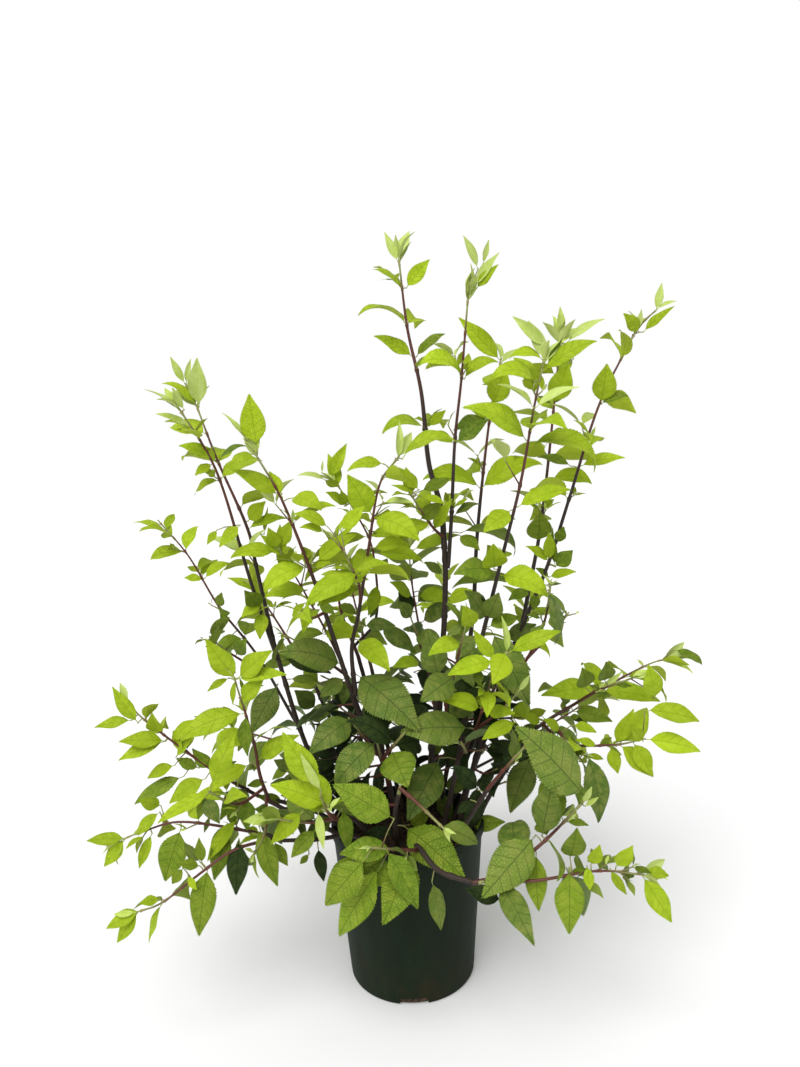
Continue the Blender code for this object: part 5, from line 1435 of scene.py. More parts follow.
PETIOLE = 0.075
PETIOLE_RADIUS = 0.0006
HERRINGBONE = 0.16
VEIN_FIRST = 0.03
VEIN_STEP = 0.154
OUTLINE = ((0.0, 0.0), (0.03, 0.18), (0.08, 0.41), (0.15, 0.67), (0.23, 0.87), (0.32, 0.98), (0.40, 1.0),
           (0.50, 0.95), (0.60, 0.82), (0.70, 0.62), (0.79, 0.41), (0.87, 0.23), (0.94, 0.09), (1.0, 0.0))
FULL_ROWS = 13
SMALL_ROWS = 5
SMALL_LEAF = 0.030
TOOTH = 0.085
TOOTH_LEAN = 0.86
TOOTH_FOOT = 0.12
EDGE_ROUNDS = 8
LAST_RIB = 0.955
GROOVE = -0.6
MIDRIB_GROOVE = -0.9
WAVE_LENGTH = 9
WAVE_OFFSET = 1.3
STALK_CORNERS = 3
STALK_TAPER = (1.25, 0.8)
STALK_LONGER = 1.15
STALK_LOWER = 0.4
STALK_FACES = ((0, 3, 4, 1), (1, 4, 5, 2), (2, 5, 3, 0))
STALK_STRIP = 0.05

Template = namedtuple("Template", "along across pucker faces petiole")


def edge_breadth(share):
    """The breadth of the blade at a rib that leaves the midrib at this share and runs forward to the edge."""
    breadth = 0.0
    shares, breadths = zip(*OUTLINE)
    for _ in range(EDGE_ROUNDS):
        breadth = float(np.interp(share + HERRINGBONE * breadth, shares, breadths))
    return breadth


def rib_pucker(row, lane, share):
    """How high a point of a rib stands between the veins: 1 on top of a pucker, less than 0 in a groove."""
    if lane == 0:
        return MIDRIB_GROOVE
    return (1.0 if row % 2 else GROOVE) * (1 - abs(abs(lane) - 0.5)) * min(1, 4 * share)


@functools.cache
def leaf_template(rows, columns, teeth):
    """A blade's points and faces: rows of ribs that run forward to a toothed edge.

    Along is a share of the blade, across a share of its half breadth, and pucker is 1 between the veins.
    """
    points, faces = [(0.0, 0.0, 0.0)], []
    lanes = [2 * lane / columns - 1 for lane in range(columns + 1)]
    for row in range(rows):
        share = VEIN_FIRST + (LAST_RIB - VEIN_FIRST) * row / (rows - 1)
        breadth = edge_breadth(share)
        points += [(share + HERRINGBONE * abs(lane) * breadth, lane * breadth, rib_pucker(row, lane, share))
                   for lane in lanes]
    tip = len(points)
    points.append((1.0, 0.0, 0.0))
    wide = columns + 1
    for lane in range(columns):
        faces.append((0, 1 + lane, 2 + lane))
        for row in range(rows - 1):
            a = 1 + row * wide + lane
            faces.append((a, a + wide, a + wide + 1, a + 1))
        last = 1 + (rows - 1) * wide + lane
        faces.append((last, tip, last + 1))
    for row in range(rows - 1):
        for lane, way in ((0, -1), (columns, 1)):
            a = 1 + row * wide + lane
            b = a + wide
            rim = [a, b]
            for tooth in reversed(range(teeth)):
                for lean, height in ((TOOTH_LEAN, TOOTH), (0.0, TOOTH * TOOTH_FOOT)):
                    if tooth == 0 and lean == 0.0:
                        continue
                    share = (tooth + lean) / teeth
                    along, across = [points[a][axis] + (points[b][axis] - points[a][axis]) * share
                                     for axis in (0, 1)]
                    rim.append(len(points))
                    points.append((along, across + way * height, 0.0))
            faces.append(tuple(rim[::way]))
    return Template(*np.array(points).T, faces, len(points))


def leaf_mesh_points(blade, template):
    """The blade's points in space: bent along its midrib, folded, curled at the edges, waved and twisted."""
    length = blade.length
    half = length * blade.breadth / 2
    share = PETIOLE + (1 - PETIOLE) * template.along
    across, away = template.across, np.abs(template.across)
    side = half * across * math.cos(blade.fold)
    wave, phase = blade.wave
    rise = half * (away * math.sin(blade.fold) - away ** 2 * blade.curl)
    rise += length * blade.quilt * template.pucker
    rise += length * wave * away ** 2 * np.sin(phase + share * WAVE_LENGTH + np.sign(across) * WAVE_OFFSET)
    turn = blade.twist * share
    side, rise = side * np.cos(turn) - rise * np.sin(turn), side * np.sin(turn) + rise * np.cos(turn)
    run, fall, tilt = midrib_curve(blade.bend, share)
    x = length * run + np.sin(tilt) * rise
    z = length * fall + np.cos(tilt) * rise
    stalk = []
    for end, taper in zip((0.0, PETIOLE * STALK_LONGER), STALK_TAPER):
        run, fall, bent = midrib_curve(blade.bend, end)
        for corner in range(STALK_CORNERS):
            angle = math.tau * corner / STALK_CORNERS + math.pi / 2
            lift = PETIOLE_RADIUS * math.sin(angle) * taper - PETIOLE_RADIUS * STALK_LOWER
            stalk.append((length * run + math.sin(bent) * lift, PETIOLE_RADIUS * math.cos(angle) * taper,
                          length * fall + math.cos(bent) * lift))
    local = np.vstack([np.column_stack([x, side, z]), np.array(stalk)])
    pose = np.array(blade.pose)
    return local @ pose[:3, :3].T + pose[:3, 3]


def leaf_map_places(blade, template):
    """Where each point of a leaf lies on the leaf map, in the cell that the leaf was dealt."""
    column, row = blade.cell % MAP_COLUMNS, blade.cell // MAP_COLUMNS
    across = np.concatenate([template.across, np.tile((-STALK_STRIP, 0.0, STALK_STRIP), 2)])
    along = np.concatenate([template.along, np.repeat((-MAP_FOOT, 0.0), STALK_CORNERS)])
    inside = 1 - 2 * MAP_MARGIN
    u = (column + 0.5 + inside / 2 * across / MAP_SPAN) / MAP_COLUMNS
    v = (row + MAP_MARGIN + inside * (along + MAP_FOOT) / (1 + MAP_FOOT)) / MAP_ROWS
    return np.column_stack([u, v])


def set_maps(mesh, places, names):
    """Gives a mesh UV maps of these names from one place for each corner."""
    flat = np.ascontiguousarray(places, np.float32).ravel()
    for name in names:
        mesh.uv_layers.new(name=name).uv.foreach_set("vector", flat)


def read_all(items, field, kind=np.int32):
    """One value of each item as an array."""
    values = np.empty(len(items), kind)
    items.foreach_get(field, values)
    return values


def give_values(mesh, label, values, kind="FLOAT"):
    """Stores a value or a vector at each point of a mesh."""
    layer = mesh.attributes.new(label, kind, "POINT")
    field = "vector" if kind == "FLOAT_VECTOR" else "value"
    layer.data.foreach_set(field, np.asarray(values, np.float32).ravel())


def piece_from(name, points, faces, finish, smooth=True):
    """A piece at the origin from points and faces in space."""
    mesh = bpy.data.meshes.new(name)
    mesh.from_pydata(np.asarray(points).tolist(), [], faces)
    mesh.materials.append(finish)
    if smooth:
        mesh.shade_smooth()
    return add_piece(name, mesh)


def add_piece(name, mesh):
    old = bpy.data.objects.get(name)
    if old:
        bpy.data.objects.remove(old)
    piece = bpy.data.objects.new(name, mesh)
    bpy.context.scene.collection.objects.link(piece)
    return piece


def dress(piece, nodes=()):
    """Puts a piece on the plant's body and hides the solids that it stands for."""
    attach(piece, BODY)
    if nodes:
        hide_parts(*nodes)
    return piece


def leaves_piece(name, blades, finish):
    """All the leaves of one tone as one mesh."""
    points, places, faces = [], [], []
    start = 0
    for blade in blades:
        small = blade.length < SMALL_LEAF
        template = leaf_template(SMALL_ROWS, 2, 1) if small else leaf_template(FULL_ROWS, 4, 2)
        points.append(leaf_mesh_points(blade, template))
        places.append(leaf_map_places(blade, template))
        faces += moved_faces(template.faces, start) + moved_faces(STALK_FACES, start + template.petiole)
        start += len(points[-1])
    piece = piece_from(name, np.vstack(points), faces, finish)
    corners = read_all(piece.data.loops, "vertex_index")
    set_maps(piece.data, np.vstack(places)[corners], (LEAF_MAP, BAKE_MAP))
    return piece


# Limbs with the relief of their bark

BARK_STEP = 0.0035
BARK_SIDES = 16
BARK_NODE_GAPS = (0.052, 0.078)
BARK_SWELL = 0.26
BARK_SPREAD = 0.0030
COLLAR_SWELL = {"soil": 0.30, "side": 0.5}
COLLAR_REACH = 0.012
FOOT_EASES = {"soil": 0.024, "side": 0.004}
BARK_FIRST = (0.02, 0.05)
BARK_LAST = 0.01
BARK_SHIFT = 50
SMOOTHER_TIP = 0.7
SLIM_FROM = 0.0027
SLIM_SHARE = 0.42
SOIL_SINK = 0.003
CAP_SHARE = 0.4

# The bark's noises: how fine they are round a limb and along it, and how far they stand out
LUMPS = (0.8, 34, 0.05)
RIDGES = (2.6, 16, 0.10)
GRAIN = (4.2, 120, 0.025)
CRACKS = (0.25, 0.08)

# Strips of the map, one to a limb or a thin stem: columns and rows, and what of a strip is left and used
LIMB_MAP = (7, 3)
STEM_MAP = (32, 40)
STRIP_MARGINS = (0.06, 0.02)


def foot_eased(fine, lead, ease):
    """A path whose foot runs straight along its lead before it turns into its curve."""
    eased = []
    distance = 0.0
    for index, place in enumerate(fine):
        if index:
            distance += (place - fine[index - 1]).length
        weight = max(0.0, 1 - distance / ease) ** 2
        eased.append(place.lerp(fine[0] + lead * distance, weight))
    return eased


def ring_frames(path):
    """Two directions across the path at each point, carried along it without a twist."""
    frames = []
    across = (path[1] - path[0]).orthogonal().normalized()
    for index in range(len(path)):
        along = (path[min(index + 1, len(path) - 1)] - path[max(index - 1, 0)]).normalized()
        across = (across - along * across.dot(along)).normalized()
        frames.append((across, along.cross(across)))
    return frames


def bark_relief(angle, distance, coarse, shift):
    """How far the bark stands out, as a share of the limb's radius: long ridges, cracks and lumps."""
    around = Vector((math.cos(angle), math.sin(angle), 0.0))
    lumps, ridges, grain = [noise.noise(around * fine + Vector((0, 0, distance * way)) + shift * turn)
                            for turn, (fine, way, _) in enumerate((LUMPS, RIDGES, GRAIN), 1)]
    relief = LUMPS[2] * lumps + coarse * (RIDGES[2] * ridges - CRACKS[1] * max(0.0, abs(ridges) - CRACKS[0]))
    return relief + GRAIN[2] * grain


def limb_surface(limb, stems):
    """A limb's points, faces, ages and places on its strip of the map."""
    rng = random.Random(limb.name + " bark")
    kind = limb.seat[0]
    start, lead = seat_foot(limb.seat, limb.way[0], stems)
    fine = foot_eased(smooth_path([start] + limb.way, BARK_STEP), lead, FOOT_EASES[kind])
    length = path_length(fine)
    nodes, spot = [], rng.uniform(*BARK_FIRST)
    while spot < length - BARK_LAST:
        nodes.append(spot)
        spot += rng.uniform(*BARK_NODE_GAPS)
    if kind == "soil":
        fine.insert(0, fine[0] - Vector((0, 0, SOIL_SINK)))
    else:
        carrier = stems[limb.seat[1]][0]
        fine.insert(0, path_point(carrier, path_length(carrier) * limb.seat[2]))
    shift = Vector([rng.uniform(-BARK_SHIFT, BARK_SHIFT) for _ in range(3)])
    points, ages, marks = [], [], []
    distance = 0.0
    for index, (place, (across, other)) in enumerate(zip(fine, ring_frames(fine))):
        if index:
            distance += (place - fine[index - 1]).length
        share = min(1.0, distance / length)
        radius = limb.foot_radius + (limb.tip_radius - limb.foot_radius) * share
        radius = min(radius, SLIM_FROM + (radius - SLIM_FROM) * SLIM_SHARE)
        radius *= 1 + BARK_SWELL * sum(math.exp(-((distance - node) / BARK_SPREAD) ** 2) for node in nodes)
        radius *= 1 + COLLAR_SWELL[kind] * math.exp(-distance / COLLAR_REACH)
        for corner in range(BARK_SIDES):
            angle = math.tau * corner / BARK_SIDES
            reach = radius * (1 + bark_relief(angle, distance, 1.0 - SMOOTHER_TIP * share, shift))
            points.append(place + (across * math.cos(angle) + other * math.sin(angle)) * reach)
        ages += [LIMB_AGES[1] + (LIMB_AGES[0] - LIMB_AGES[1]) * share] * BARK_SIDES
        marks.append(share)
    faces, places = [], []
    last = len(fine) - 1
    for ring in range(last):
        for corner in range(BARK_SIDES):
            a, b = ring * BARK_SIDES + corner, ring * BARK_SIDES + (corner + 1) % BARK_SIDES
            faces.append((a, b, b + BARK_SIDES, a + BARK_SIDES))
            u, v = corner / BARK_SIDES, (corner + 1) / BARK_SIDES
            places += [(u, marks[ring]), (v, marks[ring]), (v, marks[ring + 1]), (u, marks[ring + 1])]
    for ring, turn in ((0, -1), (last, 1)):
        faces.append(tuple(ring * BARK_SIDES + corner for corner in range(BARK_SIDES))[::turn])
        places += [(0.5 + CAP_SHARE * math.cos(math.tau * corner / BARK_SIDES), marks[ring])
                   for corner in range(BARK_SIDES)][::turn]
    return points, faces, ages, places


def strip_places(index, around, along, columns, rows):
    """Places on one strip of a map that is shared out in columns and rows."""
    side, end = STRIP_MARGINS
    u = (index % columns + side + (1 - 2 * side) * around) / columns
    v = (index // columns % rows + end + (1 - 2 * end) * along) / rows
    return np.column_stack([u, v])


def limbs_piece(name, stems, finish):
    points, faces, ages, places = [], [], [], []
    for index, limb in enumerate(LIMBS):
        more, sides, old, spots = limb_surface(limb, stems)
        faces += moved_faces(sides, len(points))
        points += more
        ages += old
        places.append(strip_places(index, *np.array(spots).T, *LIMB_MAP))
    piece = piece_from(name, [tuple(point) for point in points], faces, finish)
    give_values(piece.data, "age", ages)
    set_maps(piece.data, np.vstack(places), (BAKE_MAP,))
    return piece


# Geometry Nodes

def fill(tree, made, inputs):
    """Fills a node's inputs from values or from other nodes' outputs."""
    for key, value in inputs.items():
        if isinstance(value, bpy.types.NodeSocket):
            tree.links.new(value, made.inputs[key])
        else:
            made.inputs[key].default_value = value


def node(tree, kind, inputs=None, **settings):
    """Adds a node, sets its fields and fills its inputs."""
    made = tree.nodes.new(kind)
    for field, value in settings.items():
        setattr(made, field, value)
    fill(tree, made, inputs or {})
    return made


def shape_tree(name, sockets):
    """A Geometry Nodes tree with these named inputs after its geometry, and its two end nodes."""
    old = bpy.data.node_groups.get(name)
    if old:
        bpy.data.node_groups.remove(old)
    tree = bpy.data.node_groups.new(name, "GeometryNodeTree")
    tree.interface.new_socket("Geometry", in_out="INPUT", socket_type="NodeSocketGeometry")
    for label, kind in sockets:
        tree.interface.new_socket(label, in_out="INPUT", socket_type="NodeSocket" + kind)
    tree.interface.new_socket("Geometry", in_out="OUTPUT", socket_type="NodeSocketGeometry")
    return tree, node(tree, "NodeGroupInput"), node(tree, "NodeGroupOutput")


def finish_tree(tree, given, out, geometry):
    """Ends a tree with its instances realized and its material set."""
    real = node(tree, "GeometryNodeRealizeInstances", {"Geometry": geometry})
    smooth = node(tree, "GeometryNodeSetShadeSmooth", {"Geometry": real.outputs[0]})
    paint = node(tree, "GeometryNodeSetMaterial",
                 {"Geometry": smooth.outputs[0], "Material": given.outputs["Finish"]})
    tree.links.new(paint.outputs[0], out.inputs[0])


def grown_mesh(name, mesh, tree, values):
    """The plain mesh that a tree makes from a mesh, with the modifier's inputs set by identifier."""
    carrier = bpy.data.objects.new(name + "_carrier", mesh)
    bpy.context.scene.collection.objects.link(carrier)
    grow = carrier.modifiers.new("grow", "NODES")
    grow.node_group = tree
    for item in tree.interface.items_tree:
        if item.item_type == "SOCKET" and item.in_out == "INPUT" and item.name in values:
            grow[item.identifier] = values[item.name]
    graph = bpy.context.evaluated_depsgraph_get()
    made = bpy.data.meshes.new_from_object(carrier.evaluated_get(graph))
    carrier.modifiers.remove(grow)
    bpy.data.objects.remove(carrier)
    made.name = name
    return made


def stored_spot(tree, geometry, label):
    """Stores how far along its curve each point is, under this name."""
    spot = node(tree, "GeometryNodeSplineParameter")
    return node(tree, "GeometryNodeStoreNamedAttribute",
                {"Geometry": geometry, "Name": label, "Value": spot.outputs["Factor"]},
                data_type="FLOAT", domain="POINT").outputs[0]


def named_value(tree, label, kind="FLOAT"):
    return node(tree, "GeometryNodeInputNamedAttribute", {"Name": label}, data_type=kind).outputs["Attribute"]


def stem_tree():
    """Tubes along the edges of a mesh, as thick as its points say."""
    tree, given, out = shape_tree("Stem Tubes", (("Sides", "Int"), ("Finish", "Material")))
    line = node(tree, "GeometryNodeMeshToCurve", {"Mesh": given.outputs["Geometry"]})
    ring = node(tree, "GeometryNodeCurvePrimitiveCircle",
                {"Resolution": given.outputs["Sides"], "Radius": 1.0})
    tube = node(tree, "GeometryNodeCurveToMesh",
                {"Curve": stored_spot(tree, line.outputs[0], "along"),
                 "Profile Curve": stored_spot(tree, ring.outputs[0], "around"),
                 "Scale": named_value(tree, "thickness"), "Fill Caps": True})
    finish_tree(tree, given, out, tube.outputs[0])
    return tree


def bud_tree():
    """A pointed bud on each point of a mesh, turned along the way that the point says."""
    tree, given, out = shape_tree("Node Buds", (("Length", "Float"), ("Finish", "Material")))
    ball = node(tree, "GeometryNodeMeshUVSphere", {"Segments": 6, "Rings": 5, "Radius": 1.0})
    spot = node(tree, "GeometryNodeInputPosition")
    parts = node(tree, "ShaderNodeSeparateXYZ", {"Vector": spot.outputs[0]})
    narrow = node(tree, "ShaderNodeMapRange", {"Value": parts.outputs["Z"], "From Min": -1.0, "From Max": 1.0,
                                               "To Min": 0.75, "To Max": 0.25})
    shape = node(tree, "ShaderNodeCombineXYZ", {"X": narrow.outputs[0], "Y": narrow.outputs[0],
                                                "Z": given.outputs["Length"]})
    pointed = node(tree, "ShaderNodeVectorMath", {0: spot.outputs[0], 1: shape.outputs[0]},
                   operation="MULTIPLY")
    bud = node(tree, "GeometryNodeSetPosition", {"Geometry": ball.outputs[0], "Position": pointed.outputs[0]})
    turn = node(tree, "FunctionNodeAlignRotationToVector",
                {"Vector": named_value(tree, "way", "FLOAT_VECTOR")}, axis="Z")
    spots = node(tree, "GeometryNodeMeshToPoints", {"Mesh": given.outputs["Geometry"]})
    buds = node(tree, "GeometryNodeInstanceOnPoints",
                {"Points": spots.outputs[0], "Instance": bud.outputs[0], "Rotation": turn.outputs[0],
                 "Scale": named_value(tree, "size")})
    finish_tree(tree, given, out, buds.outputs[0])
    return tree


def crumb_tree():
    """Lumpy crumbs strewn over a surface, each its own size and turn, half sunk in it."""
    tree, given, out = shape_tree(
        "Soil Crumbs",
        (("Density", "Float"), ("Smallest", "Float"), ("Largest", "Float"), ("Seed", "Int"),
         ("Finish", "Material")))
    strewn = node(tree, "GeometryNodeDistributePointsOnFaces",
                  {"Mesh": given.outputs["Geometry"], "Density": given.outputs["Density"],
                   "Seed": given.outputs["Seed"]})
    lump = node(tree, "GeometryNodeMeshIcoSphere", {"Radius": 1.0, "Subdivisions": 2})
    rough = node(tree, "ShaderNodeTexNoise", {"Scale": 1.3, "Detail": 1.0}, noise_dimensions="3D")
    lift = node(tree, "ShaderNodeMapRange", {"Value": rough.outputs["Fac"], "From Min": 0.3, "From Max": 0.7,
                                             "To Min": -0.45, "To Max": 0.35})
    spot = node(tree, "GeometryNodeInputPosition")
    push = node(tree, "ShaderNodeVectorMath", {0: spot.outputs[0], "Scale": lift.outputs[0]},
                operation="SCALE")
    crumb = node(tree, "GeometryNodeSetPosition", {"Geometry": lump.outputs[0], "Offset": push.outputs[0]})
    turn = node(tree, "FunctionNodeRandomValue", {"Seed": given.outputs["Seed"]}, data_type="FLOAT_VECTOR")
    turn.inputs["Max"].default_value = (math.tau, math.tau, math.tau)
    spin = node(tree, "FunctionNodeEulerToRotation", {"Euler": turn.outputs[0]})
    size = node(tree, "FunctionNodeRandomValue", data_type="FLOAT")
    for label, end in (("Min", "Smallest"), ("Max", "Largest")):
        socket = next(item for item in size.inputs if item.name == label and item.type == "VALUE")
        tree.links.new(given.outputs[end], socket)
    even = node(tree, "ShaderNodeCombineXYZ", dict.fromkeys("XYZ", size.outputs[1]))
    crumbs = node(tree, "GeometryNodeInstanceOnPoints",
                  {"Points": strewn.outputs["Points"], "Instance": crumb.outputs[0],
                   "Rotation": spin.outputs[0], "Scale": even.outputs[0]})
    finish_tree(tree, given, out, crumbs.outputs[0])
    return tree


def stems_piece(name, stems, sides, finish):
    """All thin stems as one mesh of tubes."""
    points, edges, thick, ages, owners = [], [], [], [], []
    for index, stem in enumerate(stems):
        start = len(points)
        points += [tuple(point) for point in stem.path]
        edges += [(start + step, start + step + 1) for step in range(len(stem.path) - 1)]
        thick += stem.radii
        ages += stem.ages
        owners += [index] * len(stem.path)
    mesh = bpy.data.meshes.new(name)
    mesh.from_pydata(points, edges, [])
    for label, values in (("thickness", thick), ("age", ages), ("owner", owners)):
        give_values(mesh, label, values)
    made = grown_mesh(name, mesh, stem_tree(), {"Sides": sides, "Finish": finish})
    set_maps(made, tube_places(made), (BAKE_MAP,))
    for label in ("thickness", "owner", "along", "around"):
        made.attributes.remove(made.attributes[label])
    return add_piece(name, made)


def tube_places(mesh):
    """Places on the map for tubes: each stem has its own strip, unrolled where its section closes."""
    corners = read_all(mesh.loops, "vertex_index")
    owner, along, around = [read_all(mesh.attributes[label].data, "value", np.float32)[corners]
                            for label in ("owner", "along", "around")]
    starts, counts = read_all(mesh.polygons, "loop_start"), read_all(mesh.polygons, "loop_total")
    face = np.repeat(np.arange(len(starts)), counts)
    widest = np.maximum.reduceat(around, starts)[face]
    side = (counts == 4)[face]
    around = np.where(side & (around < 0.01) & (widest > 0.5), 1.0, around)
    return strip_places(owner.round().astype(int), around, along, *STEM_MAP)


def buds_piece(name, buds, length, finish):
    mesh = bpy.data.meshes.new(name)
    mesh.from_pydata([tuple(bud.place) for bud in buds], [], [])
    give_values(mesh, "way", [tuple(bud.way) for bud in buds], "FLOAT_VECTOR")
    give_values(mesh, "size", [bud.size for bud in buds])
    return add_piece(name, grown_mesh(name, mesh, bud_tree(), {"Length": length, "Finish": finish}))


# Pot and soil

FLOOR_ROUND = 0.0025
RIM_INNER_ROUND = 0.0010
RIM_OUTER_ROUND = 0.0012
LIP_ROUND = 0.0008
STEP_ROUND = 0.0010


def pot_outer_radius(height):
    return POT_FOOT_RADIUS + (POT_RIM_RADIUS - POT_LIP_DEPTH - POT_FOOT_RADIUS) * height / POT_HEIGHT


def pot_inner_radius(height):
    return pot_outer_radius(height) - POT_WALL


def turned_shape(profile, steps):
    """A bmesh turned from a profile of (radius, height) points that starts and ends on the Z axis."""
    shape = bmesh.new()
    verts = [shape.verts.new((radius, 0.0, height)) for radius, height in profile]
    edges = [shape.edges.new(pair) for pair in zip(verts, verts[1:])]
    bmesh.ops.spin(shape, geom=verts + edges, cent=(0, 0, 0), axis=(0, 0, 1), angle=math.tau, steps=steps,
                   use_merge=True, use_duplicate=False)
    bmesh.ops.remove_doubles(shape, verts=shape.verts, dist=1e-6)
    bmesh.ops.recalc_face_normals(shape, faces=shape.faces)
    return shape


def rounded(corner, before, after, radius, steps=4):
    """Points that round a corner of a profile, between the points before and after it."""
    corner, before, after = Vector(corner), Vector(before), Vector(after)
    start = corner + (before - corner).normalized() * radius
    end = corner + (after - corner).normalized() * radius
    points = []
    for step in range(steps + 1):
        share = step / steps
        points.append(tuple(start.lerp(corner, share).lerp(corner.lerp(end, share), share)))
    return points


def pot_profile():
    """The pot's section: floor, inner wall, rolled rim, lip, outer wall with a stacking step, round foot."""
    lip_bottom = POT_HEIGHT - POT_LIP_HEIGHT
    corners = [
        ((0.0, POT_FLOOR), 0),
        ((pot_inner_radius(POT_FLOOR), POT_FLOOR), FLOOR_ROUND),
        ((pot_inner_radius(POT_HEIGHT), POT_HEIGHT), RIM_INNER_ROUND),
        ((POT_RIM_RADIUS, POT_HEIGHT), RIM_OUTER_ROUND),
        ((POT_RIM_RADIUS, lip_bottom), LIP_ROUND),
        ((pot_outer_radius(lip_bottom), lip_bottom - POT_LIP_DEPTH), STEP_ROUND),
        ((POT_FOOT_RADIUS, 0.0), POT_FOOT_ROUND),
        ((0.0, 0.0), 0),
    ]
    points = [corners[0][0]]
    for (before, _), (corner, radius), (after, _) in zip(corners, corners[1:], corners[2:]):
        points += rounded(corner, before, after, radius)
    points.append(corners[-1][0])
    return points


NOTCH_ROUND = 0.003
NOTCH_BELOW = 0.004
POT_SHARP = math.radians(40)


def notch_shape(angle, width, height):
    """A rounded slot that cuts the pot's foot from the side."""
    half = width / 2
    outline = [(-half, -NOTCH_BELOW), (half, -NOTCH_BELOW)]
    outline += rounded((half, height), (half, 0), (0, height), NOTCH_ROUND)
    outline += rounded((-half, height), (0, height), (-half, 0), NOTCH_ROUND)
    shape = bmesh.new()
    near = [shape.verts.new((POT_FOOT_RADIUS - NOTCH_DEPTH / 2, y, z)) for y, z in outline]
    far = [shape.verts.new((POT_FOOT_RADIUS + NOTCH_DEPTH / 2, y, z)) for y, z in outline]
    shape.faces.new(near)
    shape.faces.new(far[::-1])
    for index in range(len(outline)):
        after = (index + 1) % len(outline)
        shape.faces.new((near[index], far[index], far[after], near[after]))
    bmesh.ops.recalc_face_normals(shape, faces=shape.faces)
    bmesh.ops.rotate(shape, verts=shape.verts, cent=(0, 0, 0), matrix=Matrix.Rotation(angle, 3, "Z"))
    return shape


def object_from(name, shape):
    mesh = bpy.data.meshes.new(name)
    shape.to_mesh(mesh)
    shape.free()
    return add_piece(name, mesh)


def cut_pot(name, steps, width, height):
    """The turned pot with its drain slots cut by Booleans, as a plain mesh."""
    pot = object_from(name, turned_shape(pot_profile(), steps))
    cutters = []
    for index in range(NOTCH_COUNT):
        angle = math.radians(-90 + 360 / NOTCH_COUNT * index)
        cutter = object_from("slot_%d" % index, notch_shape(angle, width, height))
        cutters.append(cutter)
        cut = pot.modifiers.new("slot", "BOOLEAN")
        cut.operation = "DIFFERENCE"
        cut.object = cutter
    graph = bpy.context.evaluated_depsgraph_get()
    mesh = bpy.data.meshes.new_from_object(pot.evaluated_get(graph))
    for spare in cutters + [pot]:
        data = spare.data
        bpy.data.objects.remove(spare)
        bpy.data.meshes.remove(data)
    mesh.shade_smooth()
    mesh.set_sharp_from_angle(angle=POT_SHARP)
    return add_piece(name, mesh)


SOIL_RINGS = 26
SOIL_STEPS = 96
SOIL_BUMPS = 0.0026
SOIL_MOUND = 0.004
MOUND_SHARE = 0.3
LUMP_SHARE = 0.6
SOIL_NOISES = ((55, 3.0), (140, 8.0), (420, 5.0))
MIDDLING_SHARE = 0.5
FINE_SHARE = 0.35
SOIL_EDGE = 0.02
SOIL_LOWER = 0.0006
SOIL_SHARP = math.radians(60)
CRUMB_MARGIN = 0.003
CRUMB_RINGS = 8
CRUMB_STEPS = 32


def soil_height(x, y, radius):
    """The soil's surface: mounded a little to the middle, lumpy, and level with the solid at its edge."""
    away = math.hypot(x, y)
    edge = min(1.0, (radius - away) / SOIL_EDGE)
    coarse, middling, fine = [noise.noise(Vector((x * turns, y * turns, level)))
                              for turns, level in SOIL_NOISES]
    mound = SOIL_MOUND * (1 - away / radius) * MOUND_SHARE
    lumps = SOIL_BUMPS * (coarse + MIDDLING_SHARE * middling) * LUMP_SHARE
    return SOIL_TOP + (mound + lumps) * edge + SOIL_BUMPS * (FINE_SHARE * fine) * edge - SOIL_LOWER


def soil_shape():
    """A closed plug of soil with a lumpy top."""
    top = pot_inner_radius(SOIL_TOP) - GAP
    bottom = pot_inner_radius(POT_FLOOR) - GAP
    low = POT_FLOOR + GAP
    profile = [(top * ring / SOIL_RINGS, SOIL_TOP) for ring in range(SOIL_RINGS + 1)]
    profile += [(bottom, low), (0.0, low)]
    shape = turned_shape(profile, SOIL_STEPS)
    for vert in shape.verts:
        if vert.co.z > SOIL_TOP - 1e-5:
            vert.co.z = soil_height(vert.co.x, vert.co.y, top)
    return shape


def crumb_bed(name):
    """The surface that crumbs lie on, with its faces in one fixed order so that each run strews the same."""
    top = pot_inner_radius(SOIL_TOP)
    turns = [math.tau * step / CRUMB_STEPS for step in range(CRUMB_STEPS)]
    reaches = [(top - CRUMB_MARGIN) * ring / CRUMB_RINGS for ring in range(1, CRUMB_RINGS + 1)]
    spots = [(0.0, 0.0)]
    spots += [(reach * math.cos(turn), reach * math.sin(turn)) for reach in reaches for turn in turns]
    faces = []
    for step in range(CRUMB_STEPS):
        after = (step + 1) % CRUMB_STEPS
        faces.append((0, 1 + step, 1 + after))
        for low in range(1, len(spots) - CRUMB_STEPS, CRUMB_STEPS):
            high = low + CRUMB_STEPS
            faces.append((low + step, high + step, high + after, low + after))
    mesh = bpy.data.meshes.new(name)
    mesh.from_pydata([(x, y, soil_height(x, y, top)) for x, y in spots], [], faces)
    return mesh


# Finishes

def shader_group(name, inputs, outputs):
    """A shader node group with named sockets, built once, and its two end nodes."""
    tree = bpy.data.node_groups.new(name, "ShaderNodeTree")
    for label, kind, value in inputs:
        socket = tree.interface.new_socket(label, in_out="INPUT", socket_type="NodeSocket" + kind)
        if value is not None:
            socket.default_value = value
    for label, kind in outputs:
        tree.interface.new_socket(label, in_out="OUTPUT", socket_type="NodeSocket" + kind)
    return tree, node(tree, "NodeGroupInput"), node(tree, "NodeGroupOutput")


def maths(tree, operation, *values):
    return node(tree, "ShaderNodeMath", dict(enumerate(values)), operation=operation).outputs[0]


def times(tree, first, second):
    return maths(tree, "MULTIPLY", first, second)


def minus(tree, first, second):
    return maths(tree, "SUBTRACT", first, second)


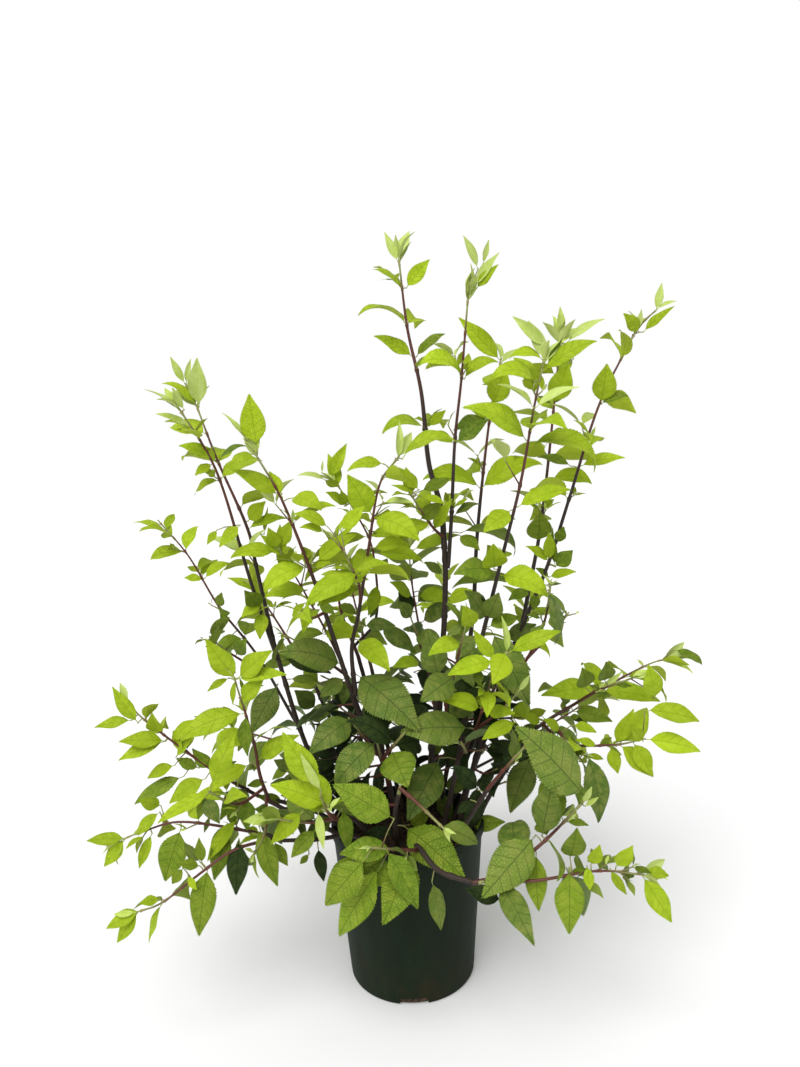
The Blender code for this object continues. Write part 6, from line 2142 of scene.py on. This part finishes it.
def stretched(tree, place, factors):
    """Coordinates drawn out by three factors."""
    return node(tree, "ShaderNodeVectorMath", {0: place, 1: factors}, operation="MULTIPLY").outputs[0]


def tinted(colour, factor, more=0.0):
    """A colour made lighter or darker."""
    return [min(1.0, channel * factor + more) for channel in colour]


def ramp(tree, value, low, high, start=0.0, end=1.0):
    """Start below low, end above high and a smooth step between them."""
    made = node(tree, "ShaderNodeMapRange", {"Value": value, "From Min": low, "From Max": high,
                                             "To Min": start, "To Max": end}, interpolation_type="SMOOTHSTEP")
    return made.outputs["Result"]


def blend(tree, share, first, second):
    """A mix of two colours."""
    ends = [value if isinstance(value, bpy.types.NodeSocket) else (*value[:3], 1.0)
            for value in (first, second)]
    return node(tree, "ShaderNodeMix", {"Factor": share, 6: ends[0], 7: ends[1]}, data_type="RGBA").outputs[2]


def noise_of(tree, place, scale, detail=3.0, roughness=0.55):
    inputs = {"Vector": place, "Scale": scale, "Detail": detail, "Roughness": roughness}
    return node(tree, "ShaderNodeTexNoise", inputs).outputs["Fac"]


@functools.cache
def leaf_vein_group():
    """Reads the leaf map: the veins, the puckers between them and two values dealt to each cell."""
    tree, given, out = shader_group(
        "Leaf Veins", (("Map", "Vector", None), ("Net", "Float", 27.0)),
        [(label, "Float") for label in ("Veins", "Net", "Height", "Edge", "Deal", "Second Deal", "Blotches")])
    parts = node(tree, "ShaderNodeSeparateXYZ", {"Vector": given.outputs["Map"]})
    wide = times(tree, parts.outputs["X"], float(MAP_COLUMNS))
    tall = times(tree, parts.outputs["Y"], float(MAP_ROWS))
    cell = node(tree, "ShaderNodeCombineXYZ",
                {"X": maths(tree, "FLOOR", wide), "Y": maths(tree, "FLOOR", tall)})
    dealt = node(tree, "ShaderNodeTexWhiteNoise", {"Vector": cell.outputs[0]}, noise_dimensions="2D")
    second = node(tree, "ShaderNodeSeparateColor", {"Color": dealt.outputs["Color"]})
    inside = 1 - 2 * MAP_MARGIN
    across = times(tree, minus(tree, maths(tree, "FRACT", wide), 0.5), 2 * MAP_SPAN / inside)
    up = times(tree, minus(tree, maths(tree, "FRACT", tall), MAP_MARGIN), (1 + MAP_FOOT) / inside)
    along = minus(tree, up, MAP_FOOT)
    away = maths(tree, "ABSOLUTE", across)
    leaning = minus(tree, along, times(tree, away, HERRINGBONE))
    rib = maths(tree, "DIVIDE", minus(tree, leaning, VEIN_FIRST), VEIN_STEP)
    ribs = ramp(tree, maths(tree, "PINGPONG", rib, 0.5), 0.008, 0.060, 1.0, 0.0)
    midrib = ramp(tree, away, 0.008, 0.045, 1.0, 0.0)
    flat = node(tree, "ShaderNodeCombineXYZ", {"X": times(tree, across, 0.24), "Y": along,
                                               "Z": times(tree, dealt.outputs["Value"], 9.0)})
    cells = node(tree, "ShaderNodeTexVoronoi", {"Vector": flat.outputs[0], "Scale": given.outputs["Net"],
                                                "Randomness": 0.85}, feature="DISTANCE_TO_EDGE")
    net = ramp(tree, cells.outputs["Distance"], 0.0, 0.11, 1.0, 0.0)
    veins = maths(tree, "MAXIMUM", midrib, times(tree, ribs, 0.8))
    fill(tree, out, {"Veins": veins, "Net": net, "Edge": ramp(tree, away, 0.55, 1.05),
                     "Height": minus(tree, 1.0, maths(tree, "MAXIMUM", veins, times(tree, net, 0.55))),
                     "Deal": dealt.outputs["Value"], "Second Deal": second.outputs["Green"],
                     "Blotches": noise_of(tree, flat.outputs[0], 6.0)})
    return tree


@functools.cache
def bark_grain_group():
    """Long streaks, corky specks and a height for bark, drawn out along the stem."""
    tree, given, out = shader_group(
        "Bark Grain", (("Vector", "Vector", None), ("Fineness", "Float", 1.0)),
        (("Streaks", "Float"), ("Specks", "Float"), ("Height", "Float")))
    place = node(tree, "ShaderNodeVectorMath",
                 {0: given.outputs["Vector"], "Scale": given.outputs["Fineness"]},
                 operation="SCALE").outputs[0]
    streaks = noise_of(tree, stretched(tree, place, (900.0, 900.0, 150.0)), 1.0, 4.0, 0.6)
    specks = node(tree, "ShaderNodeTexVoronoi", {"Vector": place, "Scale": 620.0, "Randomness": 1.0})
    spots = ramp(tree, specks.outputs["Distance"], 0.14, 0.30, 1.0, 0.0)
    fill(tree, out, {"Streaks": ramp(tree, streaks, 0.35, 0.68), "Specks": spots,
                     "Height": maths(tree, "ADD", streaks, times(tree, spots, 0.4))})
    return tree


@functools.cache
def tint_patch_group():
    """Patches which thin out with height above the floor."""
    tree, given, out = shader_group(
        "Dust", (("Vector", "Vector", None), ("Size", "Float", 30.0), ("Low", "Float", 0.0),
                 ("High", "Float", 0.1)), (("Mask", "Float"),))
    parts = node(tree, "ShaderNodeSeparateXYZ", {"Vector": given.outputs["Vector"]})
    fall = ramp(tree, parts.outputs["Z"], given.outputs["Low"], given.outputs["High"], 1.0, 0.12)
    patches = noise_of(tree, given.outputs["Vector"], given.outputs["Size"], 5.0, 0.65)
    fill(tree, out, {"Mask": times(tree, ramp(tree, patches, 0.38, 0.72), fall)})
    return tree


def finish_of(name, values):
    """A material with its Principled shader and constant values set on the shader's own sockets."""
    old = bpy.data.materials.get(name)
    if old:
        bpy.data.materials.remove(old)
    finish = bpy.data.materials.new(name)
    finish.use_nodes = True
    shader = finish.node_tree.nodes["Principled BSDF"]
    fill(finish.node_tree, shader, values)
    return finish, finish.node_tree, shader


def own_place(tree):
    """The coordinates of the piece itself."""
    return node(tree, "ShaderNodeTexCoord").outputs["Object"]


def bump(tree, height, strength, distance):
    inputs = {"Height": height, "Strength": strength, "Distance": distance}
    return node(tree, "ShaderNodeBump", inputs).outputs[0]


def leaf_finish(name, colour, tone):
    """A leaf: two greens dealt from leaf to leaf, veins, a paler underside and puckers between the veins."""
    finish, tree, shader = finish_of(name, {"Sheen Weight": tone.sheen, "Sheen Roughness": 0.4,
                                            "Specular IOR Level": tone.gloss})
    place = node(tree, "ShaderNodeUVMap", uv_map=LEAF_MAP).outputs[0]
    veins = node(tree, "ShaderNodeGroup", {"Map": place}, node_tree=leaf_vein_group()).outputs
    dealt = blend(tree, veins["Deal"], colour, tone.other)
    mottled = blend(tree, times(tree, ramp(tree, veins["Blotches"], 0.38, 0.66), 0.60), dealt, tone.blotch)
    edged = blend(tree, times(tree, veins["Edge"], 0.30), mottled, tinted(tone.other, 0.70))
    # The darker vein lines are partly the veins' own colour and partly painted shade in their sunken grooves
    netted = blend(tree, times(tree, veins["Net"], tone.vein_share * 0.30), edged, tone.vein)
    lined = blend(tree, times(tree, veins["Veins"], tone.vein_share), netted, tone.vein)
    shade = maths(tree, "MULTIPLY_ADD", veins["Second Deal"], 0.30, 0.85)
    toned = node(tree, "ShaderNodeHueSaturation", {"Value": shade, "Color": lined}).outputs[0]
    under = blend(tree, times(tree, veins["Veins"], 0.35), tone.under, tinted(tone.under, 1.25))
    behind = node(tree, "ShaderNodeNewGeometry").outputs["Backfacing"]
    fill(tree, shader, {"Base Color": blend(tree, behind, toned, under),
                        "Roughness": ramp(tree, veins["Height"], 0.0, 1.0, tone.rough + 0.12, tone.rough),
                        "Normal": bump(tree, veins["Height"], tone.relief, 0.0012)})
    return finish


def colour_ramp(tree, value, stops):
    made = node(tree, "ShaderNodeValToRGB", {"Fac": value})
    band = made.color_ramp
    while len(band.elements) < len(stops):
        band.elements.new(0.5)
    for element, (spot, colour) in zip(band.elements, stops):
        element.position = spot
        element.color = (*colour[:3], 1.0)
    return made.outputs["Color"]


def stem_finish(name, green, red, dark, wood, rough, relief, fineness):
    """Bark that goes by its age from soft green through red to dark wood, with streaks and specks."""
    finish, tree, shader = finish_of(name, {"Specular IOR Level": 0.35})
    grain = node(tree, "ShaderNodeGroup", {"Vector": own_place(tree), "Fineness": fineness},
                 node_tree=bark_grain_group()).outputs
    age = node(tree, "ShaderNodeAttribute", attribute_name="age", attribute_type="GEOMETRY").outputs["Fac"]
    skin = colour_ramp(tree, age,
                       ((0.0, green), (0.05, green), (0.16, red), (0.45, red), (0.70, dark), (1.0, wood)))
    streaked = blend(tree, times(tree, grain["Streaks"], 0.55), skin, tinted(dark, 2.1, 0.004))
    specked = blend(tree, times(tree, grain["Specks"], 0.30), streaked, tinted(red, 2.4, 0.01))
    fill(tree, shader, {"Base Color": specked,
                        "Roughness": ramp(tree, grain["Height"], 0.2, 1.0, rough, rough + 0.2),
                        "Normal": bump(tree, grain["Height"], relief, 0.0006)})
    return finish


def pot_finish(name, plastic, dust):
    """Matt moulded plastic with faint flow marks, scuffs and brown patches low on its wall."""
    finish, tree, shader = finish_of(name, {"Specular IOR Level": 0.14})
    place = own_place(tree)
    patch_mask = node(tree, "ShaderNodeGroup", {"Vector": place, "Size": 34.0, "High": POT_HEIGHT * 0.42},
                 node_tree=tint_patch_group()).outputs["Mask"]
    flow = noise_of(tree, stretched(tree, place, (60.0, 60.0, 12.0)), 1.0, 4.0)
    lines = ramp(tree, noise_of(tree, stretched(tree, place, (40.0, 40.0, 900.0)), 1.0), 0.60, 0.74)
    marked = blend(tree, ramp(tree, flow, 0.3, 0.75), plastic, tinted(plastic, 1.5))
    scuffed = blend(tree, times(tree, lines, 0.12), marked, tinted(plastic, 4))
    fine = noise_of(tree, place, 700.0, 3.0, 0.6)
    fill(tree, shader, {"Base Color": blend(tree, times(tree, patch_mask, 0.22), scuffed, dust),
                        "Roughness": maths(tree, "MULTIPLY_ADD", patch_mask, 0.20, 0.62),
                        "Normal": bump(tree, maths(tree, "ADD", fine, flow), 0.12, 0.0004)})
    return finish


def soil_finish(name, dark, light):
    """Damp peaty compost: dark fibres, paler dry bits and a crumbly surface."""
    finish, tree, shader = finish_of(name, {"Specular IOR Level": 0.25})
    place = own_place(tree)
    patch_mask = node(tree, "ShaderNodeGroup", {"Vector": place, "Size": 260.0, "High": 10.0},
                 node_tree=tint_patch_group()).outputs["Mask"]
    bits = node(tree, "ShaderNodeTexVoronoi", {"Vector": place, "Scale": 330.0}).outputs
    shade = node(tree, "ShaderNodeSeparateColor", {"Color": bits["Color"]}).outputs
    mixed = blend(tree, ramp(tree, shade["Red"], 0.35, 0.95), dark, light)
    rough = noise_of(tree, place, 420.0, 5.0, 0.7)
    fill(tree, shader, {"Base Color": blend(tree, times(tree, patch_mask, 0.45), mixed, tinted(light, 1.5)),
                        "Roughness": ramp(tree, shade["Green"], 0.0, 1.0, 0.82, 0.98),
                        "Normal": bump(tree, maths(tree, "ADD", rough, bits["Distance"]), 0.8, 0.0012)})
    return finish


def floor_finish(name, pale):
    """Plain pale paper with the slightest unevenness."""
    finish, tree, shader = finish_of(name, {"Specular IOR Level": 0.1, "Roughness": 0.9})
    uneven = ramp(tree, noise_of(tree, own_place(tree), 2.0, 2.0), 0.2, 0.8)
    fill(tree, shader, {"Base Color": blend(tree, uneven, pale, tinted(pale, 0.99))})
    return finish


# What a user may change

def length_property(name, description, default, **more):
    return FloatProperty(name=name, description=description, default=default, unit="LENGTH",
                         subtype="DISTANCE", precision=4, **more)


def colour_property(name, description, default):
    return FloatVectorProperty(name=name, description=description, default=default, subtype="COLOR",
                               size=3, min=0.0, max=1.0)


class DEUTZIA_PG_sizes(bpy.types.PropertyGroup):
    """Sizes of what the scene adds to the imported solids."""

    pot_steps: IntProperty(name="Pot Steps", description="Facets round the pot", default=120, min=24)
    notch_width: length_property("Slot Width", "Width of each drain slot in the pot's foot", NOTCH_WIDTH)
    notch_height: length_property("Slot Height", "Height of each drain slot in the pot's foot", NOTCH_HEIGHT)
    crumb_density: FloatProperty(name="Crumb Density", description="Crumbs on a square metre of soil",
                                 default=46000.0, min=0.0)
    crumb_smallest: length_property("Smallest Crumb", "Radius of the smallest crumb of soil", 0.0006)
    crumb_largest: length_property("Largest Crumb", "Radius of the largest crumb of soil", 0.0024)
    crumb_seed: IntProperty(name="Crumb Seed", description="Deals out the crumbs", default=7)
    stem_sides: IntProperty(name="Stem Sides", description="Facets round a thin stem", default=7, min=3)
    bud_length: FloatProperty(name="Bud Length", description="Length of a bud against its breadth",
                              default=1.9, min=0.5)
    floor_size: length_property("Floor Size", "Side of the floor under the pot", 24.0)
    camera_lens: FloatProperty(name="Lens", description="Focal length that gives the picture's framing",
                               default=CAMERA_LENS, subtype="DISTANCE_CAMERA")


class DEUTZIA_PG_colours(bpy.types.PropertyGroup):
    """Base colours of the finishes."""

    plastic: colour_property("Plastic", "The pot's dark plastic", (0.0030, 0.0088, 0.0026))
    # Brown patches low on the pot's wall, which thin out upwards
    dust: colour_property("Dust", "Dry dust low on the pot", (0.075, 0.040, 0.020))
    soil: colour_property("Soil", "Damp compost", (0.016, 0.011, 0.007))
    fibre: colour_property("Fibre", "Paler bits in the compost", (0.085, 0.052, 0.028))
    wood: colour_property("Wood", "Old bark at the foot of a limb", (0.017, 0.013, 0.008))
    dark_bark: colour_property("Dark Bark", "Bark of the upper canes", (0.020, 0.010, 0.007))
    red_bark: colour_property("Red Bark", "Skin of this year's shoots", (0.110, 0.028, 0.016))
    green_bark: colour_property("Green Bark", "Skin of the soft tips", (0.300, 0.330, 0.100))
    bud: colour_property("Bud", "Scales of the buds", (0.200, 0.080, 0.030))
    tip: colour_property("Tip Leaf", "Downy leaves that have just opened", (0.470, 0.575, 0.165))
    lime: colour_property("Lime Leaf", "Young leaves", (0.360, 0.490, 0.012))
    fresh: colour_property("Fresh Leaf", "Full-grown leaves", (0.205, 0.300, 0.013))
    # Deep is also dealt to fresh leaves near the heart of the bush as painted shade
    deep: colour_property("Deep Leaf", "Old leaves at the edge of the shade", (0.145, 0.215, 0.022))
    # The shade tone is painted shade: near-black leaves in the heart of the bush
    shade: colour_property("Shade Leaf", "Old leaves in the heart of the bush", (0.034, 0.060, 0.010))
    floor: colour_property("Floor", "The pale floor", (0.80, 0.80, 0.80))


def sizes():
    return bpy.context.scene.deutzia_sizes


def colours():
    return bpy.context.scene.deutzia_colours


def barks():
    """The colours of bark from its youngest to its oldest."""
    return colours().green_bark, colours().red_bark, colours().dark_bark, colours().wood


# What goes with each leaf tone: its piece, the other green, veins, blotches and underside
LeafTone = namedtuple("LeafTone", "piece other vein blotch under vein_share relief rough sheen gloss")
LEAF_TONES = {
    "tip": LeafTone("leaves_tip", (0.36, 0.47, 0.06), (0.32, 0.41, 0.08), (0.50, 0.60, 0.20),
                    (0.47, 0.55, 0.16), 0.3, 0.35, 0.62, 0.12, 0.14),
    "lime": LeafTone("leaves_lime", (0.285, 0.410, 0.012), (0.18, 0.28, 0.010), (0.41, 0.53, 0.03),
                     (0.40, 0.51, 0.03), 0.45, 0.7, 0.56, 0.0, 0.12),
    "fresh": LeafTone("leaves_fresh", (0.13, 0.22, 0.012), (0.07, 0.13, 0.010), (0.27, 0.34, 0.03),
                      (0.30, 0.40, 0.05), 0.46, 0.9, 0.52, 0.0, 0.18),
    "deep": LeafTone("leaves_deep", (0.080, 0.140, 0.014), (0.028, 0.058, 0.011), (0.215, 0.245, 0.045),
                     (0.18, 0.26, 0.08), 0.60, 0.75, 0.52, 0.0, 0.22),
    # The shade tone's near-black greens are painted shade
    "shade": LeafTone("leaves_shade", (0.012, 0.024, 0.007), (0.007, 0.014, 0.005), (0.045, 0.068, 0.015),
                      (0.03, 0.045, 0.016), 0.8, 0.9, 0.6, 0.0, 0.1),
}


class DEUTZIA_OT_pot(bpy.types.Operator):
    """Turns the nursery pot and cuts the drain slots in its foot"""

    bl_idname = "deutzia.pot"
    bl_label = "Nursery Pot"

    def execute(self, context):
        pot = cut_pot("nursery_pot", sizes().pot_steps, sizes().notch_width, sizes().notch_height)
        pot.data.materials.clear()
        pot.data.materials.append(pot_finish("Pot Plastic", colours().plastic, colours().dust))
        dress(pot, ["pot"])
        return {"FINISHED"}


class DEUTZIA_OT_soil(bpy.types.Operator):
    """Fills the pot with lumpy compost and strews crumbs over it"""

    bl_idname = "deutzia.soil"
    bl_label = "Potting Soil"

    def execute(self, context):
        finish = soil_finish("Potting Soil", colours().soil, colours().fibre)
        soil = object_from("potting_soil", soil_shape())
        soil.data.materials.append(finish)
        soil.data.shade_smooth()
        soil.data.set_sharp_from_angle(angle=SOIL_SHARP)
        dress(soil, ["soil"])
        values = {"Density": sizes().crumb_density, "Smallest": sizes().crumb_smallest,
                  "Largest": sizes().crumb_largest, "Seed": sizes().crumb_seed, "Finish": finish}
        crumbs = grown_mesh("soil_crumbs", crumb_bed("soil_bed"), crumb_tree(), values)
        dress(add_piece("soil_crumbs", crumbs))
        return {"FINISHED"}


class DEUTZIA_OT_limbs(bpy.types.Operator):
    """Gives the canes and branches the relief of their bark"""

    bl_idname = "deutzia.limbs"
    bl_label = "Canes and Branches"

    def execute(self, context):
        finish = stem_finish("Cane Bark", *barks(), 0.55, 0.8, 1.0)
        piece = limbs_piece("limbs_bark", grown_plant().limbs, finish)
        dress(piece, [limb.name for limb in LIMBS])
        return {"FINISHED"}


class DEUTZIA_OT_shoots(bpy.types.Operator):
    """Grows the leafy shoots, their side twigs and their buds"""

    bl_idname = "deutzia.shoots"
    bl_label = "Shoots and Buds"

    def execute(self, context):
        finish = stem_finish("Shoot Skin", *barks(), 0.42, 0.5, 1.6)
        masses = [spray.name for spray in SPRAYS if spray.seat[0] != "spray"]
        dress(stems_piece("shoots", grown_plant().stems, sizes().stem_sides, finish), masses)
        scales = stem_finish("Bud Scales", *[colours().bud] * 4, 0.5, 0.3, 2.0)
        dress(buds_piece("node_buds", grown_plant().buds, sizes().bud_length, scales))
        return {"FINISHED"}


class DEUTZIA_OT_leaves(bpy.types.Operator):
    """Hangs the leaves on the shoots, one piece for each tone of green"""

    bl_idname = "deutzia.leaves"
    bl_label = "Leaves"

    def execute(self, context):
        for label, tone in LEAF_TONES.items():
            blades = [blade for blade in grown_plant().blades if blade.tone == label]
            finish = leaf_finish(tone.piece.replace("_", " ").title(), getattr(colours(), label), tone)
            dress(leaves_piece(tone.piece, blades, finish))
        return {"FINISHED"}


class DEUTZIA_OT_stage(bpy.types.Operator):
    """Sets the pale floor, the soft light and the camera"""

    bl_idname = "deutzia.stage"
    bl_label = "Floor, Light and Camera"

    def execute(self, context):
        half = sizes().floor_size / 2
        floor = piece_from("floor", [(-half, -half, 0), (half, -half, 0), (half, half, 0), (-half, half, 0)],
                           [(0, 1, 2, 3)], floor_finish("Floor Paper", colours().floor), smooth=False)
        add_light()
        add_world()
        add_camera(sizes().camera_lens)
        bpy.context.scene.view_settings.view_transform = "Standard"
        return {"FINISHED"}


SUN_FROM = Vector((-0.35, -0.75, 1.0))
SUN_STRENGTH = 2.75
SUN_SOFTNESS = math.radians(50)
WORLD_LIGHT = 0.73
WORLD_SEEN = 1.0


def add_light():
    """One broad soft light from above the front left, even over the whole floor."""
    light = bpy.data.lights.new("soft_light", "SUN")
    light.energy = SUN_STRENGTH
    light.angle = SUN_SOFTNESS
    lamp = bpy.data.objects.new("soft_light", light)
    lamp.rotation_euler = SUN_FROM.to_track_quat("Z", "Y").to_euler()
    bpy.context.scene.collection.objects.link(lamp)


def add_world():
    world = bpy.data.worlds.new("Pale Room")
    world.use_nodes = True
    tree = world.node_tree
    paths = node(tree, "ShaderNodeLightPath")
    strength = node(tree, "ShaderNodeMapRange", {"Value": paths.outputs["Is Camera Ray"],
                                                 "To Min": WORLD_LIGHT, "To Max": WORLD_SEEN})
    tree.nodes["Background"].inputs["Color"].default_value = (1.0, 1.0, 1.0, 1.0)
    tree.links.new(strength.outputs["Result"], tree.nodes["Background"].inputs["Strength"])
    bpy.context.scene.world = world


def add_camera(lens):
    """The camera at the picture's angle: level with the crown, looking a little down and a little rolled."""
    data = bpy.data.cameras.new("camera")
    data.sensor_fit = "VERTICAL"
    data.sensor_height = SENSOR_HEIGHT
    data.lens = lens
    data.clip_end = 100.0
    camera = bpy.data.objects.new("camera", data)
    right, up, forward = camera_axes()
    turn = Matrix((right, up, -forward)).transposed().to_4x4()
    camera.matrix_world = Matrix.Translation(CAMERA_PLACE) @ turn
    bpy.context.scene.collection.objects.link(camera)
    bpy.context.scene.camera = camera


MAKERS = (DEUTZIA_OT_pot, DEUTZIA_OT_soil, DEUTZIA_OT_limbs, DEUTZIA_OT_shoots, DEUTZIA_OT_leaves,
          DEUTZIA_OT_stage)


class DEUTZIA_PT_panel(bpy.types.Panel):
    """Lists the makers and what may be changed"""

    bl_label = "Potted Deutzia"
    bl_space_type = "VIEW_3D"
    bl_region_type = "UI"
    bl_category = "Deutzia"

    def draw(self, context):
        for maker in MAKERS:
            self.layout.operator(maker.bl_idname)
        for group in (context.scene.deutzia_sizes, context.scene.deutzia_colours):
            box = self.layout.box()
            for label in group.__annotations__:
                box.prop(group, label)


CLASSES = (DEUTZIA_PG_sizes, DEUTZIA_PG_colours, *MAKERS, DEUTZIA_PT_panel)


def register():
    for kind in CLASSES:
        bpy.utils.register_class(kind)
    bpy.types.Scene.deutzia_sizes = PointerProperty(type=DEUTZIA_PG_sizes)
    bpy.types.Scene.deutzia_colours = PointerProperty(type=DEUTZIA_PG_colours)


def unregister():
    del bpy.types.Scene.deutzia_colours
    del bpy.types.Scene.deutzia_sizes
    for kind in reversed(CLASSES):
        bpy.utils.unregister_class(kind)


def main():
    register()
    for maker in MAKERS:
        group, name = maker.bl_idname.split(".")
        getattr(getattr(bpy.ops, group), name)()


if __name__ == "__main__":
    main()
